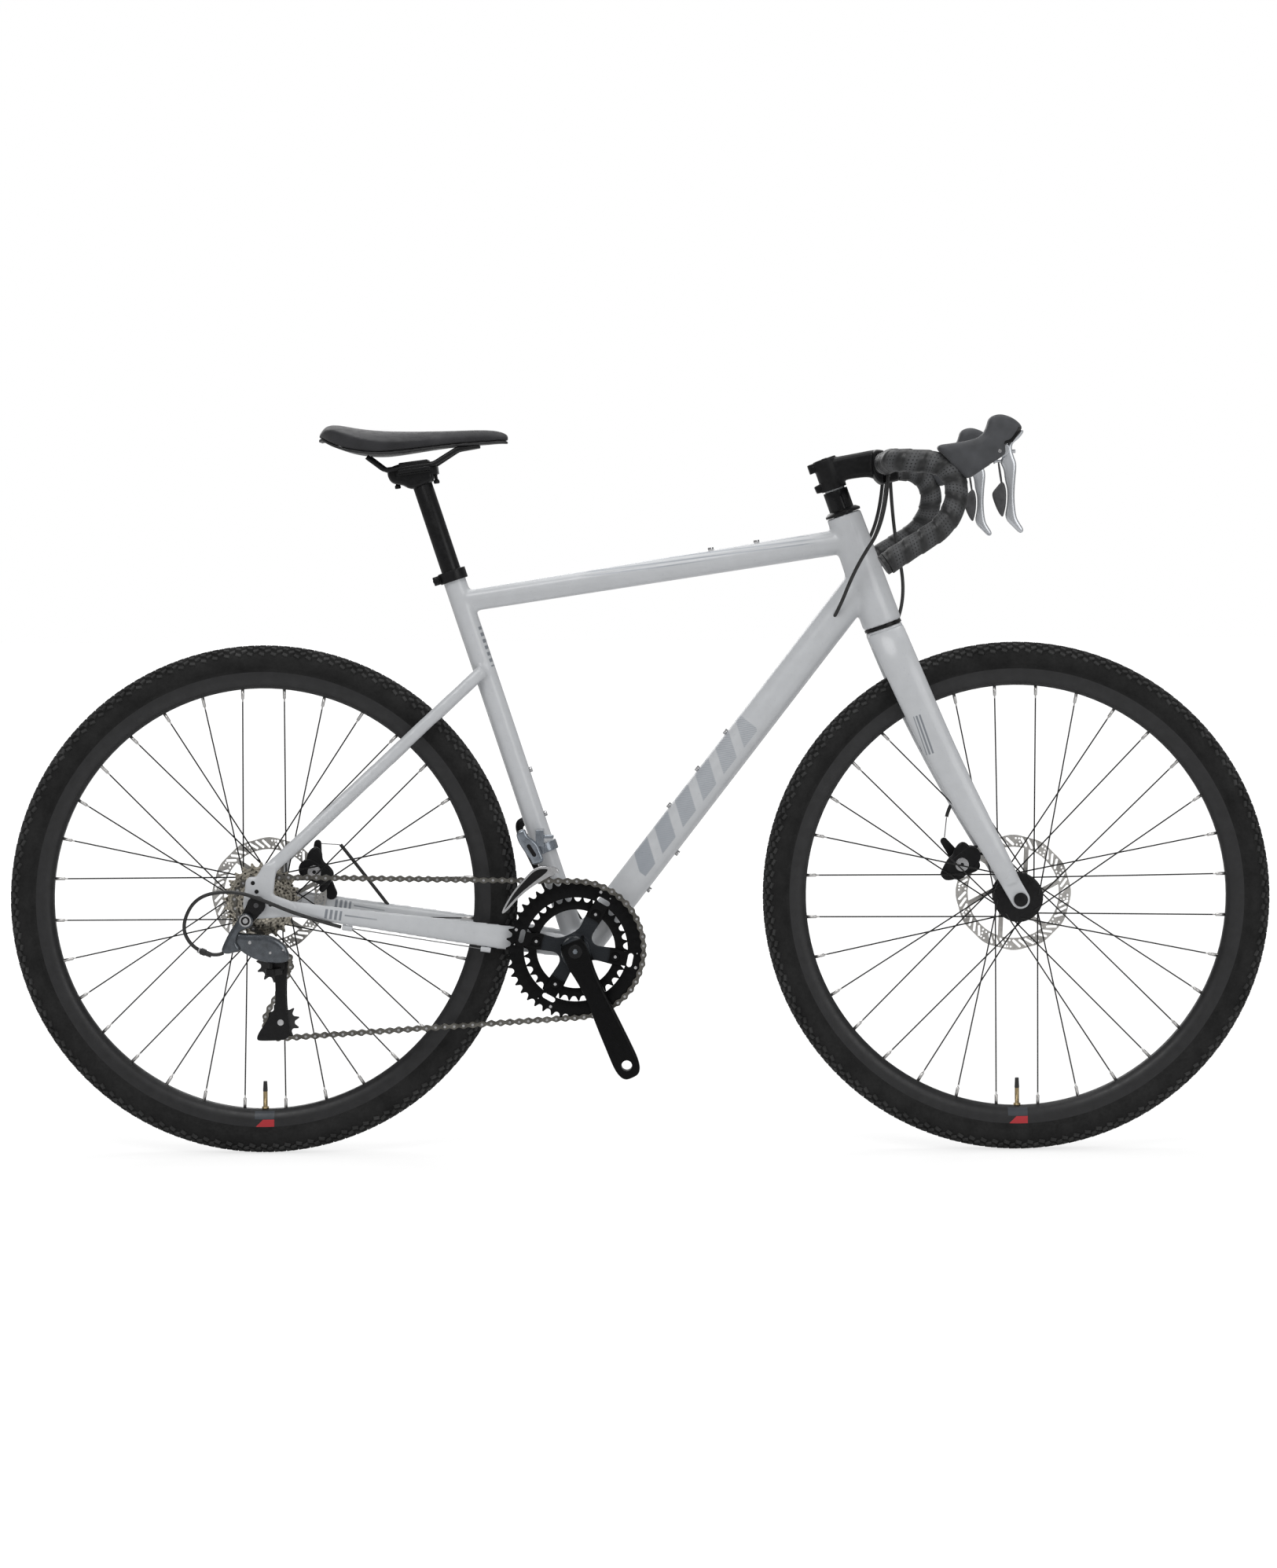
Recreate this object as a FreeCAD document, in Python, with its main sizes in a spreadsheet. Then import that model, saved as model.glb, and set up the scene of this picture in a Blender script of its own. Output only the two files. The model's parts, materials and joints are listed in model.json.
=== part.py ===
import FreeCAD, Part
import math
import os
import Sketcher

V = FreeCAD.Vector
Turn = FreeCAD.Rotation
Place = FreeCAD.Placement

doc = FreeCAD.newDocument("GravelBike")
sheet = doc.addObject("Spreadsheet::Sheet", "Sizes")

SIZES = [
    # whole bike, millimetres and degrees
    ("wheelbase", 1038.6), ("tyre_radius", 350), ("bb_drop", 66.5), ("bb_reach", 431.3),
    ("seat_angle", 71.74), ("head_angle", 70.8), ("fork_rake", 49.4), ("fork_length", 413.9),
    # frame tubes
    ("head_tube_length", 161), ("head_tube_radius", 22.5), ("head_tube_top_radius", 24.2),
    ("head_tube_base_radius", 27.4), ("head_tube_bore", 18), ("seat_tube_length", 543),
    ("seat_tube_radius", 15.7), ("seatpost_radius", 13.6), ("shell_radius", 21), ("shell_width", 68),
    ("shell_bore", 17.5), ("tube_wall", 2.2), ("down_tube_half_height", 23.3),
    ("down_tube_half_width", 20.5), ("down_tube_foot", 10), ("down_tube_top", 68),
    ("top_tube_rear", 504.8), ("top_tube_front", 123.9), ("top_tube_rear_half_height", 11),
    ("top_tube_front_half_height", 17.6), ("top_tube_rear_half_width", 14.6),
    ("top_tube_front_half_width", 19.5), ("gusset_width", 13), ("gusset_along", 68), ("gusset_down", 33),
    # rear triangle
    ("chainstay_rear_half_height", 11.2), ("chainstay_mid_half_height", 13.2),
    ("chainstay_front_half_height", 17), ("chainstay_half_width", 6.6), ("chainstay_rear_spread", 68.5),
    ("chainstay_mid_spread", 56), ("chainstay_yoke_spread", 32.3), ("chainstay_front_spread", 25),
    ("seatstay_half_height", 9.2), ("seatstay_half_width", 6.8), ("seatstay_top", 402),
    ("seatstay_low_spread", 69.5), ("seatstay_mid_spread", 54), ("seatstay_high_spread", 34),
    ("seatstay_top_spread", 19), ("rear_spacing", 142), ("dropout_thickness", 8), ("dropout_eye", 20),
    ("eyelet_radius", 2.5), ("eyelet_boss", 8), ("stay_boss_radius", 6.5), ("stay_boss_length", 7),
    ("stop_radius", 4), ("stop_length", 14), ("stay_wall", 2), ("down_boss_low", 225), ("boss_pitch", 64),
    ("under_boss_low", 115.5), ("seat_boss_low", 186.8), ("top_boss_back", 131.6), ("boss_radius", 4),
    ("boss_height", 3.4),
    # clearances
    ("running_gap", 0.05), ("seat_gap", 0.1), ("rest_gap", 0.3),
    # headset, fork and stem
    ("steerer_radius", 14.3), ("bearing_height", 12), ("crown_seal_height", 4), ("crown_radius", 26),
    ("crown_height", 22), ("blade_top_half_length", 26), ("blade_mid_half_length", 24),
    ("blade_low_half_length", 19.4), ("blade_end_half_length", 13.5), ("blade_top_half_width", 14.5),
    ("blade_mid_half_width", 11.5), ("blade_end_half_width", 8), ("blade_end_spread", 56),
    ("blade_wall", 3), ("front_spacing", 100), ("fork_end_radius", 13), ("fork_end_width", 11),
    ("axle_radius", 6),
    ("cap_ring_height", 5), ("cap_ring_radius", 22.5), ("spacer_count", 3), ("spacer_height", 10),
    ("spacer_radius", 17.2), ("stem_height", 40), ("stem_length", 75.8), ("stem_drop", 8),
    ("stem_collar_radius", 19), ("stem_neck_half_height", 16), ("stem_neck_half_width", 15),
    ("clamp_width", 44), ("clamp_half_height", 24.5), ("clamp_radius", 20.5), ("clamp_bar_radius", 15.9),
    ("faceplate_depth", 13), ("top_cap_height", 4), ("bolt_head_radius", 3.6), ("bolt_head_height", 3.5),
    # handlebar, measured from the middle of the stem's clamp
    ("bar_radius", 11.9), ("tape_thickness", 3.4), ("tape_start", 44), ("bar_half_width", 205),
    ("bar_corner", 190), ("bar_reach", 81), ("bar_ramp_drop", 6), ("bar_hook_drop", 78),
    ("bar_drop", 137), ("bar_end_back", 11), ("bar_flare", 14), ("bar_bend", 38), ("hook_bend", 66),
    ("plug_length", 6),
    # brake levers
    ("hood_half_width", 15.5), ("lever_slot", 14), ("lever_thickness", 12), ("paddle_thickness", 7),
    ("pivot_forward", 137.5), ("pivot_up", 9.5), ("paddle_hinge_drop", 13), ("paddle_knuckle", 4),
    ("paddle_pin", 2), ("swing_pin", 2.4),
    # saddle and post
    ("post_top", 672), ("post_foot", 420), ("clamp_rise", 23.84), ("clamp_setback", 10),
    ("rail_radius", 3.5), ("rail_spread", 22),
    ("saddle_half_width", 73), ("saddle_length", 259), ("saddle_back", 350.5), ("saddle_depth", 49.5),
    ("shell_thickness", 4), ("collar_height", 15), ("collar_wall", 3.6), ("post_plug", 27),
    # wheels
    ("tyre_width", 39.5), ("tyre_wall", 3.2), ("rim_outer", 315.6), ("rim_inner", 290.5),
    ("rim_half_width", 12.4), ("rim_wall", 2.2), ("rim_well", 308), ("spokes_per_side", 16),
    ("spoke_radius", 1.0), ("nipple_radius", 2.2), ("nipple_length", 15), ("spoke_circle", 28),
    ("flange_radius", 31), ("front_flange_radius", 34), ("flange_thickness", 4), ("hub_radius", 14),
    ("hub_cap_radius", 10), ("rotor_radius", 80), ("rotor_track", 64), ("rotor_thickness", 1.8),
    ("rotor_bore", 17), ("front_rotor_offset", 34.4), ("rear_rotor_offset", 54.2),
    ("valve_radius", 3), ("valve_length", 38),
    # drive
    ("chain_pitch", 12.7), ("roller_radius", 3.85), ("tooth_thickness", 1.9), ("chain_line", 47.6),
    ("ring_teeth", 46), ("small_ring_teeth", 34), ("ring_step", 7), ("ring_width", 22),
    ("bolt_circle", 55), ("cog_spacing", 4.8), ("freehub_radius", 17), ("pulley_teeth", 11),
    ("crank_length", 170), ("crank_angle", -65.9), ("crank_inner", 61), ("crank_thickness", 14),
    ("crank_boss_radius", 20), ("crank_end_radius", 14.5), ("spindle_radius", 12),
    ("pedal_bore", 7.144), ("spider_half_width", 8.5), ("spider_thickness", 5),
    # derailleurs and brakes
    ("cage_length", 79), ("guide_offset", 6), ("cage_plate", 1.6), ("cage_half_gap", 6.2),
    ("link_length", 46), ("fd_link_length", 27), ("caliper_slot", 6.4), ("housing_radius", 2.5),
    ("wire_radius", 0.8), ("arm_length", 38), ("arm_thickness", 5),
]

for row, (name, number) in enumerate(SIZES, start=1):
    sheet.set("A%d" % row, name.replace("_", " "))
    sheet.set("B%d" % row, repr(number))
    sheet.setAlias("B%d" % row, name)
doc.recompute()


class Dim(float):
    """A number that remembers the sheet expression it comes from."""

    def __new__(cls, number, text):
        made = float.__new__(cls, number)
        made.text = text
        return made

    def _join(self, other, sign, number):
        return Dim(number, "(%s %s %s)" % (self.text, sign, text_of(other)))

    def _lead(self, other, sign, number):
        return Dim(number, "(%s %s %s)" % (text_of(other), sign, self.text))

    def __add__(self, other):
        return self._join(other, "+", float(self) + float(other))

    def __radd__(self, other):
        return self._lead(other, "+", float(other) + float(self))

    def __sub__(self, other):
        return self._join(other, "-", float(self) - float(other))

    def __rsub__(self, other):
        return self._lead(other, "-", float(other) - float(self))

    def __mul__(self, other):
        return self._join(other, "*", float(self) * float(other))

    def __rmul__(self, other):
        return self._lead(other, "*", float(other) * float(self))

    def __truediv__(self, other):
        return self._join(other, "/", float(self) / float(other))


def text_of(number):
    return number.text if isinstance(number, Dim) else repr(float(number))


class Cells:
    """Reads each named cell of the sheet as a Dim."""

    def __getattr__(self, name):
        return Dim(float(getattr(sheet, name)), "Sizes." + name)


S = Cells()
NODES = []


def node(label, obj):
    obj.Label = label
    NODES.append((label, obj))
    return obj


def bind(obj, prop, number):
    if isinstance(number, Dim):
        obj.setExpression(prop, number.text)
    else:
        setattr(obj, prop, number)


# positions in the side plane
W = S.wheelbase / 2
REAR = V(-W, 0, S.tyre_radius)
FRONT = V(W, 0, S.tyre_radius)
BOTTOM = V(S.bb_reach - W, 0, S.tyre_radius - S.bb_drop)
LEAN = math.radians(90 - S.head_angle)
FORWARD = V(math.cos(LEAN), 0, math.sin(LEAN))
UP = V(-math.sin(LEAN), 0, math.cos(LEAN))
FOOT = FRONT - FORWARD * S.fork_rake
Y_AXIS = V(0, 1, 0)
ALONG_Y = Turn(V(1, 0, 0), -90)
STEER = Place(FOOT, Turn(Y_AXIS, -math.degrees(LEAN)))
SEAT = Place(BOTTOM, Turn(Y_AXIS, -(90 - S.seat_angle)))


def at(x, y, z):
    return Place(V(x, y, z), Turn())


def on(frame, x, y, z, turn=Turn()):
    return frame * Place(V(x, y, z), turn)


def side_turn(start, end):
    """Rotation about Y that lays local Z along a direction in the side plane."""
    return Turn(Y_AXIS, math.degrees(math.atan2(end.x - start.x, end.z - start.z)))


def cylinder(name, radius, length, place):
    made = doc.addObject("Part::Cylinder", name)
    bind(made, "Radius", radius)
    bind(made, "Height", length)
    made.Placement = place
    return made


def cross_cylinder(name, radius, low, high, x, z):
    return cylinder(name, radius, high - low, Place(V(x, low, z), ALONG_Y))


def box(name, long, wide, tall, place):
    made = doc.addObject("Part::Box", name)
    bind(made, "Length", long)
    bind(made, "Width", wide)
    bind(made, "Height", tall)
    made.Placement = place
    return made


def fuse(name, pieces):
    made = doc.addObject("Part::MultiFuse", name)
    made.Shapes = pieces
    return made


def cut(name, base, *tools):
    for number, tool in enumerate(tools):
        made = doc.addObject("Part::Cut", "%s_%d" % (name, number))
        made.Base = base
        made.Tool = tool
        base = made
    return base


def group(name, pieces):
    made = doc.addObject("Part::Compound", name)
    made.Links = pieces
    return made


def formed(name, shape, place=None):
    made = doc.addObject("Part::Feature", name)
    made.Shape = shape
    if place is not None:
        made.Placement = place
    return made


def mirrored(name, source):
    """The same piece on the other side of the bike."""
    made = doc.addObject("Part::Mirroring", name)
    made.Source = source
    made.Normal = Y_AXIS
    made.Base = V(0, 0, 0)
    return made


def pin_point(sketch, geo, pos, x, y, tag):
    """Ties one point of a sketch to sheet sizes."""
    for axis, number, line in (("X", x, -2), ("Y", y, -1)):
        if float(number) == 0:
            sketch.addConstraint(Sketcher.Constraint("PointOnObject", geo, pos, line))
            continue
        made = sketch.addConstraint(
            Sketcher.Constraint("Distance" + axis, -1, 1, geo, pos, float(number)))
        if isinstance(number, Dim):
            sketch.renameConstraint(made, "%s_%s" % (tag, axis.lower()))
            sketch.setExpression("Constraints.%s_%s" % (tag, axis.lower()), number.text)


def new_body(name, role):
    body = doc.addObject("PartDesign::Body", name)
    sketch = body.newObject("Sketcher::SketchObject", name + "_profile")
    plane = [f for f in body.Origin.OriginFeatures if f.Role == role][0]
    sketch.AttachmentSupport = [(plane, "")]
    sketch.MapMode = "FlatFace"
    return body, sketch


def closed_loop(sketch, points, tag):
    first = sketch.GeometryCount
    count = len(points)
    lines = []
    for i in range(count):
        a = points[i]
        b = points[(i + 1) % count]
        lines.append(Part.LineSegment(V(a[0], a[1], 0), V(b[0], b[1], 0)))
    sketch.addGeometry(lines, False)
    joins = []
    for i in range(count):
        joins.append(Sketcher.Constraint("Coincident", first + i, 2, first + (i + 1) % count, 1))
    sketch.addConstraint(joins)
    for i in range(count):
        pin_point(sketch, first + i, 1, points[i][0], points[i][1], "%s%d" % (tag, i))


def revolved(name, loops, place):
    """A turned piece: each loop is a list of (radius, height) about local Z."""
    body, sketch = new_body(name, "XZ_Plane")
    for number, loop in enumerate(loops):
        closed_loop(sketch, loop, "p%d_" % number)
    turn = body.newObject("PartDesign::Revolution", name + "_turn")
    turn.Profile = sketch
    turn.ReferenceAxis = (sketch, ["V_Axis"])
    turn.Angle = 360
    body.Placement = place
    return body


def padded(name, points, thickness, place):
    """A flat piece: a closed outline in local XY raised along local Z."""
    body, sketch = new_body(name, "XY_Plane")
    closed_loop(sketch, points, "p")
    pad = body.newObject("PartDesign::Pad", name + "_pad")
    pad.Profile = sketch
    bind(pad, "Length", thickness)
    body.Placement = place
    return body


def slab(name, start, start_radius, end, end_radius, normal, thickness):
    """A flat link with a round end about each of two centres, raised along its normal."""
    body, sketch = new_body(name, "XY_Plane")
    run = end - start
    length = run.Length
    lean = math.acos((float(start_radius) - float(end_radius)) / length)
    points = []
    for centre, radius in ((0, float(start_radius)), (length, float(end_radius))):
        points.append((centre + radius * math.cos(lean), radius * math.sin(lean)))
    arc_start = Part.ArcOfCircle(Part.Circle(V(0, 0, 0), V(0, 0, 1), float(start_radius)),
                                 lean, 2 * math.pi - lean)
    arc_end = Part.ArcOfCircle(Part.Circle(V(length, 0, 0), V(0, 0, 1), float(end_radius)),
                               -lean, lean)
    upper = Part.LineSegment(V(points[1][0], points[1][1], 0), V(points[0][0], points[0][1], 0))
    lower = Part.LineSegment(V(points[0][0], -points[0][1], 0), V(points[1][0], -points[1][1], 0))
    sketch.addGeometry([arc_start, lower, arc_end, upper], False)
    sketch.addConstraint([
        Sketcher.Constraint("Coincident", 0, 3, -1, 1),
        Sketcher.Constraint("PointOnObject", 2, 3, -1),
        Sketcher.Constraint("Tangent", 0, 2, 1, 1),
        Sketcher.Constraint("Tangent", 1, 2, 2, 1),
        Sketcher.Constraint("Tangent", 2, 2, 3, 1),
        Sketcher.Constraint("Tangent", 3, 2, 0, 1),
        Sketcher.Constraint("DistanceX", -1, 1, 2, 3, length)])
    for geo, radius, tag in ((0, start_radius, "start_r"), (2, end_radius, "end_r")):
        made = sketch.addConstraint(Sketcher.Constraint("Radius", geo, float(radius)))
        if isinstance(radius, Dim):
            sketch.renameConstraint(made, tag)
            sketch.setExpression("Constraints." + tag, radius.text)
    pad = body.newObject("PartDesign::Pad", name + "_pad")
    pad.Profile = sketch
    bind(pad, "Length", thickness)
    run.normalize()
    body.Placement = Place(start, Turn(run, V(0, 0, 0), normal, "ZXY"))
    return body


def plate(name, start, start_radius, end, end_radius, low, thickness):
    """A flat link that stands in the side plane."""
    return slab(name, V(start.x, low, start.z), start_radius, V(end.x, low, end.z), end_radius, Y_AXIS,
                thickness)


def ellipse(name, half_x, half_y, place):
    made = doc.addObject("Part::Ellipse", name)
    bind(made, "MajorRadius", half_x)
    bind(made, "MinorRadius", half_y)
    made.Placement = place
    return made


def loft(name, sections, turn=None, frame=None):
    """A tube through ellipses; each section is (x, y, z, half length, half width)."""
    rings = []
    for number, (x, y, z, half_x, half_y) in enumerate(sections):
        place = Place(V(x, y, z), turn if turn is not None else Turn())
        if float(half_x) < float(half_y):
            place = place * Place(V(0, 0, 0), Turn(V(0, 0, 1), 90))
            half_x, half_y = half_y, half_x
        if frame is not None:
            place = frame * place
        rings.append(ellipse("%s_ring%d" % (name, number), half_x, half_y, place))
    made = doc.addObject("Part::Loft", name)
    made.Sections = rings
    made.Solid = True
    made.Ruled = False
    return made


def rounded_path(points, bends):
    """Straight runs joined by tangent arcs of the given bend radii."""
    edges = []
    last = points[0]
    for i in range(1, len(points) - 1):
        corner = points[i]
        back = (points[i - 1] - corner).normalize()
        ahead = (points[i + 1] - corner).normalize()
        half = back.getAngle(ahead) / 2
        reach = bends[i - 1] / math.tan(half)
        start = corner + back * reach
        end = corner + ahead * reach
        middle = (back + ahead).normalize()
        heart = corner + middle * (bends[i - 1] / math.sin(half))
        edges.append(Part.LineSegment(last, start).toShape())
        edges.append(Part.Arc(start, heart - middle * bends[i - 1], end).toShape())
        last = end
    edges.append(Part.LineSegment(last, points[-1]).toShape())
    return Part.Wire(edges)


def rod(name, points, bends, radius):
    """A round rod or cable along a bent path."""
    path = formed(name + "_path", rounded_path(points, bends))
    ring = doc.addObject("Part::Circle", name + "_ring")
    bind(ring, "Radius", radius)
    ahead = points[1] - points[0]
    ring.Placement = Place(points[0], Turn(V(0, 0, 1), ahead))
    made = doc.addObject("Part::Sweep", name)
    made.Sections = [ring]
    made.Spine = (path, ["Edge%d" % (i + 1) for i in range(len(path.Shape.Edges))])
    made.Solid = True
    made.Frenet = False
    return made


# frame tubes
HEAD_BASE = S.fork_length
HEAD_TOP = S.fork_length + S.head_tube_length
L = S.head_tube_length
head_tube = revolved("head_tube", [[
    (S.head_tube_bore, 0), (S.head_tube_base_radius, 0), (S.head_tube_base_radius, 12),
    (S.head_tube_radius, 38), (S.head_tube_radius, L - 26), (S.head_tube_top_radius, L - 9),
    (S.head_tube_top_radius, L), (S.head_tube_bore, L)]], on(STEER, 0, 0, HEAD_BASE))
head_core = cylinder("head_core", S.head_tube_bore + 2, L, on(STEER, 0, 0, HEAD_BASE))
seat_outer = cylinder("seat_tube_outer", S.seat_tube_radius, S.seat_tube_length, SEAT)
seat_bore = cylinder("seat_tube_bore", S.seatpost_radius + S.running_gap, S.seat_tube_length, SEAT)
shell_outer = cross_cylinder("shell_outer", S.shell_radius, S.shell_width * -0.5, S.shell_width * 0.5,
                             BOTTOM.x, BOTTOM.z)
shell_inner = cross_cylinder("shell_inner", S.shell_bore, S.shell_width * -0.5, S.shell_width * 0.5,
                             BOTTOM.x, BOTTOM.z)
shell = cut("bottom_bracket_shell", shell_outer, shell_inner)
seat_tube = cut("seat_tube", seat_outer, seat_bore, shell_outer)


def thinned(sections, wall):
    """The same sections, smaller by a wall all round."""
    return [(x, y, z, half_x - wall, half_y - wall) for x, y, z, half_x, half_y in sections]


def hollow(name, sections, turn):
    outer = loft(name + "_outer", sections, turn)
    return cut(name + "_hollow", outer, loft(name + "_inside", thinned(sections, S.tube_wall), turn)), outer


down_foot = BOTTOM + V(S.down_tube_foot, 0, 0)
down_head = STEER.multVec(V(0, 0, HEAD_BASE + S.down_tube_top))
down_turn = side_turn(down_foot, down_head)
down_raw, down_outer = hollow("down_tube", [
    (down_foot.x, 0, down_foot.z, S.down_tube_half_height, S.down_tube_half_width),
    (down_head.x, 0, down_head.z, S.down_tube_half_height, S.down_tube_half_width)], down_turn)
down_tube = cut("down_tube", down_raw, head_core, head_tube, seat_outer, shell_outer)

top_back = SEAT.multVec(V(0, 0, S.top_tube_rear))
top_head = STEER.multVec(V(0, 0, HEAD_BASE + S.top_tube_front))
top_mid = (top_back + top_head) * 0.5
top_turn = side_turn(top_back, top_head)
top_raw, top_outer = hollow("top_tube", [
    (top_back.x, 0, top_back.z, S.top_tube_rear_half_height, S.top_tube_rear_half_width),
    (top_mid.x, 0, top_mid.z, S.top_tube_rear_half_height * 0.5 + S.top_tube_front_half_height * 0.5,
     S.top_tube_rear_half_width * 0.5 + S.top_tube_front_half_width * 0.5),
    (top_head.x, 0, top_head.z, S.top_tube_front_half_height, S.top_tube_front_half_width)], top_turn)
top_tube = cut("top_tube", top_raw, head_core, head_tube, seat_outer)

gusset_raw = padded("gusset_web", [(0, 0), (S.gusset_along, S.gusset_along * 0.19), (S.gusset_along * 0.33,
                    S.gusset_down * -0.33), (S.gusset_along * 0.16, S.gusset_down * -1)], S.gusset_width,
                    Place(top_back + V(0, S.gusset_width * 0.5, -2), Turn(V(1, 0, 0), 90)))
gusset = cut("gusset", gusset_raw, seat_outer, top_outer)
node("main_frame", group("main_frame", [head_tube, seat_tube, shell, down_tube, top_tube, gusset]))

# rear triangle, drive side first
DROP_IN = S.rear_spacing / 2
stay_turn = side_turn(REAR, BOTTOM)


def along_stay(share):
    return REAR + (BOTTOM - REAR) * share


stay_low = REAR + V(15.5, 0, 46)
stay_high = SEAT.multVec(V(0, 0, S.seatstay_top))
upper_turn = side_turn(stay_low, stay_high)
chain_end = along_stay(0.1)
eye_point = REAR + V(-8.2, 0, 30)
drop_low = S.dropout_thickness * -1 - DROP_IN
drop_body = fuse("dropout_blank", [
    plate("dropout_up", REAR, S.dropout_eye, stay_low, 10.5, drop_low, S.dropout_thickness),
    plate("dropout_fore", REAR, S.dropout_eye, chain_end, 11.2, drop_low, S.dropout_thickness),
    plate("dropout_eye", REAR, S.dropout_eye, eye_point, S.eyelet_boss, drop_low, S.dropout_thickness)])
dropout = cut("dropout", drop_body,
              cross_cylinder("dropout_bore", S.axle_radius + S.running_gap, -90, -60, REAR.x, REAR.z),
              cross_cylinder("dropout_thread", S.eyelet_radius, -90, -60, eye_point.x, eye_point.z))


def chainstay_section(share, spread, half_height, half_width):
    point = along_stay(share)
    return (point.x, spread * -1, point.z, half_height, half_width)


chain_raw = loft("chainstay_raw", [
    chainstay_section(0.1, S.chainstay_rear_spread, S.chainstay_rear_half_height, S.chainstay_half_width),
    chainstay_section(0.4, S.chainstay_mid_spread, S.chainstay_mid_half_height, S.chainstay_half_width),
    chainstay_section(0.775, S.chainstay_yoke_spread, S.chainstay_front_half_height,
                      S.chainstay_half_width),
    chainstay_section(0.955, S.chainstay_front_spread, S.chainstay_front_half_height - 1,
                      S.chainstay_half_width)], stay_turn)
chain_core = loft("chainstay_core", thinned([
    chainstay_section(0.17, S.chainstay_rear_spread - 2.4, S.chainstay_rear_half_height,
                      S.chainstay_half_width),
    chainstay_section(0.4, S.chainstay_mid_spread, S.chainstay_mid_half_height, S.chainstay_half_width),
    chainstay_section(0.7, S.chainstay_yoke_spread + 4.2, S.chainstay_front_half_height - 0.6,
                      S.chainstay_half_width)], S.stay_wall), stay_turn)
chainstay = cut("chainstay", chain_raw, chain_core, drop_body, shell_outer)


def seatstay_section(share, spread):
    point = stay_low + (stay_high - stay_low) * share
    return (point.x, spread * -1, point.z, S.seatstay_half_height, S.seatstay_half_width)


seat_stay_raw = loft("seatstay_raw", [
    seatstay_section(0, S.seatstay_low_spread), seatstay_section(0.12, S.seatstay_low_spread - 2),
    seatstay_section(0.32, S.seatstay_mid_spread), seatstay_section(0.68, S.seatstay_high_spread),
    seatstay_section(1, S.seatstay_top_spread)], upper_turn)
seat_stay_core = loft("seatstay_core", thinned([
    seatstay_section(0.12, S.seatstay_low_spread - 2), seatstay_section(0.32, S.seatstay_mid_spread),
    seatstay_section(0.68, S.seatstay_high_spread), seatstay_section(0.86, S.seatstay_top_spread + 7.4)],
    S.stay_wall), upper_turn)
boss_at = stay_low + (stay_high - stay_low) * 0.93
boss_y = 0.0 - S.seatstay_top_spread - S.seatstay_half_width - 2
boss = cross_cylinder("stay_boss", S.stay_boss_radius, boss_y - S.stay_boss_length + 4, boss_y + 8,
                      boss_at.x, boss_at.z)
boss_hole = cross_cylinder("stay_boss_hole", S.eyelet_radius, boss_y - 10, boss_y + 2, boss_at.x, boss_at.z)
seatstay = cut("seatstay", fuse("seatstay_bossed", [seat_stay_raw, boss]), seat_stay_core, boss_hole,
               drop_body, seat_outer)


def cable_stop(name, share, spread, half_height):
    point = along_stay(share)
    drop = half_height + S.stop_radius - 1
    place = Place(V(point.x, 0, point.z), stay_turn)
    place = place * Place(V(drop, spread * -1, S.stop_length * -0.5), Turn())
    body = cylinder(name, S.stop_radius, S.stop_length, place)
    hole = cylinder(name + "_bore", S.wire_radius + S.rest_gap, S.stop_length, place)
    return cut(name + "_end", body, hole, chain_raw), place.multVec(V(0, 0, S.stop_length * 0.5))


stop_rear, stop_rear_at = cable_stop("stop_rear", 0.285, 60.5, S.chainstay_mid_half_height - 0.6)
stop_front, stop_front_at = cable_stop("stop_front", 0.72, 35.6, S.chainstay_front_half_height - 0.4)
chainstay_left = mirrored("chainstay_left", chainstay)
dropout_left = mirrored("dropout_left", dropout)
node("rear_triangle", group("rear_triangle", [
    chainstay, chainstay_left, seatstay, mirrored("seatstay_left", seatstay), dropout, dropout_left,
    stop_rear, stop_front]))

# bearings in the frame
lower_seal = S.crown_seal_height
bearing_low = revolved("headset_lower", [[
    (S.steerer_radius + S.running_gap, 0), (S.head_tube_base_radius - 1, 0),
    (S.head_tube_base_radius - 1, lower_seal), (S.head_tube_bore - S.seat_gap, lower_seal),
    (S.head_tube_bore - S.seat_gap, lower_seal + S.bearing_height),
    (S.steerer_radius + S.running_gap, lower_seal + S.bearing_height)]],
    on(STEER, 0, 0, HEAD_BASE - S.crown_seal_height - S.seat_gap))
bearing_high = revolved("headset_upper", [[
    (S.steerer_radius + S.running_gap, 0), (S.head_tube_bore - S.seat_gap, 0),
    (S.head_tube_bore - S.seat_gap, S.bearing_height),
    (S.steerer_radius + S.running_gap, S.bearing_height)]],
    on(STEER, 0, 0, HEAD_TOP - S.bearing_height))
cup = revolved("bracket_cup", [[
    (S.spindle_radius + S.running_gap, 0), (S.shell_radius, 0), (S.shell_radius, 7),
    (S.shell_bore - S.seat_gap, 7), (S.shell_bore - S.seat_gap, 19), (S.spindle_radius + S.running_gap, 19)]],
    Place(V(BOTTOM.x, S.shell_width * -0.5 - 7, BOTTOM.z), ALONG_Y))
node("frame_bearings", group("frame_bearings", [bearing_low, bearing_high, cup,
                                                mirrored("bracket_cup_left", cup)]))

# seat collar with its bolt
collar_base = S.seat_tube_length - S.collar_height + 3
collar_ring = cylinder("collar_ring", S.seat_tube_radius + S.seat_gap + S.collar_wall, S.collar_height,
                       on(SEAT, 0, 0, collar_base))
ear = box("collar_ear", 13, 17, S.collar_height - 3,
          on(SEAT, S.seat_tube_radius * -1 - 12, -8.5, collar_base + 1.5))
collar_bore = cylinder("collar_bore", S.seat_tube_radius + S.seat_gap, S.collar_height,
                       on(SEAT, 0, 0, collar_base))
collar_slit = box("collar_slit", 20, 1.6, S.collar_height,
                  on(SEAT, S.seat_tube_radius * -1 - 18, -0.8, collar_base))
collar_bolt_place = on(SEAT, S.seat_tube_radius * -1 - 8, -12, collar_base + S.collar_height / 2, ALONG_Y)
collar_hole = cylinder("collar_hole", 2.6, 30, collar_bolt_place)
collar = cut("collar", fuse("collar_blank", [collar_ring, ear]), collar_bore, collar_slit, collar_hole)
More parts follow.
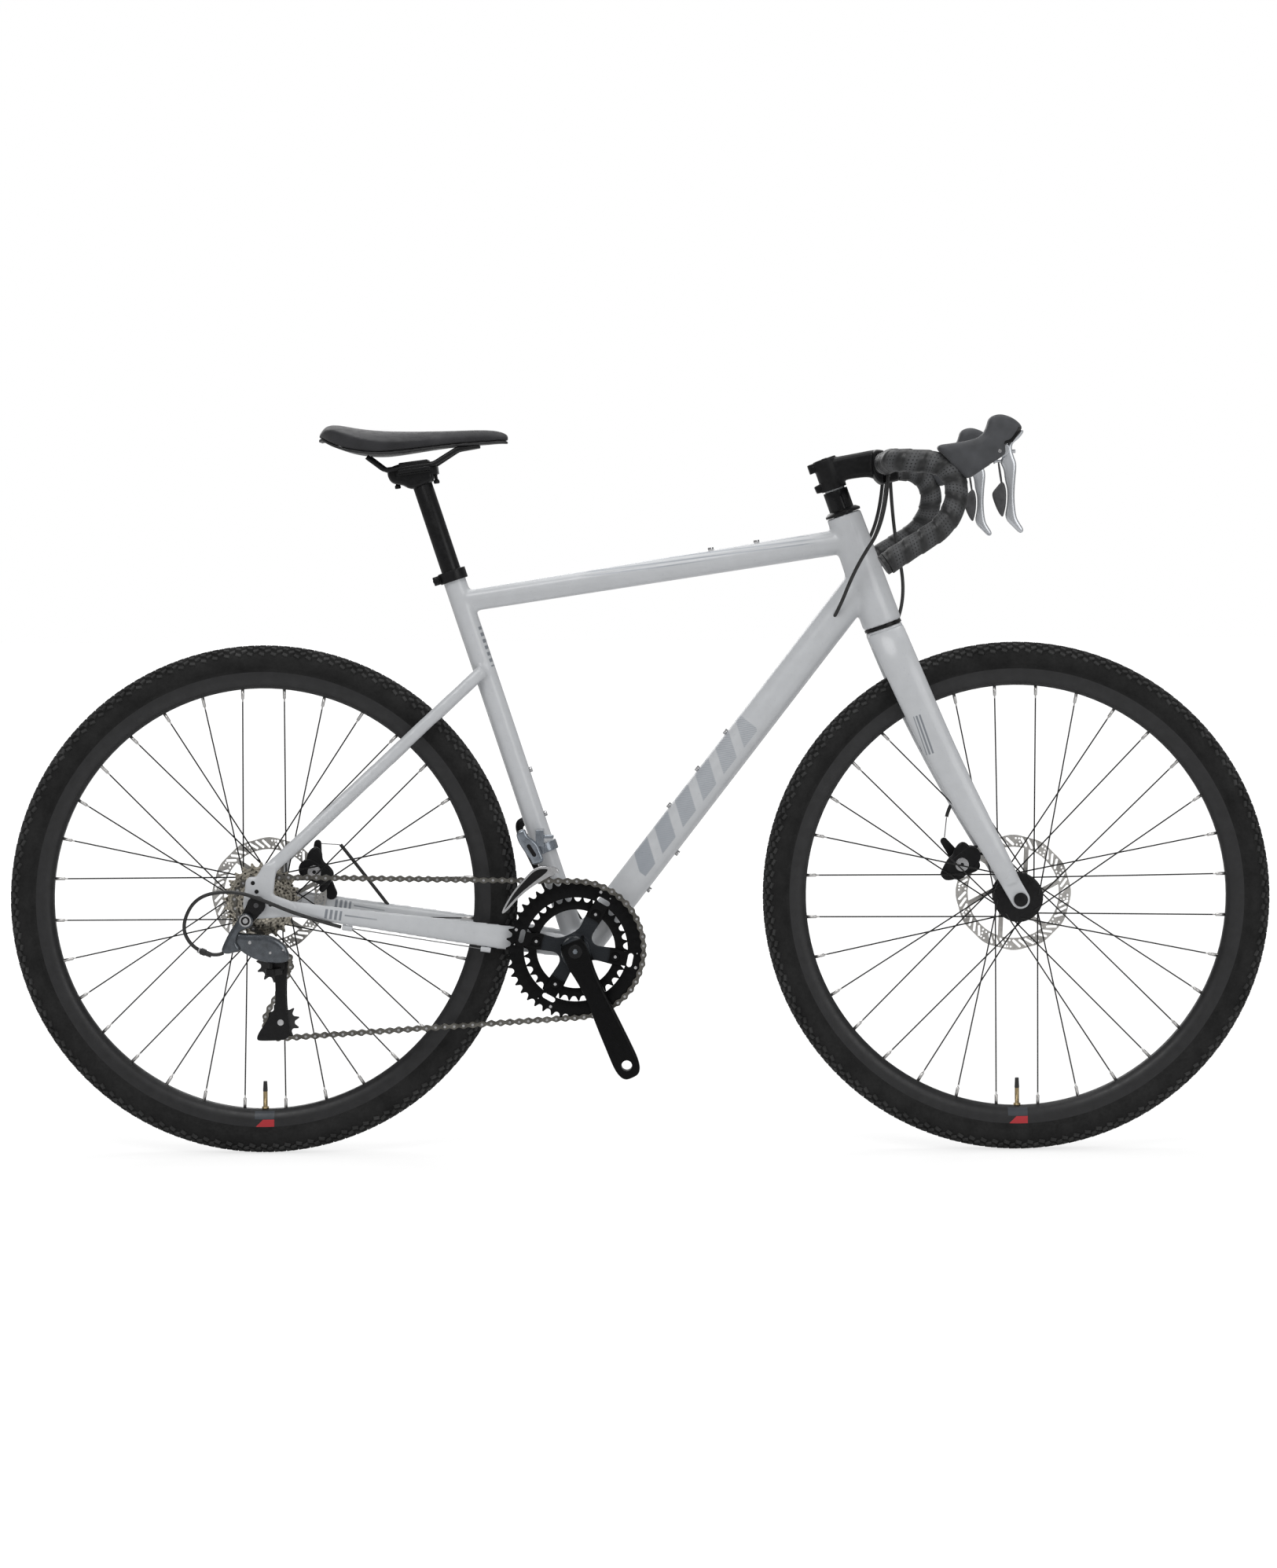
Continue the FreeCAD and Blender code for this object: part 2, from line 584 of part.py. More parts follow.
collar_bolt = fuse("collar_bolt", [
    cylinder("collar_shank", 2.5, 21, collar_bolt_place),
    cylinder("collar_head", 4.4, 3.4, collar_bolt_place)])
node("seat_clamp", group("seat_clamp", [collar, collar_bolt]))

# axles
rear_rod = fuse("rear_axle_blank", [
    cross_cylinder("rear_rod", S.axle_radius, -84.6, 85.0, REAR.x, REAR.z),
    cross_cylinder("rear_head", 9.5, DROP_IN + S.dropout_thickness + S.seat_gap, 86.0, REAR.x, REAR.z),
    cross_cylinder("rear_tip", 8.5, -88.0, -84.6, REAR.x, REAR.z),
    cross_cylinder("rear_spacer", 9, S.seat_gap - DROP_IN, -65.4, REAR.x, REAR.z)])
node("rear_axle", rear_rod)
END_OUT = S.front_spacing / 2 + S.fork_end_width
node("front_axle", fuse("front_axle", [
    cross_cylinder("front_rod", S.axle_radius, 0.0 - END_OUT - 2, END_OUT + 2, FRONT.x, FRONT.z),
    cross_cylinder("front_head", 9.5, END_OUT + S.seat_gap, END_OUT + 7, FRONT.x, FRONT.z),
    cross_cylinder("front_tip", 9.5, 0.0 - END_OUT - 3, 0.0 - END_OUT - S.seat_gap, FRONT.x, FRONT.z)]))

# bolts of the bottle and bag mounts
down_place = Place(down_foot, down_turn)
top_place = Place(top_back, top_turn)
bolt_spots = []
for number in range(3):
    spot = S.down_boss_low + S.boss_pitch * number
    bolt_spots.append(on(down_place, S.down_tube_half_height * -1, 0, spot, Turn(Y_AXIS, -90)))
for number in range(2):
    spot = S.under_boss_low + S.boss_pitch * number
    bolt_spots.append(on(down_place, S.down_tube_half_height, 0, spot, Turn(Y_AXIS, 90)))
    spot = S.seat_boss_low + S.boss_pitch * number
    bolt_spots.append(on(SEAT, S.seat_tube_radius, 0, spot, Turn(Y_AXIS, 90)))
top_run = (top_head - top_back).Length
top_rise = (S.top_tube_front_half_height - S.top_tube_rear_half_height) / top_run
for number in range(2):
    spot = top_run - S.top_boss_back - S.boss_pitch * number
    height = S.top_tube_rear_half_height + top_rise * spot
    bolt_spots.append(on(top_place, height * -1 - 0.2, 0, spot, Turn(Y_AXIS, -90)))
bolts = [cylinder("boss_bolt%d" % i, S.boss_radius, S.boss_height, spot) for i, spot in enumerate(bolt_spots)]
node("bottle_bolts", group("bottle_bolts", bolts))

# fork, in the steering frame: x forward, z up the steering axis
crown_top = HEAD_BASE - S.crown_seal_height - S.seat_gap - S.rest_gap
end_x = S.fork_rake - 4.6
blade_sections = [
    (0, -15, crown_top - 4, S.blade_top_half_length, S.blade_top_half_width),
    (2, -34.5, crown_top - 38, S.blade_top_half_length - 0.5, S.blade_top_half_width - 2),
    (end_x * 0.18, -45, crown_top * 0.7057, S.blade_mid_half_length, S.blade_mid_half_width),
    (end_x * 0.56, -53, crown_top * 0.3614, S.blade_low_half_length, S.blade_mid_half_width - 1.5),
    (end_x, S.blade_end_spread * -1, 24, S.blade_end_half_length, S.blade_end_half_width)]
blade_right = loft("blade_right", blade_sections, frame=STEER)
core_full = loft("blade_core_full", thinned(blade_sections, S.blade_wall), frame=STEER)
core_above = box("blade_core_above", 120, 130, 90, on(STEER, -60, -110, crown_top - 42))
core_below = box("blade_core_below", 160, 130, 72, on(STEER, -60, -110, -12))
blade_core = cut("blade_core", core_full, core_above, core_below)
end_right = cross_cylinder("fork_end_right", S.fork_end_radius, 0.0 - END_OUT, S.front_spacing * -0.5,
                           FRONT.x, FRONT.z)
neck_right = plate("fork_neck_right", FRONT, S.fork_end_radius, STEER.multVec(V(end_x, 0, 24)),
                   S.blade_end_half_length - 0.5, 0.0 - END_OUT, S.fork_end_width)
crown = cylinder("fork_crown", S.crown_radius, S.crown_height, on(STEER, 0, 0, crown_top - S.crown_height))
steerer_top = HEAD_TOP + S.cap_ring_height + S.rest_gap + S.spacer_count * S.spacer_height + S.stem_height
steerer = cylinder("steerer", S.steerer_radius, steerer_top - crown_top + 10, on(STEER, 0, 0, crown_top - 10))
fork_blank = fuse("fork_blank", [
    crown, steerer, blade_right, mirrored("blade_left", blade_right), end_right,
    mirrored("fork_end_left", end_right), neck_right, mirrored("fork_neck_left", neck_right)])
fork_bore = cross_cylinder("fork_axle_bore", S.axle_radius + S.running_gap, 0.0 - END_OUT, END_OUT,
                           FRONT.x, FRONT.z)
steerer_bore = cylinder("steerer_bore", S.steerer_radius - S.tube_wall,
                        steerer_top - crown_top + S.crown_height,
                        on(STEER, 0, 0, crown_top - S.crown_height))
node("fork", cut("fork", fork_blank, fork_bore, steerer_bore, blade_core,
                 mirrored("blade_core_left", blade_core)))

# spacers, stem and top cap
bore = S.steerer_radius + S.running_gap
cap_base = HEAD_TOP + S.rest_gap
cap_ring = revolved("headset_cap", [[
    (bore, 0), (S.cap_ring_radius, 0), (S.cap_ring_radius, 2), (S.spacer_radius, S.cap_ring_height),
    (bore, S.cap_ring_height)]], on(STEER, 0, 0, cap_base))
spacer_base = cap_base + S.cap_ring_height
rings = [cap_ring]
for number in range(int(S.spacer_count)):
    rings.append(revolved("spacer%d" % number, [[
        (bore, 0), (S.spacer_radius, 0), (S.spacer_radius, S.spacer_height), (bore, S.spacer_height)]],
        on(STEER, 0, 0, spacer_base + S.spacer_height * number)))
stem_base = spacer_base + S.spacer_height * S.spacer_count
top_cap = cylinder("top_cap", S.spacer_radius - 1, S.top_cap_height,
                   on(STEER, 0, 0, stem_base + S.stem_height + S.seat_gap))
node("headset_spacers", group("headset_spacers", rings + [top_cap]))

stem_mid = stem_base + S.stem_height / 2
bar_f = S.stem_length
bar_s = stem_mid - S.stem_drop
BAR = STEER.multVec(V(bar_f, 0, bar_s))
pitch_down = math.degrees(math.atan2(S.stem_drop, S.stem_length))
NECK = on(STEER, bar_f, 0, bar_s, Turn(Y_AXIS, pitch_down))
neck = loft("stem_neck", [
    (S.stem_length * -1.0, 0, 0, S.stem_neck_half_height, S.stem_neck_half_width),
    (S.stem_length * -0.5, 0, 0, S.stem_neck_half_height - 1.5, S.stem_neck_half_width),
    (0, 0, 0, S.stem_neck_half_height + 1, S.stem_neck_half_width + 1)],
    Turn(Y_AXIS, 90), NECK)
collar_body = cylinder("stem_collar", S.stem_collar_radius, S.stem_height, on(STEER, 0, 0, stem_base))
steerer_hole = cylinder("stem_steerer_hole", bore, S.stem_height, on(STEER, 0, 0, stem_base))
pinch = box("stem_pinch", 14, 24, S.stem_height - 6,
            on(STEER, S.stem_collar_radius * -1 - 6, -12, stem_base + 3))
clamp_y = S.clamp_width * -0.5
jaw = box("stem_jaw", 12, S.clamp_width, S.clamp_half_height * 2,
          on(NECK, -13, clamp_y, S.clamp_half_height * -1))
jaw_round = cylinder("stem_jaw_round", S.clamp_radius, S.clamp_width, on(NECK, 0, clamp_y, 0, ALONG_Y))
bar_hole = cylinder("stem_bar_hole", S.clamp_bar_radius + S.running_gap, S.clamp_width,
                    on(NECK, 0, clamp_y, 0, ALONG_Y))
front_space = box("stem_front_space", 40, S.clamp_width + 4, 80, on(NECK, -1, clamp_y - 2, -40))
node("stem", cut("stem", fuse("stem_blank", [neck, collar_body, pinch, jaw, jaw_round]),
                 steerer_hole, bar_hole, front_space))
lip = box("faceplate_lip", S.faceplate_depth - 1, S.clamp_width, S.clamp_half_height * 2,
          on(NECK, 1, clamp_y, S.clamp_half_height * -1))
back_space = box("faceplate_back_space", 40, S.clamp_width + 4, 80, on(NECK, -39, clamp_y - 2, -40))
node("stem_faceplate", cut("stem_faceplate", fuse("faceplate_blank", [lip, jaw_round]), bar_hole, back_space))
stem_bolts = []
for up in (-1, 1):
    for side in (-1, 1):
        spot = on(NECK, S.faceplate_depth, side * 14.5, up * 20.4, Turn(Y_AXIS, 90))
        stem_bolts.append(cylinder("faceplate_bolt%d%d" % (up + 1, side + 1), S.bolt_head_radius,
                                   S.bolt_head_height, spot))
    spot = on(STEER, S.stem_collar_radius * -1 - 1.5, -12.0 - S.bolt_head_height, stem_mid + up * 9, ALONG_Y)
    stem_bolts.append(cylinder("pinch_bolt%d" % (up + 1), S.bolt_head_radius, S.bolt_head_height, spot))
stem_bolts.append(cylinder("cap_bolt", 5, 2.5, on(
    STEER, 0, 0, stem_base + S.stem_height + S.seat_gap + S.top_cap_height)))
node("stem_bolts", group("stem_bolts", stem_bolts))

# handlebar with its tape
tops = V(BAR.x, S.bar_corner * -1, BAR.z)
brow = V(BAR.x + S.bar_reach, S.bar_half_width * -1, BAR.z - S.bar_ramp_drop)
hook = V(BAR.x + S.bar_reach + 1, S.bar_half_width * -1 - S.bar_flare * 0.5, BAR.z - S.bar_hook_drop)
tip = V(BAR.x - S.bar_end_back, S.bar_half_width * -1 - S.bar_flare, BAR.z - S.bar_drop)
start = V(BAR.x, S.tape_start * -1, BAR.z)
bends = [S.bar_bend, S.bar_bend, S.hook_bend]
bend_list = [float(b) for b in bends]
middle = V(BAR.x, 0, BAR.z)
bar_half = rod("bar_half", [middle, tops, brow, hook, tip], bend_list, S.bar_radius)
bulge = cross_cylinder("bar_bulge", S.clamp_bar_radius, -33.0, 33.0, BAR.x, BAR.z)
bar_blank = fuse("bar_blank", [bar_half, mirrored("bar_half_left", bar_half), bulge])
bar_core = rod("bar_core", [middle, tops, brow, hook, tip], bend_list, S.bar_radius - S.tube_wall)
node("handlebar", cut("handlebar", bar_blank, bar_core, mirrored("bar_core_left", bar_core)))
tape_radius = S.bar_radius + S.tape_thickness
tape_outer = rod("tape_outer", [start, tops, brow, hook, tip], bend_list, tape_radius)
tape_hole = rod("tape_hole", [start, tops, brow, hook, tip], bend_list, S.bar_radius + S.running_gap)
tape = cut("tape", tape_outer, tape_hole)
tail = (tip - hook).normalize()
plug = cylinder("bar_plug", tape_radius - 1.2, S.plug_length, Place(tip + tail * 0.1, Turn(V(0, 0, 1), tail)))
node("bar_tape", group("bar_tape", [
    tape, mirrored("tape_left", tape), plug, mirrored("bar_plug_left", plug)]))

# brake lever hoods, levers and paddles
HX = BAR.x
HZ = BAR.z
HY = float(S.bar_half_width) + 2.5
PIVOT = V(HX + S.pivot_forward, -HY, HZ + S.pivot_up)


def lever_point(x, z):
    """A point of the lever, from the brake pivot."""
    return V(PIVOT.x + x, PIVOT.y, PIVOT.z + z)


hood_sections = [(-68, -12.5, 45, 29.5, 1.1), (-40, -3, 61, 25, 1.0), (-16, 11, 73, 25.5, 0.98),
                 (7, 19, 90, 27, 0.9), (14.5, 31.5, 90, 16.5, 0.78), (23, 38, 90, 6.5, 0.5)]
hood_rings = []
for number, (x, z, lean, tall, wide) in enumerate(hood_sections):
    spot = lever_point(x, z)
    hood_rings.append(ellipse("hood_ring%d" % number, tall, S.hood_half_width * wide,
                              Place(spot, Turn(Y_AXIS, lean))) if tall > 15.5 * wide else
                      ellipse("hood_ring%d" % number, S.hood_half_width * wide, tall,
                              Place(spot, Turn(Y_AXIS, lean) * Turn(V(0, 0, 1), 90))))
hood_raw = doc.addObject("Part::Loft", "hood_raw")
hood_raw.Sections = hood_rings
hood_raw.Solid = True
hood_raw.Ruled = False
slot_place = Place(V(PIVOT.x, PIVOT.y + S.lever_slot * 0.5, PIVOT.z), Turn(V(1, 0, 0), 90))
hood_slot = formed("hood_slot", Part.Face(Part.makePolygon([
    V(-13, -40, 0), (60, -40, 0), (60, 28, 0), (14, 20, 0), (-13, 12, 0), (-13, -40, 0)])).extrude(
    V(0, 0, S.lever_slot)), slot_place)
hood = cut("hood", hood_raw, hood_slot, tape_outer)
node("right_hood", hood)
node("left_hood", mirrored("left_hood", hood))
base_width = S.lever_slot - S.rest_gap * 1.6
base_plate = plate("lever_base", PIVOT, 8.4, lever_point(5.5, 2.5), 8.4, PIVOT.y - base_width * 0.5,
                   base_width)
ALONG_X = Turn(Y_AXIS, 90)
hinge_z = 0.0 - S.paddle_hinge_drop
knuckle_half = 4.5
cheek = 2.2
cheek_half = S.paddle_knuckle - 0.6
paddle_hinge = cylinder("paddle_pin", S.paddle_pin, 2 * knuckle_half + 2 * cheek,
                        Place(lever_point(0.0 - knuckle_half - cheek, hinge_z), ALONG_X))
cheeks = []
for number, x in enumerate((0.0 - knuckle_half - cheek, knuckle_half + S.rest_gap)):
    cheeks.append(box("paddle_cheek%d" % number, cheek - S.rest_gap, cheek_half * 2, S.paddle_hinge_drop - 3,
                      Place(lever_point(x, hinge_z - cheek_half) - V(0, cheek_half, 0), Turn())))
swing_reach = 22.0
swing_root = 9.0
swing_hinge = cylinder("swing_pin", S.swing_pin, swing_reach - swing_root,
                       Place(lever_point(swing_root, 0), ALONG_X))
base = fuse("lever_carrier", [base_plate, paddle_hinge, swing_hinge] + cheeks)
node("right_lever_base", base)
node("left_lever_base", mirrored("left_lever_base", base))


def curved_outline(points):
    """A closed outline with smooth long sides."""
    edges = []
    for run in points:
        if len(run) == 2:
            edges.append(Part.LineSegment(run[0], run[1]).toShape())
        else:
            edges.append(Part.Arc(run[0], run[1], run[2]).toShape())
    return Part.Face(Part.Wire(edges))


def flat(x, z):
    return V(x, 0, z)


blade_face = curved_outline([
    [flat(17, 14), flat(26, 24), flat(30, 29)], [flat(30, 29), flat(33, 26)],
    [flat(33, 26), flat(22, -34), flat(18.5, -66)], [flat(18.5, -66), flat(21, -86), flat(31, -104)],
    [flat(31, -104), flat(27, -107)], [flat(27, -107), flat(11, -88), flat(7.4, -62)],
    [flat(7.4, -62), flat(10.5, -24), flat(17, 14)]])
blade_blank = formed("blade_blank", blade_face.extrude(V(0, S.lever_thickness, 0)),
                     Place(V(PIVOT.x, PIVOT.y - S.lever_thickness * 0.5, PIVOT.z), Turn()))
blade_bore = cylinder("blade_bore", S.swing_pin + S.running_gap, swing_reach + S.rest_gap - swing_root,
                      Place(lever_point(swing_root, 0), ALONG_X))
blade = cut("brake_blade", blade_blank, blade_bore)
node("right_brake_lever", blade)
node("left_brake_lever", mirrored("left_brake_lever", blade))
paddle_face = curved_outline([
    [flat(-4.5, hinge_z), flat(4.5, hinge_z)], [flat(4.5, hinge_z), flat(6.2, -40)],
    [flat(6.2, -40), flat(6.4, -86)],
    [flat(6.4, -86), flat(3, -88)], [flat(3, -88), flat(-4, -78), flat(-8.5, -60)],
    [flat(-8.5, -60), flat(-9, -52), flat(-4, -42)], [flat(-4, -42), flat(-4.5, hinge_z)]])
paddle_leaf = formed("paddle_leaf", paddle_face.extrude(V(0, S.paddle_thickness, 0)),
                     Place(V(PIVOT.x, PIVOT.y - S.paddle_thickness * 0.5, PIVOT.z), Turn()))
knuckle_place = Place(lever_point(0.0 - knuckle_half, hinge_z), ALONG_X)
paddle_barrel = cylinder("paddle_barrel", S.paddle_knuckle, 2 * knuckle_half, knuckle_place)
paddle_bore = cylinder("paddle_bore", S.paddle_pin + S.running_gap, 2 * knuckle_half + 2 * cheek,
                       Place(lever_point(0.0 - knuckle_half - cheek, hinge_z), ALONG_X))
paddle = cut("paddle", fuse("paddle_blank", [paddle_leaf, paddle_barrel]), paddle_bore)
node("right_shift_paddle", paddle)
node("left_shift_paddle", mirrored("left_shift_paddle", paddle))

# seatpost, clamp, rails and saddle
node("seatpost", cut("seatpost", cylinder("post_tube", S.seatpost_radius, S.post_top - S.post_foot,
                                          on(SEAT, 0, 0, S.post_foot)),
                     cylinder("post_bore", S.seatpost_radius - S.tube_wall,
                              S.post_top - S.post_foot - S.post_plug, on(SEAT, 0, 0, S.post_foot))))
post_head = SEAT.multVec(V(0, 0, S.post_top))
RAIL_TILT = 7.4
CLAMP = Place(post_head + V(S.clamp_setback * -1, 0, S.clamp_rise), Turn(Y_AXIS, -RAIL_TILT))
cradle = box("clamp_cradle", 62, 34, 12, on(CLAMP, -31, -17, -14))
cradle_foot = cylinder("clamp_foot", S.seatpost_radius + 1.5, S.clamp_rise - 9.84,
                       on(SEAT, 0, 0, S.post_top + S.seat_gap))
keep_low = box("clamp_keep", 46, 52, 8, on(CLAMP, -23, -26, -8))
keep_high = box("clamp_top", 40, 52, 7, on(CLAMP, -20, -26, 0.3))
rail_grooves = [cylinder("clamp_groove%d" % side, S.rail_radius + S.running_gap, 90,
                         on(CLAMP, -45, side * S.rail_spread, 0, Turn(Y_AXIS, 90))) for side in (-1, 1)]
low = cut("clamp_low", fuse("clamp_low_blank", [cradle, cradle_foot, keep_low]), *rail_grooves)
high = cut("clamp_high", keep_high, *rail_grooves)
clamp_bolts = []
for spot in (-27, 27):
    clamp_bolts.append(fuse("clamp_bolt%d" % (spot + 27), [
        cylinder("clamp_shank%d" % (spot + 27), 2.4, 12.8, on(CLAMP, spot, 0, -26.9)),
        cylinder("clamp_head%d" % (spot + 27), 4.2, 5, on(CLAMP, spot, 0, -27))]))
node("saddle_clamp", group("saddle_clamp", [low, high] + clamp_bolts))
T = CLAMP.Base.z + float(S.saddle_depth)
SADDLE_BACK = BOTTOM.x - S.saddle_back
rail_rear = S.saddle_depth - 28
rail_fore = S.saddle_depth - 32.5
rails = []
for side in (-1, 1):
    y = side * float(S.rail_spread)
    points = [on(CLAMP, -62, 0, rail_rear).Base + V(0, y * 1.15, 0), on(CLAMP, -40, 0, 0).Base + V(0, y, 0),
              on(CLAMP, 28, 0, 0).Base + V(0, y, 0), on(CLAMP, 62, 0, rail_fore - 1).Base + V(0, y * 0.72, 0),
              on(CLAMP, 92, 0, rail_fore).Base + V(0, y * 0.42, 0)]
    rails.append(rod("saddle_rail%d" % (side + 1), points, [14, 16, 20], S.rail_radius))
node("saddle_rails", group("saddle_rails", rails))

# each saddle section: share of the length from the back, half width share, top, edge and base heights
saddle_sections = [
    (0.0, 0.36, -3.5, -7.0, -16.5), (0.03, 0.62, 5.5, -9.0, -16.0),
    (0.075, 0.84, 8.5, -9.5, -22.0), (0.17, 0.99, 5.0, -13.0, -30.0),
    (0.3, 0.96, 0.8, -17.0, -34.0), (0.44, 0.72, -0.6, -17.0, -31.5),
    (0.6, 0.44, -0.5, -14.0, -26.0), (0.76, 0.31, 0.5, -12.0, -21.5),
    (0.9, 0.27, 0.6, -11.0, -19.0), (0.97, 0.22, -2.5, -10.0, -18.0),
    (1.0, 0.13, -7.0, -5.0, -19.0)]


def saddle_ring(share, wide, top, edge, floor, floor_lift):
    x = SADDLE_BACK + S.saddle_length * share
    half = S.saddle_half_width * wide
    drawn = half * 0.9
    up = T + top
    arc = Part.Arc(V(x, -half, up + edge), V(x, 0, up), V(x, half, up + edge))
    return Part.Wire([
        arc.toShape(), Part.LineSegment(V(x, half, up + edge), V(x, drawn, T + floor + floor_lift)).toShape(),
        Part.LineSegment(V(x, drawn, T + floor + floor_lift), V(x, -drawn, T + floor + floor_lift)).toShape(),
        Part.LineSegment(V(x, -drawn, T + floor + floor_lift), V(x, -half, up + edge)).toShape()])


cover_rings = [saddle_ring(*section, float(S.shell_thickness + S.rest_gap)) for section in saddle_sections]
node("saddle_cover", formed("saddle_cover", Part.makeLoft(cover_rings, True, False)))


def shell_ring(share, wide, floor):
    x = SADDLE_BACK + S.saddle_length * share
    half = S.saddle_half_width * wide * 0.88
    low = T + floor
    high = low + float(S.shell_thickness)
    corners = [V(x, -half, low), V(x, half, low), V(x, half, high), V(x, -half, high), V(x, -half, low)]
    return Part.makePolygon(corners)


shell_rings = [shell_ring(share, wide, floor) for share, wide, top, edge, floor in saddle_sections]
shell_raw = formed("saddle_shell_raw", Part.makeLoft(shell_rings, True, False))
node("saddle_shell", cut("saddle_shell", shell_raw, *rails))


# wheels; heights run along the axle from the right end of each hub
def tyre(name, centre):
    body, sketch = new_body(name, "XZ_Plane")
    wide = S.tyre_width / 2
    hoop = S.tyre_radius - wide
    bead = S.rim_outer + S.rest_gap
    spread_out = math.acos((float(bead) - float(hoop)) / float(wide))
    thin = wide - S.tyre_wall
    spread_in = math.acos((float(bead) - float(hoop)) / float(thin))
    arcs = []
    for radius, spread in ((wide, spread_out), (thin, spread_in)):
        ring = Part.Circle(V(hoop, 0, 0), V(0, 0, 1), float(radius))
        arcs.append(Part.ArcOfCircle(ring, -spread, spread))
    ends = [(float(hoop) + float(r) * math.cos(s), float(r) * math.sin(s))
            for r, s in ((wide, spread_out), (thin, spread_in))]
    upper = Part.LineSegment(V(ends[0][0], ends[0][1], 0), V(ends[1][0], ends[1][1], 0))
    lower = Part.LineSegment(V(ends[0][0], -ends[0][1], 0), V(ends[1][0], -ends[1][1], 0))
    sketch.addGeometry([arcs[0], arcs[1], upper, lower], False)
    sketch.addConstraint([
        Sketcher.Constraint("Coincident", 0, 2, 2, 1), Sketcher.Constraint("Coincident", 1, 2, 2, 2),
        Sketcher.Constraint("Coincident", 0, 1, 3, 1), Sketcher.Constraint("Coincident", 1, 1, 3, 2),
        Sketcher.Constraint("PointOnObject", 0, 3, -1), Sketcher.Constraint("Coincident", 1, 3, 0, 3)])
    names = (("hoop", "DistanceX", (-1, 1, 0, 3), hoop), ("bead_a", "DistanceX", (-1, 1, 2, 1), bead),
             ("bead_b", "DistanceX", (-1, 1, 2, 2), bead), ("bead_c", "DistanceX", (-1, 1, 3, 1), bead),
             ("bead_d", "DistanceX", (-1, 1, 3, 2), bead), ("outer", "Radius", (0,), wide),
             ("inner", "Radius", (1,), thin))
    for tag, kind, refs, number in names:
        made = sketch.addConstraint(Sketcher.Constraint(kind, *refs, float(number)))
        sketch.renameConstraint(made, tag)
        sketch.setExpression("Constraints." + tag, number.text)
    turn = body.newObject("PartDesign::Revolution", name + "_turn")
    turn.Profile = sketch
    turn.ReferenceAxis = (sketch, ["V_Axis"])
    turn.Angle = 360
    body.Placement = Place(centre, ALONG_Y)
    return body


def rim(name, centre):
    half = S.rim_half_width
    wide = half * 2
    wall = S.rim_wall
    outer = [(S.rim_inner, half - 5), (S.rim_inner, half + 5), (S.rim_inner + 7, wide - 2),
             (S.rim_inner + 14, wide), (S.rim_outer, wide), (S.rim_outer, wide - wall),
             (S.rim_well, wide - wall), (S.rim_well, wall), (S.rim_outer, wall), (S.rim_outer, 0),
             (S.rim_inner + 14, 0), (S.rim_inner + 7, 2)]
    chamber = [(S.rim_inner + wall, half - 4), (S.rim_inner + wall, half + 4),
               (S.rim_inner + 7.5, wide - 2 - wall), (S.rim_well - wall, wide - 2 - wall),
               (S.rim_well - wall, wall + 2), (S.rim_inner + 7.5, wall + 2)]
    return revolved(name, [outer, chamber], Place(centre - V(0, half, 0), ALONG_Y))


def spoke_set(name, centre, right_flange, left_flange):
    """Three-cross lacing: each spoke with its nipple is one stepped rod."""
    count = int(S.spokes_per_side)
    step = 360.0 / count
    solids = []
    for flange, shift, rim_side in ((right_flange, 0.0, -1.5), (left_flange, step / 2, 1.5)):
        for k in range(count):
            lead = 1 if k % 2 else -1
            hub_angle = math.radians(step * k + shift + step / 4)
            rim_angle = math.radians(step * k + shift + step / 4 - lead * 3 * step)
            off = lead * (S.flange_thickness / 2 + S.spoke_radius + S.seat_gap)
            inner = V(S.spoke_circle * math.cos(hub_angle), flange + off,
                      S.spoke_circle * math.sin(hub_angle))
            reach = S.rim_inner + S.rim_wall * 0.5
            outer = V(reach * math.cos(rim_angle), rim_side, reach * math.sin(rim_angle))
            length = (outer - inner).Length
            thick = float(S.nipple_radius)
            thin = float(S.spoke_radius)
            neck = length - float(S.nipple_length)
            profile = Part.Face(Part.makePolygon([
                V(0, 0, 0), V(thin, 0, 0), V(thin, 0, neck), V(thick, 0, neck + 1), V(thick, 0, length),
                V(0, 0, length), V(0, 0, 0)]))
            solid = profile.revolve(V(0, 0, 0), V(0, 0, 1), 360)
            solid.Placement = Place(centre + inner, Turn(V(0, 0, 1), outer - inner))
            solids.append(solid)
    return formed(name, Part.makeCompound(solids))


def rotor(name, centre, offset):
    thick = float(S.rotor_thickness)
    base = V(0, 0, 0)
    up = V(0, 0, 1)

    def disc(radius, height=thick):
        return Part.makeCylinder(radius, height, base, up)

    track = disc(float(S.rotor_radius)).cut(disc(float(S.rotor_track)))
    heart = disc(26).cut(disc(float(S.rotor_bore + S.running_gap)))
    arms = []
    for k in range(6):
        arm = Part.makeBox(44, 7, thick, V(22, -3.5, 0))
        arm.rotate(V(24, 0, 0), up, 24)
        arm.rotate(base, up, 60 * k)
        arms.append(arm.common(disc(float(S.rotor_track) + 2)))
    whole = track.fuse([heart] + arms)
    holes = []
    for k in range(36):
        angle = 10 * k
        radius = (68.5, 72.0, 75.5)[k % 3]
        hole = Part.makeCylinder(2.1, thick, V(radius, 0, 0), up)
        hole.rotate(base, up, angle)
        holes.append(hole)
    whole = whole.cut(Part.makeCompound(holes))
    return formed(name, whole, Place(centre + V(0, offset, 0), ALONG_Y))


def valve(name, centre):
    top = S.valve_length
    return revolved(name, [[(0, 0), (S.valve_radius + 1.8, 0), (S.valve_radius + 1.8, 3), (S.valve_radius, 3),
                            (S.valve_radius, top - 14), (S.valve_radius + 0.3, top - 13),
                            (S.valve_radius - 0.4, top), (0, top)]],
                    Place(centre - V(0, 0, S.rim_inner - S.seat_gap), Turn()))


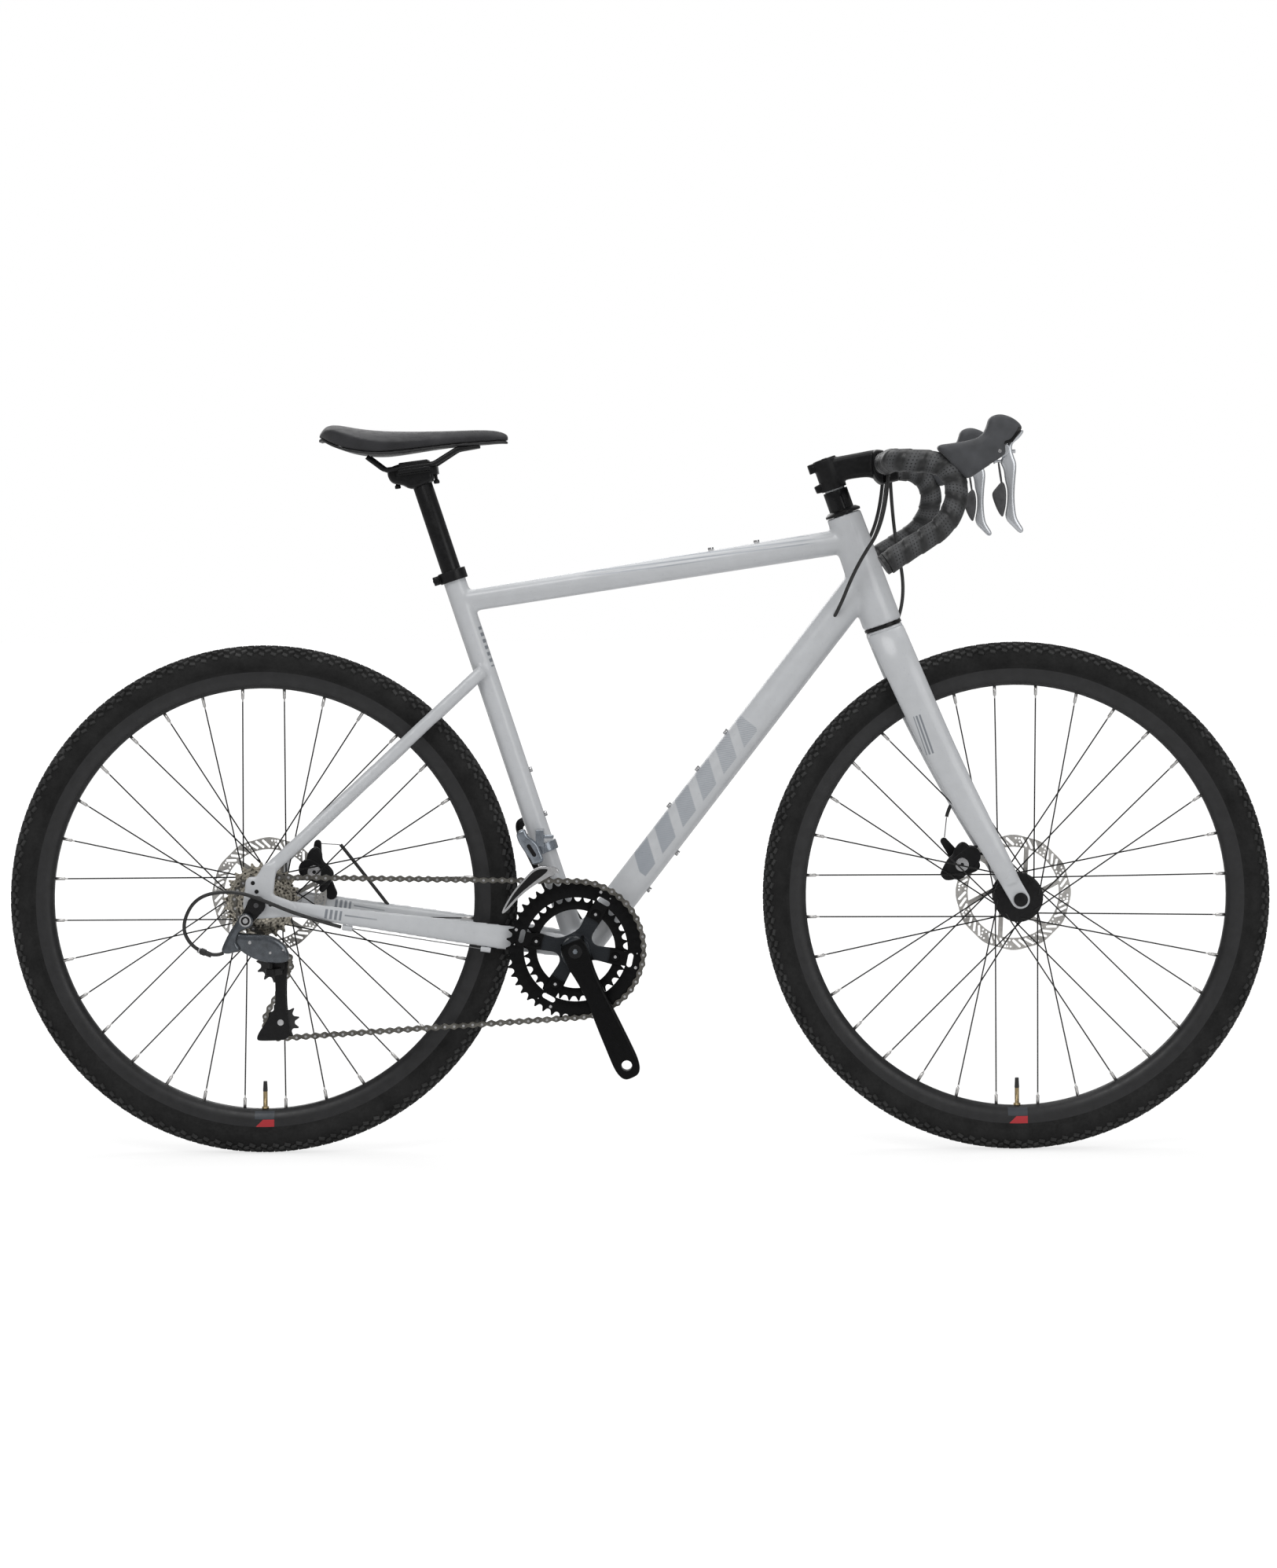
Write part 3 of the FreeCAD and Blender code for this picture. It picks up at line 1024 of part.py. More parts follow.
def hub(name, centre, right_end, right_flange, right_radius, left_flange, rotor_at, left_end):
    """A turned hub shell from its right end to its left end."""
    bore = S.axle_radius + S.running_gap
    half = S.flange_thickness / 2

    def up(y):
        return y - right_end

    return revolved(name, [[
        (bore, 0), (S.hub_cap_radius, 0), (S.hub_cap_radius + 1, up(right_flange) - half - 1),
        (right_radius, up(right_flange) - half), (right_radius, up(right_flange) + half),
        (S.hub_radius + 2, up(right_flange) + half + 2), (S.hub_radius, up(right_flange) + half + 8),
        (S.hub_radius, up(left_flange) - half - 8), (S.hub_radius + 2, up(left_flange) - half - 2),
        (S.flange_radius, up(left_flange) - half), (S.flange_radius, up(left_flange) + half),
        (S.rotor_bore + 4, up(left_flange) + half + 1), (S.rotor_bore + 4, up(rotor_at)),
        (S.rotor_bore, up(rotor_at)), (S.rotor_bore, up(rotor_at) + S.rotor_thickness + 3),
        (S.hub_cap_radius, up(rotor_at) + S.rotor_thickness + 4), (S.hub_cap_radius, up(left_end)),
        (bore, up(left_end))]], Place(centre + V(0, right_end, 0), ALONG_Y))


FRONT_END = S.front_spacing / 2 - S.rest_gap
node("front_tyre", tyre("front_tyre", FRONT))
node("front_rim", rim("front_rim", FRONT))
node("front_spokes", spoke_set("front_spokes", FRONT, -30.0, 21.0))
node("front_hub", hub("front_hub", FRONT, FRONT_END * -1, -30.0, S.front_flange_radius, 21.0,
                      S.front_rotor_offset, FRONT_END))
node("front_rotor", rotor("front_rotor", FRONT, S.front_rotor_offset))
node("front_valve", valve("front_valve", FRONT))
REAR_END = S.rear_spacing / 2 - S.rest_gap
node("rear_tyre", tyre("rear_tyre", REAR))
node("rear_rim", rim("rear_rim", REAR))
node("rear_spokes", spoke_set("rear_spokes", REAR, -19.0, 32.0))
node("rear_hub", hub("rear_hub", REAR, -25.0, -19.0, S.flange_radius, 32.0, S.rear_rotor_offset, REAR_END))
node("rear_rotor", rotor("rear_rotor", REAR, S.rear_rotor_offset))
node("rear_valve", valve("rear_valve", REAR))

# drive: pitch circles and the path of the chain in the plane of the large ring
PITCH = float(S.chain_pitch)
LINE_Y = -float(S.chain_line)


def pitch_radius(teeth):
    return PITCH / (2 * math.sin(math.pi / teeth))


COG_TEETH = [12, 13, 15, 17, 19, 21, 23, 25]
CHAIN_COG = 3
RING_R = pitch_radius(int(S.ring_teeth))
COG_R = pitch_radius(COG_TEETH[CHAIN_COG])
PULLEY_R = pitch_radius(int(S.pulley_teeth))
CAGE_PIVOT = REAR + V(25.5, 0, -84.5)


def spot(point):
    return (point.x, point.z)


def cage_spots(angle):
    """Guide and tension pulley centres for a cage angle in degrees from straight down."""
    turn = math.radians(angle)
    down = (math.sin(turn), -math.cos(turn))
    px, pz = spot(CAGE_PIVOT)
    offset = float(S.guide_offset)
    reach = float(S.cage_length)
    return (px + down[1] * offset, pz - down[0] * offset), (px + down[0] * reach, pz + down[1] * reach)


def belt(circles):
    """Tangent lines and arcs around circles given as (centre, radius, sense)."""
    lines = []
    count = len(circles)
    for i in range(count):
        (ax, az), ar, a_way = circles[i]
        (bx, bz), br, b_way = circles[(i + 1) % count]
        gap = math.hypot(bx - ax, bz - az)
        heading = math.atan2(bz - az, bx - ax) - math.asin((b_way * br - a_way * ar) / gap)
        nx, nz = -math.sin(heading), math.cos(heading)
        leave = (ax - a_way * ar * nx, az - a_way * ar * nz)
        arrive = (bx - b_way * br * nx, bz - b_way * br * nz)
        lines.append((leave, arrive))
    pieces = []
    for i in range(count):
        (cx, cz), radius, way = circles[i]
        arrive = lines[i - 1][1]
        leave = lines[i][0]
        first = math.atan2(arrive[1] - cz, arrive[0] - cx)
        last = math.atan2(leave[1] - cz, leave[0] - cx)
        sweep = (way * (last - first)) % (2 * math.pi)
        pieces.append(("arc", (cx, cz), radius, first, way * sweep, radius * sweep))
        run = math.hypot(lines[i][1][0] - leave[0], lines[i][1][1] - leave[1])
        pieces.append(("line", leave, lines[i][1], 0, 0, run))
    return pieces


def walk(pieces, distance):
    """The point at a distance along the belt."""
    total = sum(piece[5] for piece in pieces)
    left = distance % total
    for kind, a, b, first, sweep, length in pieces:
        if left <= length:
            share = left / length
            if kind == "arc":
                angle = first + sweep * share
                return (a[0] + b * math.cos(angle), a[1] + b * math.sin(angle))
            return (a[0] + (b[0] - a[0]) * share, a[1] + (b[1] - a[1]) * share)
        left -= length
    return walk(pieces, 0)


def pins_on(angle, count):
    """Chain pins one pitch apart, and how far the last one passes the first."""
    guide, tension = cage_spots(angle)
    pieces = belt([(spot(BOTTOM), RING_R, -1), (tension, PULLEY_R, -1), (guide, PULLEY_R, 1),
                   (spot(REAR), COG_R, -1)])
    total = sum(piece[5] for piece in pieces)
    pins = []
    along = 0.0
    for number in range(count):
        here = walk(pieces, along)
        pins.append(here)
        step = PITCH
        for turn in range(8):
            there = walk(pieces, along + step)
            step += PITCH - math.hypot(there[0] - here[0], there[1] - here[1])
        along += step
    return pins, along - total, total


nominal = pins_on(0.0, 4)[2]
LINKS = 2 * int(round(nominal / PITCH / 2 + 0.02))
low_angle, high_angle = -40.0, 40.0
low_miss = pins_on(low_angle, LINKS)[1]
for turn in range(40):
    CAGE_ANGLE = (low_angle + high_angle) / 2
    miss = pins_on(CAGE_ANGLE, LINKS)[1]
    if (miss > 0) == (low_miss > 0):
        low_angle = CAGE_ANGLE
    else:
        high_angle = CAGE_ANGLE
PINS = pins_on(CAGE_ANGLE, LINKS)[0]
GUIDE, TENSION = cage_spots(CAGE_ANGLE)


def phase_on(centre, radius):
    """Angle of a chain pin that lies well within the wrap of a wheel."""
    best = []
    for x, z in PINS:
        if abs(math.hypot(x - centre[0], z - centre[1]) - radius) < 0.01:
            best.append(math.atan2(z - centre[1], x - centre[0]))
    return best[len(best) // 2] if best else 0.0


def toothed(teeth, phase, bore_wires):
    """A toothed plate in local XY with the given holes, one roller seat per tooth gap."""
    radius = pitch_radius(teeth)
    seat = float(S.roller_radius + S.seat_gap)
    tip = radius + 2.6
    edges = []
    last = None
    opening = math.radians(115)
    first = None
    for k in range(teeth):
        angle = phase + 2 * math.pi * k / teeth
        cx, cy = radius * math.cos(angle), radius * math.sin(angle)
        a = V(cx + seat * math.cos(angle - opening), cy + seat * math.sin(angle - opening), 0)
        b = V(cx - seat * math.cos(angle), cy - seat * math.sin(angle), 0)
        c = V(cx + seat * math.cos(angle + opening), cy + seat * math.sin(angle + opening), 0)
        if last is not None:
            edges.append(Part.LineSegment(last, a).toShape())
        else:
            first = a
        edges.append(Part.Arc(a, b, c).toShape())
        half = math.pi / teeth
        narrow = 0.9 / tip
        d = V(tip * math.cos(angle + half - narrow), tip * math.sin(angle + half - narrow), 0)
        e = V(tip * math.cos(angle + half + narrow), tip * math.sin(angle + half + narrow), 0)
        edges.append(Part.LineSegment(c, d).toShape())
        edges.append(Part.LineSegment(d, e).toShape())
        last = e
    edges.append(Part.LineSegment(last, first).toShape())
    outline = Part.Face(Part.Wire(edges)).extrude(V(0, 0, S.tooth_thickness))
    holes = [Part.Face(w).extrude(V(0, 0, S.tooth_thickness)) for w in bore_wires]
    return outline.cut(Part.makeCompound(holes))


def ring_wire(radius, x=0, y=0):
    return Part.Wire([Part.Circle(V(x, y, 0), V(0, 0, 1), radius).toShape()])


# local XY of a toothed plate stands in the side plane with local Z to the right
FACE_RIGHT = Turn(V(1, 0, 0), 90)


def wheel_place(centre, y):
    return Place(V(centre[0], y + float(S.tooth_thickness) / 2, centre[1]), FACE_RIGHT)


cog_solids = []
cog_base = float(S.freehub_radius + S.seat_gap)
for number, teeth in enumerate(COG_TEETH):
    y = LINE_Y - (CHAIN_COG - number) * S.cog_spacing
    phase = phase_on(spot(REAR), COG_R) if number == CHAIN_COG else 0.1 * number
    cog_solids.append(formed("cog%d" % number, toothed(teeth, phase, [ring_wire(cog_base)]),
                             wheel_place(spot(REAR), y)))
    if number:
        gap = S.cog_spacing - S.tooth_thickness
        cog_solids.append(revolved("cog_spacer%d" % number, [[
            (S.freehub_radius + S.seat_gap, 0), (S.freehub_radius + 2.6, 0), (S.freehub_radius + 2.6, gap),
            (S.freehub_radius + S.seat_gap, gap)]],
            Place(V(REAR.x, y - S.cog_spacing + S.tooth_thickness / 2, REAR.z), ALONG_Y)))
free_low = LINE_Y - CHAIN_COG * S.cog_spacing - 2.9
free_body = revolved("freehub", [[
    (S.axle_radius + S.running_gap, 0), (S.freehub_radius + 1.8, 0), (S.freehub_radius + 1.8, 1.9),
    (S.freehub_radius, 1.9), (S.freehub_radius, -25.5 - free_low),
    (S.axle_radius + S.running_gap, -25.5 - free_low)]],
    Place(V(REAR.x, free_low, REAR.z), ALONG_Y))
node("cassette", group("cassette", cog_solids + [free_body]))

# chain of inner and outer links
plate_end = 4.1
inner_gap = 1.2
link_plate = 1.0


def stadium(low, high):
    face = Part.Wire([
        Part.LineSegment(V(0, plate_end, low), V(PITCH, plate_end, low)).toShape(),
        Part.Arc(V(PITCH, plate_end, low), V(PITCH + plate_end, 0, low), V(PITCH, -plate_end, low)).toShape(),
        Part.LineSegment(V(PITCH, -plate_end, low), V(0, -plate_end, low)).toShape(),
        Part.Arc(V(0, -plate_end, low), V(-plate_end, 0, low), V(0, plate_end, low)).toShape()])
    return Part.Face(face).extrude(V(0, 0, high - low))


pin_radius = 1.8
roller = float(S.roller_radius)
inner_top = inner_gap + link_plate
outer_low = inner_top + 0.1
outer_top = outer_low + link_plate
inner_link = stadium(inner_gap, inner_top).fuse([
    stadium(-inner_top, -inner_gap),
    Part.makeCylinder(roller, 2 * inner_gap, V(0, 0, -inner_gap)),
    Part.makeCylinder(roller, 2 * inner_gap, V(PITCH, 0, -inner_gap))])
for x in (0, PITCH):
    inner_link = inner_link.cut(Part.makeCylinder(pin_radius + 0.06, 10, V(x, 0, -5)))
outer_link = stadium(outer_low, outer_top).fuse([
    stadium(-outer_top, -outer_low),
    Part.makeCylinder(pin_radius, 2 * outer_top + 0.4, V(0, 0, -outer_top - 0.2)),
    Part.makeCylinder(pin_radius, 2 * outer_top + 0.4, V(PITCH, 0, -outer_top - 0.2))])
links = []
for number in range(LINKS):
    x, z = PINS[number]
    nx, nz = PINS[(number + 1) % LINKS]
    link = (inner_link if number % 2 else outer_link).copy()
    turn = Turn(V(nx - x, 0, nz - z).normalize(), V(0, 0, 0), V(0, -1, 0), "XZY")
    link.Placement = Place(V(x, LINE_Y, z), turn)
    links.append(link)
node("chain", formed("chain", Part.makeCompound(links)))

# crankset
CRANK = math.radians(float(S.crank_angle))


def around(point, radius, angle):
    return point + V(radius * math.cos(angle), 0, radius * math.sin(angle))


arm_tip = around(BOTTOM, S.crank_length, CRANK)
arm_low = 0.0 - S.crank_inner - S.crank_thickness
spider_low = LINE_Y + S.tooth_thickness / 2
spider = []
BOLT_ANGLES = [CRANK + math.radians(a) for a in (55, -55, 126, -126)]
for number, angle in enumerate(BOLT_ANGLES):
    spider.append(plate("spider_arm%d" % number, BOTTOM, S.spider_half_width + 7,
                        around(BOTTOM, S.bolt_circle, angle), S.spider_half_width, spider_low + S.seat_gap,
                        S.spider_thickness))
crank_blank = fuse("crank_blank", spider + [
    plate("crank_arm", BOTTOM, S.crank_boss_radius, arm_tip, S.crank_end_radius, arm_low, S.crank_thickness),
    cross_cylinder("crank_boss", S.crank_boss_radius, arm_low, S.shell_width * -0.5 - 7.4, BOTTOM.x,
                   BOTTOM.z),
    cross_cylinder("spindle", S.spindle_radius, arm_low + 4, S.crank_inner + S.crank_thickness, BOTTOM.x,
                   BOTTOM.z)])
bolt_holes = [cross_cylinder("spider_hole%d" % i, 4.1, -60.0, -30.0, around(BOTTOM, S.bolt_circle, a).x,
                             around(BOTTOM, S.bolt_circle, a).z) for i, a in enumerate(BOLT_ANGLES)]
pedal_hole = cross_cylinder("pedal_hole", S.pedal_bore, arm_low - 2, arm_low + 20, arm_tip.x, arm_tip.z)
node("right_crank", cut("right_crank", crank_blank, *bolt_holes, pedal_hole))
left_tip = around(BOTTOM, S.crank_length, CRANK + math.pi)
left_blank = fuse("left_crank_blank", [
    plate("left_arm", BOTTOM, S.crank_boss_radius, left_tip, S.crank_end_radius, S.crank_inner,
          S.crank_thickness),
    cross_cylinder("left_boss", S.crank_boss_radius, S.shell_width * 0.5 + 7.4,
                   S.crank_inner + S.crank_thickness, BOTTOM.x, BOTTOM.z)])
left_bore = cross_cylinder("left_bore", S.spindle_radius + S.running_gap, 30.0, 90.0, BOTTOM.x, BOTTOM.z)
left_hole = cross_cylinder("left_pedal_hole", S.pedal_bore, 50.0, 90.0, left_tip.x, left_tip.z)
node("left_crank", cut("left_crank", left_blank, left_bore, left_hole))


def chainring(name, teeth, phase, y, hollow_radius):
    """A ring with four tabs that reach in to the chainring bolts."""
    wires = [ring_wire(4.1, S.bolt_circle * math.cos(a), S.bolt_circle * math.sin(a)) for a in BOLT_ANGLES]
    whole = toothed(teeth, phase, wires)
    window = Part.makeCylinder(hollow_radius, float(S.tooth_thickness))
    tabs = []
    for a in BOLT_ANGLES:
        tab = Part.makeBox(hollow_radius + 4, 20, float(S.tooth_thickness), V(0, -10, 0))
        tab.rotate(V(0, 0, 0), V(0, 0, 1), math.degrees(a))
        tabs.append(tab)
    heart = Part.makeCylinder(float(S.bolt_circle) - 8.5, float(S.tooth_thickness))
    window = window.cut(Part.makeCompound(tabs)).fuse(heart).removeSplitter()
    return formed(name, whole.cut(window), wheel_place(spot(BOTTOM), y))


ring_outer = chainring("ring_outer", int(S.ring_teeth), phase_on(spot(BOTTOM), RING_R), LINE_Y,
                       RING_R - float(S.ring_width))
inner_y = LINE_Y + S.ring_step
ring_inner = chainring("ring_inner", int(S.small_ring_teeth), 0.05, inner_y,
                       pitch_radius(int(S.small_ring_teeth)) - 15)
node("chainrings", group("chainrings", [ring_outer, ring_inner]))
ring_bolts = []
for number, angle in enumerate(BOLT_ANGLES):
    at_bolt = around(BOTTOM, S.bolt_circle, angle)
    low = LINE_Y - S.tooth_thickness / 2
    high = inner_y + S.tooth_thickness / 2
    ring_bolts.append(fuse("ring_bolt%d" % number, [
        cross_cylinder("ring_bolt_head%d" % number, 5.6, low - 2.2, low, at_bolt.x, at_bolt.z),
        cross_cylinder("ring_bolt_shank%d" % number, 4, low - 1, high + 1, at_bolt.x, at_bolt.z),
        cross_cylinder("ring_bolt_nut%d" % number, 5.6, high, high + 1.8, at_bolt.x, at_bolt.z)]))
    rivet_at = around(BOTTOM, RING_R - 9, angle + (0.12, -0.12, -0.08, 0.12)[number])
    ring_bolts.append(cross_cylinder("ring_rivet%d" % number, 2.6, low - 1.6, low, rivet_at.x, rivet_at.z))
node("chainring_bolts", group("chainring_bolts", ring_bolts))

# rear derailleur
HANGER_LOW = drop_low - S.seat_gap - 5
HANG = REAR + V(-14.1, 0, -20.5)
hanger = cut("hanger", plate("hanger_plate", REAR, 12, HANG, 9, HANGER_LOW, 5),
             cross_cylinder("hanger_bore", S.axle_radius + S.running_gap, -95.0, -70.0, REAR.x, REAR.z))
LINK_BACK = V(HANG.x - 13.5, -83, 0)
LINK_FORE = V(LINK_BACK.x + S.link_length - 0.6, -75.5, 0)
LINK_TOP = HANG.z - 48
LINK_TALL = 19.0
knuckle = fuse("rd_knuckle_blank", [
    plate("rd_knuckle_plate", HANG, 9.5, V(LINK_BACK.x, 0, HANG.z - 28), 9, HANGER_LOW - S.seat_gap - 9, 9),
    cylinder("rd_knuckle_post", 8, 26, Place(V(LINK_BACK.x, LINK_BACK.y, LINK_TOP + S.rest_gap), Turn()))])
pivot_pin = cylinder("rd_back_pin", 2.5, LINK_TALL + 4,
                     Place(V(LINK_BACK.x, LINK_BACK.y, LINK_TOP - LINK_TALL), Turn()))
BARREL = V(LINK_BACK.x - 17, LINK_BACK.y - 4, HANG.z - 43.5)
barrel = cylinder("rd_barrel", 4, 20, Place(BARREL, Turn(V(0, 0, 1), V(1, 0.2, 0.55))))
rd_fixed = cut("rd_fixed", fuse("rd_fixed_blank", [knuckle, pivot_pin, barrel]),
               plate("rd_clear", REAR, 12, HANG, 9, HANGER_LOW, 5))
hang_face = HANGER_LOW - S.seat_gap - 9
hang_bolt = cross_cylinder("hang_bolt", 6, hang_face - 2.5, hang_face, HANG.x, HANG.z)
node("rd_bracket", group("rd_bracket", [hanger, rd_fixed, hang_bolt]))


def lower(point, z):
    return V(point.x, point.y, z)


link_low = LINK_TOP - LINK_TALL
link_body = slab("rd_link_body", lower(LINK_BACK, link_low), 8.5, lower(LINK_FORE, link_low), 7.5,
                 V(0, 0, 1), LINK_TALL)
link_bores = []
for number, point in enumerate((LINK_BACK, LINK_FORE)):
    link_bores.append(cylinder("rd_link_bore%d" % number, 2.5 + S.running_gap, LINK_TALL,
                               Place(lower(point, link_low), Turn())))
node("rd_link", cut("rd_link", link_body, *link_bores))
CAGE_LOW = LINE_Y - S.cage_half_gap - S.cage_plate
fore_foot = link_low - S.rest_gap
p_pin = cylinder("rd_p_pin", 2.5, LINK_TALL + 6, Place(lower(LINK_FORE, fore_foot - 5), Turn()))
p_drum = cross_cylinder("rd_p_drum", 9.5, CAGE_LOW - S.rest_gap - 10, CAGE_LOW - S.rest_gap,
                        CAGE_PIVOT.x, CAGE_PIVOT.z)
p_web = slab("rd_p_web", lower(LINK_FORE, fore_foot - 9), 7.5,
             V(CAGE_PIVOT.x + 1, CAGE_LOW - S.rest_gap - 6.8, fore_foot - 9), 5.5, V(0, 0, 1), 9)
p_bore = cross_cylinder("rd_p_bore", 4 + S.running_gap, CAGE_LOW - 9, CAGE_LOW, CAGE_PIVOT.x, CAGE_PIVOT.z)
p_limit = cross_cylinder("rd_p_limit", 40, CAGE_LOW - S.rest_gap, CAGE_LOW + 20, CAGE_PIVOT.x, CAGE_PIVOT.z)
node("rd_p_knuckle", cut("rd_p_knuckle", fuse("rd_p_blank", [p_pin, p_drum, p_web]), p_bore, p_limit))
guide_at = V(GUIDE[0], 0, GUIDE[1])
tension_at = V(TENSION[0], 0, TENSION[1])
CAGE_HIGH = LINE_Y + S.cage_half_gap
cage = fuse("rd_cage", [
    plate("cage_outer", guide_at, 12.5, tension_at, 9.5, CAGE_LOW, S.cage_plate),
    plate("cage_inner", guide_at, 11, tension_at, 9.5, CAGE_HIGH, S.cage_plate),
    cross_cylinder("cage_guide_bolt", 2.5, CAGE_LOW + 0.5, CAGE_HIGH + 3, guide_at.x, guide_at.z),
    cross_cylinder("cage_tension_bolt", 2.5, CAGE_LOW - 1.5, CAGE_HIGH + 3, tension_at.x, tension_at.z),
    cross_cylinder("cage_stub", 4, CAGE_LOW - 8, CAGE_LOW + 1, CAGE_PIVOT.x, CAGE_PIVOT.z)])
node("rd_cage", cage)
for label, centre, at_pulley in (("guide_pulley", guide_at, GUIDE), ("tension_pulley", tension_at, TENSION)):
    teeth_plate = formed(label + "_teeth", toothed(int(S.pulley_teeth), phase_on(at_pulley, PULLEY_R),
                         [ring_wire(4.0)]), wheel_place(at_pulley, LINE_Y))
    bush = cross_cylinder(label + "_bush", 7, LINE_Y - S.cage_half_gap + 0.4, LINE_Y + S.cage_half_gap - 0.4,
                          centre.x, centre.z)
    bush_bore = cross_cylinder(label + "_bore", 2.5 + S.running_gap, LINE_Y - 10, LINE_Y + 10, centre.x,
                               centre.z)
    node(label, cut(label, fuse(label + "_blank", [teeth_plate, bush]), bush_bore))

# front derailleur: band, link and cage
BAND_S = 142.7
fd_mid = SEAT.multVec(V(0, 0, BAND_S))
band = cut("fd_band", cylinder("fd_band_outer", S.seat_tube_radius + 3.4, 13, on(SEAT, 0, 0, BAND_S - 6.5)),
           cylinder("fd_band_bore", S.seat_tube_radius + S.seat_gap, 13, on(SEAT, 0, 0, BAND_S - 6.5)))
HINGE_X = fd_mid.x + 2
fd_top = V(HINGE_X, -38, fd_mid.z + 18)
fd_low = fd_top + V(0, -6, 0.0 - S.fd_link_length + 0.7)
fd_block = box("fd_block", 11, 30, 22, at(HINGE_X - 11.4, -45, fd_mid.z + 5))
fd_tail = box("fd_tail", 11, 14, 13, at(HINGE_X - 11.4, -30, fd_mid.z - 6.5))
fd_clear = cylinder("fd_clear", S.seat_tube_radius + S.seat_gap, 60, on(SEAT, 0, 0, BAND_S - 30))
fd_pin = cylinder("fd_pin", 2.5, 22, Place(fd_top - V(9, 0, 0), Turn(Y_AXIS, 90)))
node("fd_clamp", cut("fd_clamp", fuse("fd_clamp_blank", [band, fd_block, fd_tail, fd_pin]), fd_clear))
fd_link_body = slab("fd_link_body", fd_top, 6, fd_low, 6, V(1, 0, 0), 13)
fd_bores = [cylinder("fd_link_bore%d" % i, 2.5 + S.running_gap, 13, Place(p, Turn(Y_AXIS, 90)))
            for i, p in enumerate((fd_top, fd_low))]
node("fd_link", cut("fd_link", fd_link_body, *fd_bores))


def sector(name, inner, outer, first, last, low, thickness):
    """A curved strip about the crank axis."""
    a, m, b = math.radians(first), math.radians((first + last) / 2), math.radians(last)
    centre = V(BOTTOM.x, low, BOTTOM.z)
    wire = Part.Wire([
        Part.Arc(around(centre, inner, a), around(centre, inner, m), around(centre, inner, b)).toShape(),
        Part.LineSegment(around(centre, inner, b), around(centre, outer - 6, b)).toShape(),
        Part.Arc(around(centre, outer - 6, b), around(centre, outer + 1, m),
                 around(centre, outer, a)).toShape(),
        Part.LineSegment(around(centre, outer, a), around(centre, inner, a)).toShape()])
    return formed(name, Part.Face(wire).extrude(V(0, thickness, 0)))


fd_in = RING_R + 7
fd_out = RING_R + 24
fd_bridge_at = around(BOTTOM, fd_out - 4, math.radians(105))
fd_tail_at = around(BOTTOM, fd_in + 7, math.radians(147))
FD_WIDE = 5.6
node("fd_cage", fuse("fd_cage", [
    sector("fd_outer", fd_in, fd_out, 96, 150, LINE_Y - FD_WIDE - S.cage_plate, S.cage_plate),
    sector("fd_inner", fd_in, fd_out, 96, 150, LINE_Y + FD_WIDE, S.cage_plate),
    cross_cylinder("fd_tail_pin", 2.6, LINE_Y - FD_WIDE - 1, LINE_Y + FD_WIDE + 1, fd_tail_at.x,
                   fd_tail_at.z),
    box("fd_bridge", 15, 2 * FD_WIDE + 2 * S.cage_plate, fd_low.z - fd_bridge_at.z - 4,
        at(HINGE_X + 13.4, LINE_Y - FD_WIDE - S.cage_plate, fd_bridge_at.z - 2)),
    slab("fd_lug", fd_low + V(13.4, 0, 0), 6, V(HINGE_X + 13.4, fd_low.y - 2, fd_bridge_at.z), 6,
         V(1, 0, 0), 9),
    cylinder("fd_cage_pin", 2.5, 20, Place(fd_low + V(1, 0, 0), Turn(Y_AXIS, 90)))]))

# disc brake calipers on the left side, their arms and their cables
FC = FRONT + V(-79, 0, 34)
f_mid = S.front_rotor_offset + S.rotor_thickness / 2
f_disc = cross_cylinder("front_caliper_slot", S.rotor_radius + 2, f_mid - S.caliper_slot / 2,
                        f_mid + S.caliper_slot / 2, FRONT.x, FRONT.z)
front_caliper = cut("front_caliper", fuse("front_caliper_blank", [
    plate("front_caliper_body", FC, 15, FC + V(20, 0, 18), 13, 24, 26),
    plate("front_caliper_foot", FC + V(18, 0, 17), 11, FC + V(46, 0, 26), 9, f_mid + 4, 10)]), f_disc,
    fork_blank)
node("front_caliper", front_caliper)
F_ARM = FC + V(7, 0, 6)
F_ARM_END = F_ARM + V(-0.6 * S.arm_length, 0, 0.8 * S.arm_length)
front_arm_low = 50 + S.rest_gap
node("front_brake_arm", fuse("front_brake_arm", [
    plate("front_arm_plate", F_ARM, 9, F_ARM_END, 5, front_arm_low, S.arm_thickness),
    cross_cylinder("front_arm_boss", 5.5, front_arm_low, front_arm_low + 8, F_ARM.x, F_ARM.z)]))
RC = REAR + V(56, 0, 36)
r_mid = S.rear_rotor_offset + S.rotor_thickness / 2
r_disc = cross_cylinder("rear_caliper_slot", S.rotor_radius + 2, r_mid - S.caliper_slot / 2,
                        r_mid + S.caliper_slot / 2, REAR.x, REAR.z)
rear_caliper = cut("rear_caliper", fuse("rear_caliper_blank", [
    plate("rear_caliper_body", RC, 14, RC + V(21, 0, -11), 12, 43.5, 23.5),
    plate("rear_caliper_foot", RC + V(19, 0, -12), 9, RC + V(30, 0, -36), 8, 59, 8)]), r_disc,
    mirrored("chainstay_left_blank", chain_raw))
node("rear_caliper", rear_caliper)
R_ARM = RC + V(8, 0, -4)
R_ARM_END = R_ARM + V(0.06 * S.arm_length, 0, S.arm_length)
rear_arm_low = 67 + S.rest_gap
node("rear_brake_arm", fuse("rear_brake_arm", [
    plate("rear_arm_plate", R_ARM, 9, R_ARM_END, 5, rear_arm_low, S.arm_thickness),
    cross_cylinder("rear_arm_boss", 5.5, rear_arm_low, rear_arm_low + 8, R_ARM.x, R_ARM.z)]))

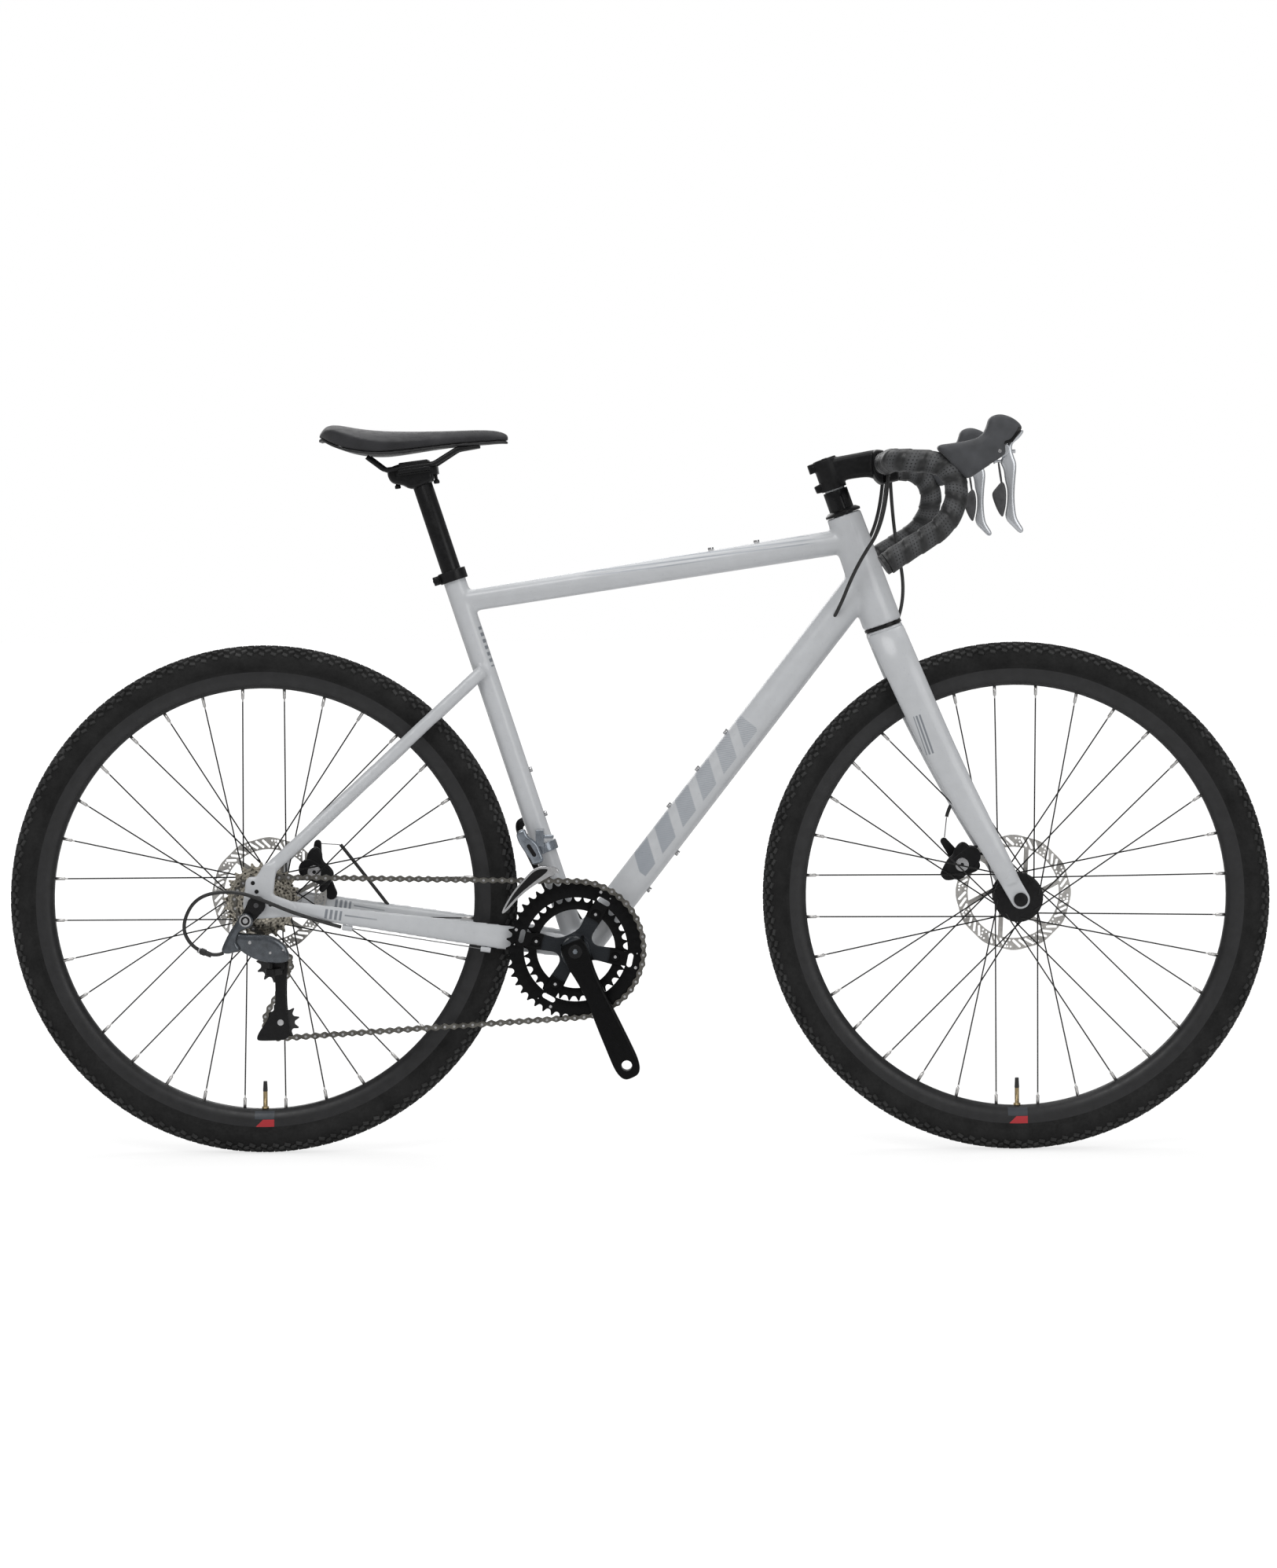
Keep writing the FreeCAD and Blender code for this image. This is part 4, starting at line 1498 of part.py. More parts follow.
H = S.housing_radius
under = BAR.z - tape_radius - H - 0.3
entry = down_head + V(-48.15, 0, -58.83)
right_run = [V(BAR.x + 2, -54, under), V(BAR.x - 2, -62, under - 62), entry + V(32, -50, 76),
             entry + V(8, -30, 14), entry + V(0, -10, 0)]
right_cable = cut("shift_cable_right", rod("shift_run_right", right_run, [60, 60, 30], H), down_outer)
near_run = [V(BAR.x + 8, 62, under), V(BAR.x + 4, 70, under - 62), entry + V(40, 58, 76),
            entry + V(16, 36, 14), entry + V(8, 10, 0)]
brake_cable = cut("brake_cable_left", rod("brake_run_left", near_run, [60, 60, 30], H), down_outer)
fore = (stop_rear_at - stop_front_at).normalize()
loop = [stop_rear_at + fore * (float(S.stop_length) / 2 + 2.0),
        REAR + V(60, -86, -15), REAR + V(10, -94, 7.5), REAR + V(-30, -94, 21),
        REAR + V(-80, -94, 14), REAR + V(-101, -93, -26), REAR + V(-88, -90, -56)]
barrel_end = BARREL - V(1, 0.2, 0.55).normalize() * 0.2
loop = loop + [barrel_end + V(-10, -2, -5.5), barrel_end]
loop_cable = rod("shift_loop", loop, [40, 40, 40, 26, 24, 16, 10], H)
wire_span = (stop_rear_at - stop_front_at).Length - float(S.stop_length) - 4 * float(S.seat_gap)
wire_start = stop_front_at + fore * (float(S.stop_length) / 2 + 2 * float(S.seat_gap))
bare_wire = cylinder("shift_wire", S.wire_radius, wire_span, Place(wire_start, Turn(V(0, 0, 1), fore)))
arm_y = rear_arm_low + S.arm_thickness / 2
rear_run = [R_ARM_END + V(32, arm_y, -2), R_ARM_END + V(58, 66, -34), R_ARM_END + V(84, 59, -66),
            R_ARM_END + V(100, 56, -86)]
rear_brake_cable = cut("rear_brake_cable", rod("rear_brake_run", rear_run, [25, 25], H),
                       mirrored("chainstay_left_form", chain_raw))
rear_wire_from = R_ARM_END + V(5.4, arm_y, -0.34)
rear_wire = cylinder("rear_brake_wire", S.wire_radius, 26.2,
                     Place(rear_wire_from, Turn(V(0, 0, 1), V(32, 0, -2))))
node("control_cables", group("control_cables", [
    right_cable, mirrored("shift_cable_left", right_cable), brake_cable, loop_cable, bare_wire,
    rear_brake_cable, rear_wire]))
crown_at = STEER.multVec(V(0, 0, crown_top))
front_run = [V(BAR.x + 12, 47, under), V(BAR.x + 16, 60, under - 72), crown_at + V(36, 54, 49.5),
             crown_at + V(14, 40, -16.5), crown_at + V(12, 34, -34.5)]
upper_cable = cut("front_cable_upper", rod("front_run_upper", front_run, [70, 60, 20], H), fork_blank)
fy = front_arm_low + S.arm_thickness / 2
front_low = [F_ARM_END + V(27, 52, 72), F_ARM_END + V(9, fy - 1, 56), F_ARM_END + V(4, fy, 34)]
lower_cable = cut("front_cable_lower", rod("front_run_lower", front_low, [18], H), fork_blank)
front_wire = cylinder("front_brake_wire", S.wire_radius, 28,
                      Place(F_ARM_END + V(0.9, fy, 5.4), Turn(V(0, 0, 1), V(3.1, 0, 28.4))))
node("front_brake_cable", group("front_brake_cable", [upper_cable, lower_cable, front_wire]))


doc.recompute()
for obj in doc.Objects:
    if "Invalid" in obj.State or "Error" in obj.State:
        raise RuntimeError("%s is %s" % (obj.Name, obj.State))
os.makedirs("parts", exist_ok=True)
for label, obj in NODES:
    shape = obj.Shape
    if shape.isNull() or not shape.isValid() or not shape.Solids:
        raise RuntimeError("%s has no valid solid" % label)
    shape.exportStep("parts/%s.step" % label)
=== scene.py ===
"""Looks of a gravel bicycle: paint, rubber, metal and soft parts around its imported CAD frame."""

import json
import math

import bmesh
import bpy
from bpy.props import (
    FloatProperty,
    FloatVectorProperty,
    IntProperty,
    PointerProperty,
)
from mathutils import Matrix, Vector
from mathutils.kdtree import KDTree

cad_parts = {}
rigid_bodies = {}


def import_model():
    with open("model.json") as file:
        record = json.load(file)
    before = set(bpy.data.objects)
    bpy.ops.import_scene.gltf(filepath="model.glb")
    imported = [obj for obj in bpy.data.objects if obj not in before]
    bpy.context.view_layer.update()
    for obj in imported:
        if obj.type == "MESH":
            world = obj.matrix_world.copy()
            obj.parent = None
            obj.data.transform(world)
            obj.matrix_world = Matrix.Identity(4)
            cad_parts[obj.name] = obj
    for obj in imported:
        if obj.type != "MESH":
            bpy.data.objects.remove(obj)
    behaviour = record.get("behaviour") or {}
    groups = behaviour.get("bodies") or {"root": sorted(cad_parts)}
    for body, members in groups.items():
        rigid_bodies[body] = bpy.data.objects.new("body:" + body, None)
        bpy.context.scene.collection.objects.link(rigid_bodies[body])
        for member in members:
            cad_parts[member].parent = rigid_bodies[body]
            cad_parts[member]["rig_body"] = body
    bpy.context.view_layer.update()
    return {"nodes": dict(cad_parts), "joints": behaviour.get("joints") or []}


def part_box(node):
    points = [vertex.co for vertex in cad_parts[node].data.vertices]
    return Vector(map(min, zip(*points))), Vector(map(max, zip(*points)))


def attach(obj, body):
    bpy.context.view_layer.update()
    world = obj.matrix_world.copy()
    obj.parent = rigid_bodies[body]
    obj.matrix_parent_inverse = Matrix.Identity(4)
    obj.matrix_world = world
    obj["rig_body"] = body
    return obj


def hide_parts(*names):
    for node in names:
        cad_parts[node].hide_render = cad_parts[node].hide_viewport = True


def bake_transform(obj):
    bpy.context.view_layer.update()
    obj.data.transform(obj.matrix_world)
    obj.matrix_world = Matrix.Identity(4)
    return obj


bl_info = {
    "name": "Gravel bicycle",
    "version": (1, 0, 0),
    "blender": (4, 5, 0),
    "location": "View3D > Sidebar > Bicycle",
    "description": "Dresses the packed frame of a gravel bicycle",
    "category": "Object",
}

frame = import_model()
NODES = frame["nodes"]
MM = 0.001
TURN = 2 * math.pi


def middle(node):
    """The middle of a CAD node's box."""
    low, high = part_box(node)
    return (low + high) / 2


def beside(spot, y):
    """A point level with a spot, at another place across the bicycle."""
    return Vector((spot.x, y, spot.z))


def body_of(node):
    """The body that carries a CAD node."""
    return NODES[node]["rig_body"]


PINS = {joint["name"]: Vector(joint["pos_m"]) for joint in frame["joints"] if "pos_m" in joint}
FRONT_AXLE = beside(middle("front_hub"), 0)
REAR_AXLE = beside(middle("rear_hub"), 0)
AXLES = {"front": FRONT_AXLE, "rear": REAR_AXLE}


def axle_at(x):
    """The axle of the wheel at a place along the bicycle."""
    return Vector((x, 0, FRONT_AXLE.z))


class Look(bpy.types.PropertyGroup):
    """Colours and finishes"""

    paint: FloatVectorProperty(
        name="Paint", description="Colour of the frame and fork", subtype="COLOR",
        default=(0.60, 0.615, 0.635), min=0, max=1)
    graphic: FloatVectorProperty(
        name="Graphic", description="Colour of the painted bars", subtype="COLOR",
        default=(0.27, 0.30, 0.345), min=0, max=1)
    rubber: FloatVectorProperty(
        name="Rubber", description="Colour of the tyres", subtype="COLOR",
        default=(0.012, 0.012, 0.012), min=0, max=1)
    alloy: FloatVectorProperty(
        name="Black alloy", description="Colour of the black metal parts", subtype="COLOR",
        default=(0.007, 0.007, 0.0075), min=0, max=1)
    label: FloatVectorProperty(
        name="Rim patch", description="Colour of the patch beside each valve", subtype="COLOR",
        default=(0.55, 0.03, 0.04), min=0, max=1)


class Sizes(bpy.types.PropertyGroup):
    """Sizes of what is added to the frame"""

    weld: FloatProperty(
        name="Weld grid", description="Grid that the frame's joints are smoothed on", unit="LENGTH",
        default=2.4 * MM, min=1 * MM, max=5 * MM)
    knob_count: IntProperty(
        name="Knobs", description="Knobs in each row of the tread", default=132, min=40, max=300)
    knob_rows: IntProperty(
        name="Rows", description="Rows of knobs across the tread", default=9, min=3, max=13)
    knob_height: FloatProperty(
        name="Knob height", description="Height of a knob over the casing", unit="LENGTH",
        default=2.4 * MM, min=0.5 * MM, max=5 * MM)
    tape_pitch: FloatProperty(
        name="Tape pitch", description="Distance between two turns of the tape", unit="LENGTH",
        default=25 * MM, min=10 * MM, max=40 * MM)
    tape_lap: FloatProperty(
        name="Tape lap", description="How far a turn stands over the next", unit="LENGTH",
        default=1.7 * MM, min=0, max=3 * MM)
    link_width: FloatProperty(
        name="Link plate", description="Height of a chain plate at its pin", unit="LENGTH",
        default=8.4 * MM, min=5 * MM, max=10 * MM)
    eye_height: FloatProperty(
        name="Eye height", description="Height of the camera over the ground", unit="LENGTH",
        default=0.807)
    eye_distance: FloatProperty(
        name="Eye distance", description="Distance of the camera from the bicycle", unit="LENGTH",
        default=4.4)


def look():
    """The colours set in the scene."""
    return bpy.context.scene.bicycle_look


def sizes():
    """The sizes set in the scene."""
    return bpy.context.scene.bicycle_sizes


class NodeTree:
    """A node tree, with short calls for its nodes."""

    def feed(self, socket, value):
        """Links an input to an output, or sets its value."""
        if isinstance(value, bpy.types.NodeSocket):
            self.tree.links.new(value, socket)
        else:
            socket.default_value = value

    def add(self, kind, values=(), **settings):
        """A new node; values go to its inputs by number or name."""
        made = self.tree.nodes.new(kind)
        for name, value in settings.items():
            setattr(made, name, value)
        for key, value in dict(values).items():
            self.feed(made.inputs[key], value)
        return made

    def sum(self, operation, a, b=0.0):
        """One step of arithmetic."""
        return self.add("ShaderNodeMath", {0: a, 1: b}, operation=operation).outputs[0]

    def plus(self, a, b):
        return self.sum("ADD", a, b)

    def minus(self, a, b):
        return self.sum("SUBTRACT", a, b)

    def times(self, a, *others):
        for b in others:
            a = self.sum("MULTIPLY", a, b)
        return a

    def over(self, a, b):
        """1 where a is more than b."""
        return self.sum("GREATER_THAN", a, b)

    def under(self, a, b):
        """1 where a is less than b."""
        return self.sum("LESS_THAN", a, b)

    def split(self, vector):
        """The x, y and z of a vector."""
        return self.add("ShaderNodeSeparateXYZ", {0: vector}).outputs


class Finish(NodeTree):
    """A material with a principled shader."""

    def __init__(self, name, color, roughness, metallic=0.0):
        self.material = bpy.data.materials.new(name)
        self.material.use_nodes = True
        self.material.diffuse_color = (*color, 1)
        self.tree = self.material.node_tree
        self.shader = self.tree.nodes["Principled BSDF"]
        self.set("Base Color", (*color, 1))
        self.set("Roughness", roughness)
        self.set("Metallic", metallic)
        coords = self.tree.nodes.new("ShaderNodeTexCoord")
        self.place = coords.outputs["Object"]
        self.chart = coords.outputs["UV"]

    def set(self, name, value):
        """Feeds an input of the shader."""
        self.feed(self.shader.inputs[name], value)

    def ramp(self, value, low, high, start=0.0, end=1.0):
        """Runs from start to end while a value goes from low to high."""
        return self.add("ShaderNodeMapRange", {0: value, 1: low, 2: high, 3: start, 4: end}).outputs[0]

    def inside(self, value, low, high, edge):
        """1 where value lies between low and high, with soft edges."""
        rise = self.ramp(value, low - edge, low + edge)
        fall = self.ramp(value, high - edge, high + edge, 1.0, 0.0)
        return self.times(rise, fall)

    def stripes(self, value, period, share, edge):
        """1 over a share of each period."""
        phase = self.sum("FRACT", self.sum("DIVIDE", value, period))
        return self.inside(phase, edge, share, edge)

    def turned(self, degrees):
        """Object coordinates turned about Y, as separate x, y and z."""
        mapping = self.add("ShaderNodeMapping", {"Vector": self.place}, vector_type="POINT")
        mapping.inputs["Rotation"].default_value = (0, math.radians(degrees), 0)
        return self.split(mapping.outputs[0])

    def noise(self, scale, detail):
        """Cloudy noise."""
        values = {"Vector": self.place, "Scale": scale, "Detail": detail, "Roughness": 0.55}
        return self.add("ShaderNodeTexNoise", values).outputs["Fac"]

    def cells(self, scale):
        """Distance from the middles of random cells."""
        return self.add("ShaderNodeTexVoronoi", {"Vector": self.place, "Scale": scale}).outputs["Distance"]

    def spread(self, value, low, high):
        """A noise value between two numbers."""
        return self.ramp(value, 0.3, 0.7, low, high)

    def mix(self, share, a, b):
        """Goes from one colour to another by a share."""
        made = self.add("ShaderNodeMix", data_type="RGBA")
        for socket, value in zip((made.inputs[0], made.inputs[6], made.inputs[7]), (share, a, b)):
            if not isinstance(value, (bpy.types.NodeSocket, float, int)):
                value = (*value, 1) if len(value) == 3 else value
            self.feed(socket, value)
        return made.outputs[2]

    def bump(self, height, millimetres, strength, over=None):
        """A normal from heights, on top of another one where it is given."""
        values = {"Height": height, "Distance": millimetres * MM, "Strength": strength}
        made = self.add("ShaderNodeBump", values)
        if over is not None:
            self.feed(made.inputs["Normal"], over)
        return made.outputs["Normal"]

    def from_axle(self, centre):
        """How far a point lies ahead of an axle along Y, and above it."""
        spot = self.split(self.place)
        return self.minus(spot[0], centre.x), self.minus(spot[2], centre.z)

    def length(self, across, up):
        """Length of a flat vector."""
        return self.sum("SQRT", self.plus(self.times(across, across), self.times(up, up)))

    def radius_from(self, centre):
        """Distance from an axle through centre, along Y."""
        return self.length(*self.from_axle(centre))

    def clouds(self, base, scale, detail, dark, pale):
        """A colour in soft patches between a darker and a paler share of it."""
        patches = self.spread(self.noise(scale, detail), 0, 1)
        return self.mix(patches, scaled(base, dark), scaled(base, pale))

    def gloss(self, scale, detail, low, high):
        """Roughness that wanders between two values."""
        self.set("Roughness", self.spread(self.noise(scale, detail), low, high))

    def grain(self, scale, detail, millimetres, strength=0.5):
        """Fine bumps all over."""
        self.set("Normal", self.bump(self.noise(scale, detail), millimetres, strength))


def scaled(color, share):
    """A colour made darker or paler."""
    return tuple(c * share for c in color)


MADE = {}


def finish(maker):
    """Keeps one copy of each material."""

    def once(*words):
        key = (maker.__name__, *words)
        if key not in MADE:
            MADE[key] = maker(*words).material
        return MADE[key]

    return once


# Lean of the down tube and of the top tube from level, in degrees.
DOWN_TUBE_LEAN = 52.2
TOP_TUBE_LEAN = 8.7
# Plain marks on the fork blade, the chainstay and the seat tube: the lean of the tube in degrees, the ends
# along it and the edges across it, then the period of its stripes and the way they follow one another.
PAINTED_MARKS = ((109.2, (0.387, 0.443), (-0.5625, -0.5505), 0.0046, 2),
                 (-8.85, (-0.477, -0.452), (0.2600, 0.2730), 0.0066, 0),
                 (-8.85, (-0.448, -0.404), (0.2672, 0.2690), 1.0, 0),
                 (108.26, (0.699, 0.757), (-0.0205, -0.0165), 0.0094, 0))


@finish
def frame_paint():
    """Pale grey lacquer with plain slanted bars on the down tube and thin lines elsewhere."""
    paint = look().paint
    ink = look().graphic
    made = Finish("frame_paint", paint, 0.3)
    color = made.clouds(paint, 60, 3, 0.97, 1.03)
    # Slanted bars along the down tube, which turn into hatching.
    along, _, across = made.turned(DOWN_TUBE_LEAN)
    bars = made.stripes(made.plus(along, made.times(across, -0.7)), 0.046, 0.66, 0.02)
    hatch = made.stripes(made.plus(along, across), 0.0026, 0.62, 0.12)
    tone = made.sum("MAXIMUM", hatch, made.minus(1.0, made.ramp(along, 0.30, 0.56, 0.15)))
    field = made.times(made.inside(along, 0.305, 0.56, 0.0006), made.inside(across, 0.227, 0.262, 0.0006))
    color = made.mix(made.times(bars, tone, field, 0.85), color, ink)
    # Thin lines along the top tube.
    ahead, _, high = made.turned(TOP_TUBE_LEAN)
    lines = made.stripes(made.plus(high, made.times(ahead, 0.03)), 0.0056, 0.42, 0.08)
    band = made.times(made.inside(ahead, 0.05, 0.36, 0.01), made.inside(high, 0.7905, 0.812, 0.0006))
    color = made.mix(made.times(lines, band, 0.6), color, ink)
    for degrees, ends, edges, period, way in PAINTED_MARKS:
        spot = made.turned(degrees)
        field = made.times(made.inside(spot[0], *ends, 0.0004), made.inside(spot[2], *edges, 0.0004))
        ticks = made.stripes(spot[way], period, 0.6, 0.05)
        color = made.mix(made.times(field, ticks, 0.85), color, scaled(ink, 0.6))
    made.set("Base Color", color)
    made.set("Coat Weight", 0.35)
    made.set("Coat Roughness", 0.12)
    made.gloss(220, 2, 0.27, 0.36)
    made.grain(900, 2, 0.03)
    return made


@finish
def black_alloy(gloss=0.36):
    """Anodised or painted black metal."""
    base = look().alloy
    made = Finish("black_alloy_%d" % int(gloss * 100), base, gloss)
    made.set("Base Color", made.clouds(base, 180, 5, 0.75, 1.5))
    made.set("Specular IOR Level", 0.24)
    made.gloss(90, 4, gloss - 0.06, gloss + 0.08)
    made.grain(2600, 2, 0.04, 0.6)
    return made


@finish
def grey_alloy(tone=1.0):
    """Grey metallic paint of the derailleurs."""
    base = scaled((0.085, 0.095, 0.108), tone)
    made = Finish("grey_alloy_%d" % int(tone * 10), base, 0.3, 0.75)
    made.set("Base Color", made.clouds(base, 120, 5, 0.8, 1.35))
    made.set("Coat Weight", 0.6)
    made.gloss(300, 3, 0.18, 0.3)
    made.grain(2200, 2, 0.04)
    return made


# The black arm on the right crank: its direction ahead and down, its half width and its end past the axle.
ARM_AHEAD, ARM_DOWN = 0.385, 0.923
ARM_HALF_WIDTH = 0.0172
ARM_END = -0.014
SPIDER_RADIUS = 0.047


@finish
def crank_paint():
    """Black crank arm over a dark grey spider."""
    base = look().alloy
    made = Finish("crank_paint", base, 0.28)
    across, up = made.from_axle(PINS["crank_spin"])
    along_arm = made.minus(made.times(across, ARM_AHEAD), made.times(up, ARM_DOWN))
    off_arm = made.sum("ABSOLUTE", made.plus(made.times(across, ARM_DOWN), made.times(up, ARM_AHEAD)))
    arm = made.times(made.under(off_arm, ARM_HALF_WIDTH), made.over(along_arm, ARM_END))
    spider = made.times(made.under(made.length(across, up), SPIDER_RADIUS), made.minus(1.0, arm))
    black = made.clouds(base, 180, 5, 0.3, 0.6)
    made.set("Base Color", made.mix(spider, black, (0.024, 0.027, 0.031)))
    made.set("Specular IOR Level", 0.12)
    made.gloss(90, 4, 0.22, 0.34)
    made.grain(2600, 2, 0.04, 0.6)
    return made


@finish
def lever_alloy():
    """Silver-grey lacquered metal of the brake levers, with a painted dark reflection across mid height."""
    base = (0.62, 0.64, 0.67)
    made = Finish("lever_alloy", base, 0.28, 0.8)
    # The darker band at mid height is a painted dark reflection.
    painted_dark_reflection = made.inside(made.split(made.place)[2], 0.875, 0.925, 0.018)
    made.set("Base Color", made.mix(made.times(painted_dark_reflection, 0.55), base, scaled(base, 0.5)))
    made.set("Coat Weight", 0.4)
    made.gloss(40, 2, 0.26, 0.34)
    return made


@finish
def bright_steel(tint=1.0):
    """Polished bolts, plates and wires."""
    base = scaled((0.62, 0.62, 0.63), tint)
    made = Finish("bright_steel", base, 0.2, 1.0)
    made.set("Base Color", made.clouds(base, 150, 4, 0.8, 1.0))
    made.gloss(400, 4, 0.14, 0.3)
    made.grain(1800, 2, 0.03, 0.4)
    return made


@finish
def rotor_steel(centre_x):
    """Brake disc, brushed in circles."""
    base = (0.62, 0.605, 0.58)
    made = Finish("rotor_steel_%d" % int(centre_x * 1000), base, 0.32, 1.0)
    radius = made.radius_from(axle_at(centre_x))
    rings = made.sum("SINE", made.times(radius, 9000.0))
    streak = made.plus(made.times(rings, 0.25), made.noise(160, 4))
    made.set("Base Color", made.mix(made.spread(streak, 0, 1), scaled(base, 0.75), scaled(base, 1.2)))
    made.gloss(120, 4, 0.24, 0.42)
    made.set("Normal", made.bump(streak, 0.04, 0.5))
    return made


@finish
def gear_steel(tone):
    """Plated sprockets and chain, warm grey with darker oily patches; the cassette has painted shade in rings
    between its sprockets and in its holes.
    """
    base = {"cassette": (0.56, 0.52, 0.44), "chain": (0.17, 0.163, 0.147)}[tone]
    made = Finish("gear_steel_" + tone, base, 0.34, 1.0)
    color = made.clouds(base, 90, 5, 0.6, 1.25)
    if tone == "cassette":
        radius = made.radius_from(REAR_AXLE)
        # Dark spots for the sprockets' holes and dark rings between the sprockets' edges are painted shade.
        painted_hole_shade = made.times(made.under(made.cells(170.0), 0.34), made.under(radius, 0.06))
        painted_step_shade = made.stripes(radius, 0.0042, 0.5, 0.2)
        color = made.mix(made.times(painted_step_shade, 0.75), color, scaled(base, 0.14))
        color = made.mix(made.times(painted_hole_shade, 0.85), color, (0.01, 0.01, 0.01))
    made.set("Base Color", color)
    made.gloss(90, 5, 0.45, 0.26)
    made.grain(1500, 3, 0.04)
    return made


@finish
def tyre_rubber(part):
    """Matte tyre rubber, paler on the tread."""
    base = scaled(look().rubber, {"casing": 0.9, "tread": 2.8}[part])
    made = Finish("tyre_rubber_" + part, base, 0.72)
    made.set("Base Color", made.clouds(base, 38, 6, 0.7, 1.7))
    made.set("Specular IOR Level", 0.25)
    made.gloss(240, 3, 0.62, 0.82)
    made.grain(1300, 4, 0.12, 0.6)
    return made


# The patch beside each valve: its half width, and the radii where its red and its grey part start and end.
PATCH_HALF_WIDTH = 0.0135
RED_PATCH = (0.3035, 0.3135)
GREY_PATCH = (0.2925, 0.3030)
# Spoke nipples lie outside this radius, and the cap of a valve above this height.
NIPPLE_RADIUS = 0.2735
VALVE_CAP_HEIGHT = 0.0838


@finish
def rim_paint(centre_x):
    """Matte black rim with a plain two-tone patch beside its valve."""
    base = (0.013, 0.013, 0.014)
    made = Finish("rim_paint_%d" % int(centre_x * 1000), base, 0.42)
    across, up = made.from_axle(axle_at(centre_x))
    sides = made.inside(across, -PATCH_HALF_WIDTH, PATCH_HALF_WIDTH, 0.0002)
    field = made.times(sides, made.under(up, 0.0))
    radius = made.length(across, up)
    lower = made.inside(radius, *RED_PATCH, 0.0002)
    upper = made.inside(radius, *GREY_PATCH, 0.0002)
    slant = made.over(made.plus(across, made.minus(radius, RED_PATCH[0])), -0.002)
    color = made.clouds(base, 70, 4, 0.8, 1.4)
    color = made.mix(made.times(upper, field, 0.7), color, (0.06, 0.07, 0.085))
    color = made.mix(made.times(lower, slant, field, 0.9), color, tuple(look().label))
    made.set("Base Color", color)
    made.gloss(120, 4, 0.36, 0.5)
    made.grain(2200, 2, 0.04)
    return made


@finish
def spoke_wire(centre_x):
    """Black spokes with bright nipples at the rim."""
    base = (0.02, 0.02, 0.02)
    made = Finish("spoke_wire_%d" % int(centre_x * 1000), base, 0.35)
    nipple = made.over(made.radius_from(axle_at(centre_x)), NIPPLE_RADIUS)
    made.set("Base Color", made.mix(nipple, made.clouds(base, 400, 3, 0.6, 1.5), (0.62, 0.61, 0.6)))
    made.set("Metallic", nipple)
    made.gloss(300, 3, 0.28, 0.42)
    return made


@finish
def valve_metal():
    """Brass stem with a dark cap, and painted shade in the grooves of its thread."""
    made = Finish("valve_metal", (0.6, 0.45, 0.22), 0.28, 1.0)
    height = made.split(made.place)[2]
    cap = made.over(height, VALVE_CAP_HEIGHT)
    # Stripes that bump the thread; their darker brass is painted shade in its grooves.
    thread_and_groove_shade = made.stripes(height, 0.0009, 0.5, 0.2)
    brass = made.mix(thread_and_groove_shade, (0.34, 0.26, 0.14), (0.66, 0.52, 0.3))
    made.set("Base Color", made.mix(cap, brass, (0.02, 0.02, 0.02)))
    made.set("Metallic", made.minus(1.0, cap))
    made.gloss(500, 3, 0.24, 0.4)
    made.set("Normal", made.bump(thread_and_groove_shade, 0.1, 0.5))
    return made


@finish
def bar_tape_skin():
    """Soft black tape with rows of pin holes along each turn, painted near black as the shade inside them."""
    base = (0.042, 0.043, 0.045)
    made = Finish("bar_tape_skin", base, 0.5)
    chart = made.split(made.chart)
    along = made.minus(made.sum("FRACT", made.sum("DIVIDE", chart[0], 4.8)), 0.5)
    across = made.minus(made.sum("FRACT", made.sum("DIVIDE", chart[1], 4.2)), 0.5)
    # Pin holes are dented and painted near black, as painted shade inside them.
    pinhole_and_its_shade = made.times(made.under(made.length(along, across), 0.2), made.inside(chart[1], 4.2, 16.8, 0.01))
    matt = made.inside(chart[1], 5.0, 16.0, 3.5)
    skin = made.mix(matt, scaled(base, 0.35), made.clouds(base, 55, 5, 1.1, 2.2))
    made.set("Base Color", made.mix(pinhole_and_its_shade, skin, (0.004, 0.004, 0.004)))
    rough = made.spread(made.noise(130, 4), 0.34, 0.46)
    made.set("Roughness", made.plus(made.times(matt, 0.2), rough))
    grain = made.bump(made.noise(1500, 4), 0.12, 0.5)
    made.set("Normal", made.bump(made.minus(1.0, pinhole_and_its_shade), 0.5, 0.8, grain))
    return made


@finish
def hood_rubber():
    """Soft grey-black rubber of the lever hoods."""
    base = (0.046, 0.048, 0.053)
    made = Finish("hood_rubber", base, 0.6)
    made.set("Base Color", made.clouds(base, 50, 5, 0.8, 1.5))
    made.set("Sheen Weight", 0.15)
    made.gloss(200, 3, 0.52, 0.7)
    made.grain(1900, 3, 0.1)
    return made


@finish
def saddle_skin():
    """Matte black cover with a fine pebbled grain."""
    base = (0.03, 0.03, 0.0325)
    made = Finish("saddle_skin", base, 0.55)
    made.set("Base Color", made.clouds(base, 30, 5, 0.8, 1.5))
    made.set("Sheen Weight", 0.1)
    made.set("Specular IOR Level", 0.2)
    made.gloss(120, 3, 0.48, 0.64)
    made.set("Normal", made.bump(made.cells(900.0), 0.12, 0.5))
    return made


@finish
def black_plastic(tone=1.0):
    """Moulded black plastic, paler with a higher tone."""
    base = scaled((0.016, 0.016, 0.017), tone)
    made = Finish("black_plastic_%d" % int(tone * 10), base, 0.45)
    made.set("Base Color", made.clouds(base, 80, 4, 0.8, 1.6))
    made.gloss(160, 3, 0.38, 0.54)
    made.grain(1700, 2, 0.06)
    return made


@finish
def housing_skin():
    """Black cable housing."""
    base = (0.018, 0.018, 0.018)
    made = Finish("housing_skin", base, 0.38)
    made.set("Base Color", made.clouds(base, 120, 4, 0.7, 1.6))
    made.gloss(160, 3, 0.32, 0.46)
    made.grain(1400, 3, 0.05)
    return made


def new_piece(name, mesh):
    """An object at the origin that shows a finished mesh."""
    piece = bpy.data.objects.new(name, mesh)
    bpy.context.scene.collection.objects.link(piece)
    return piece


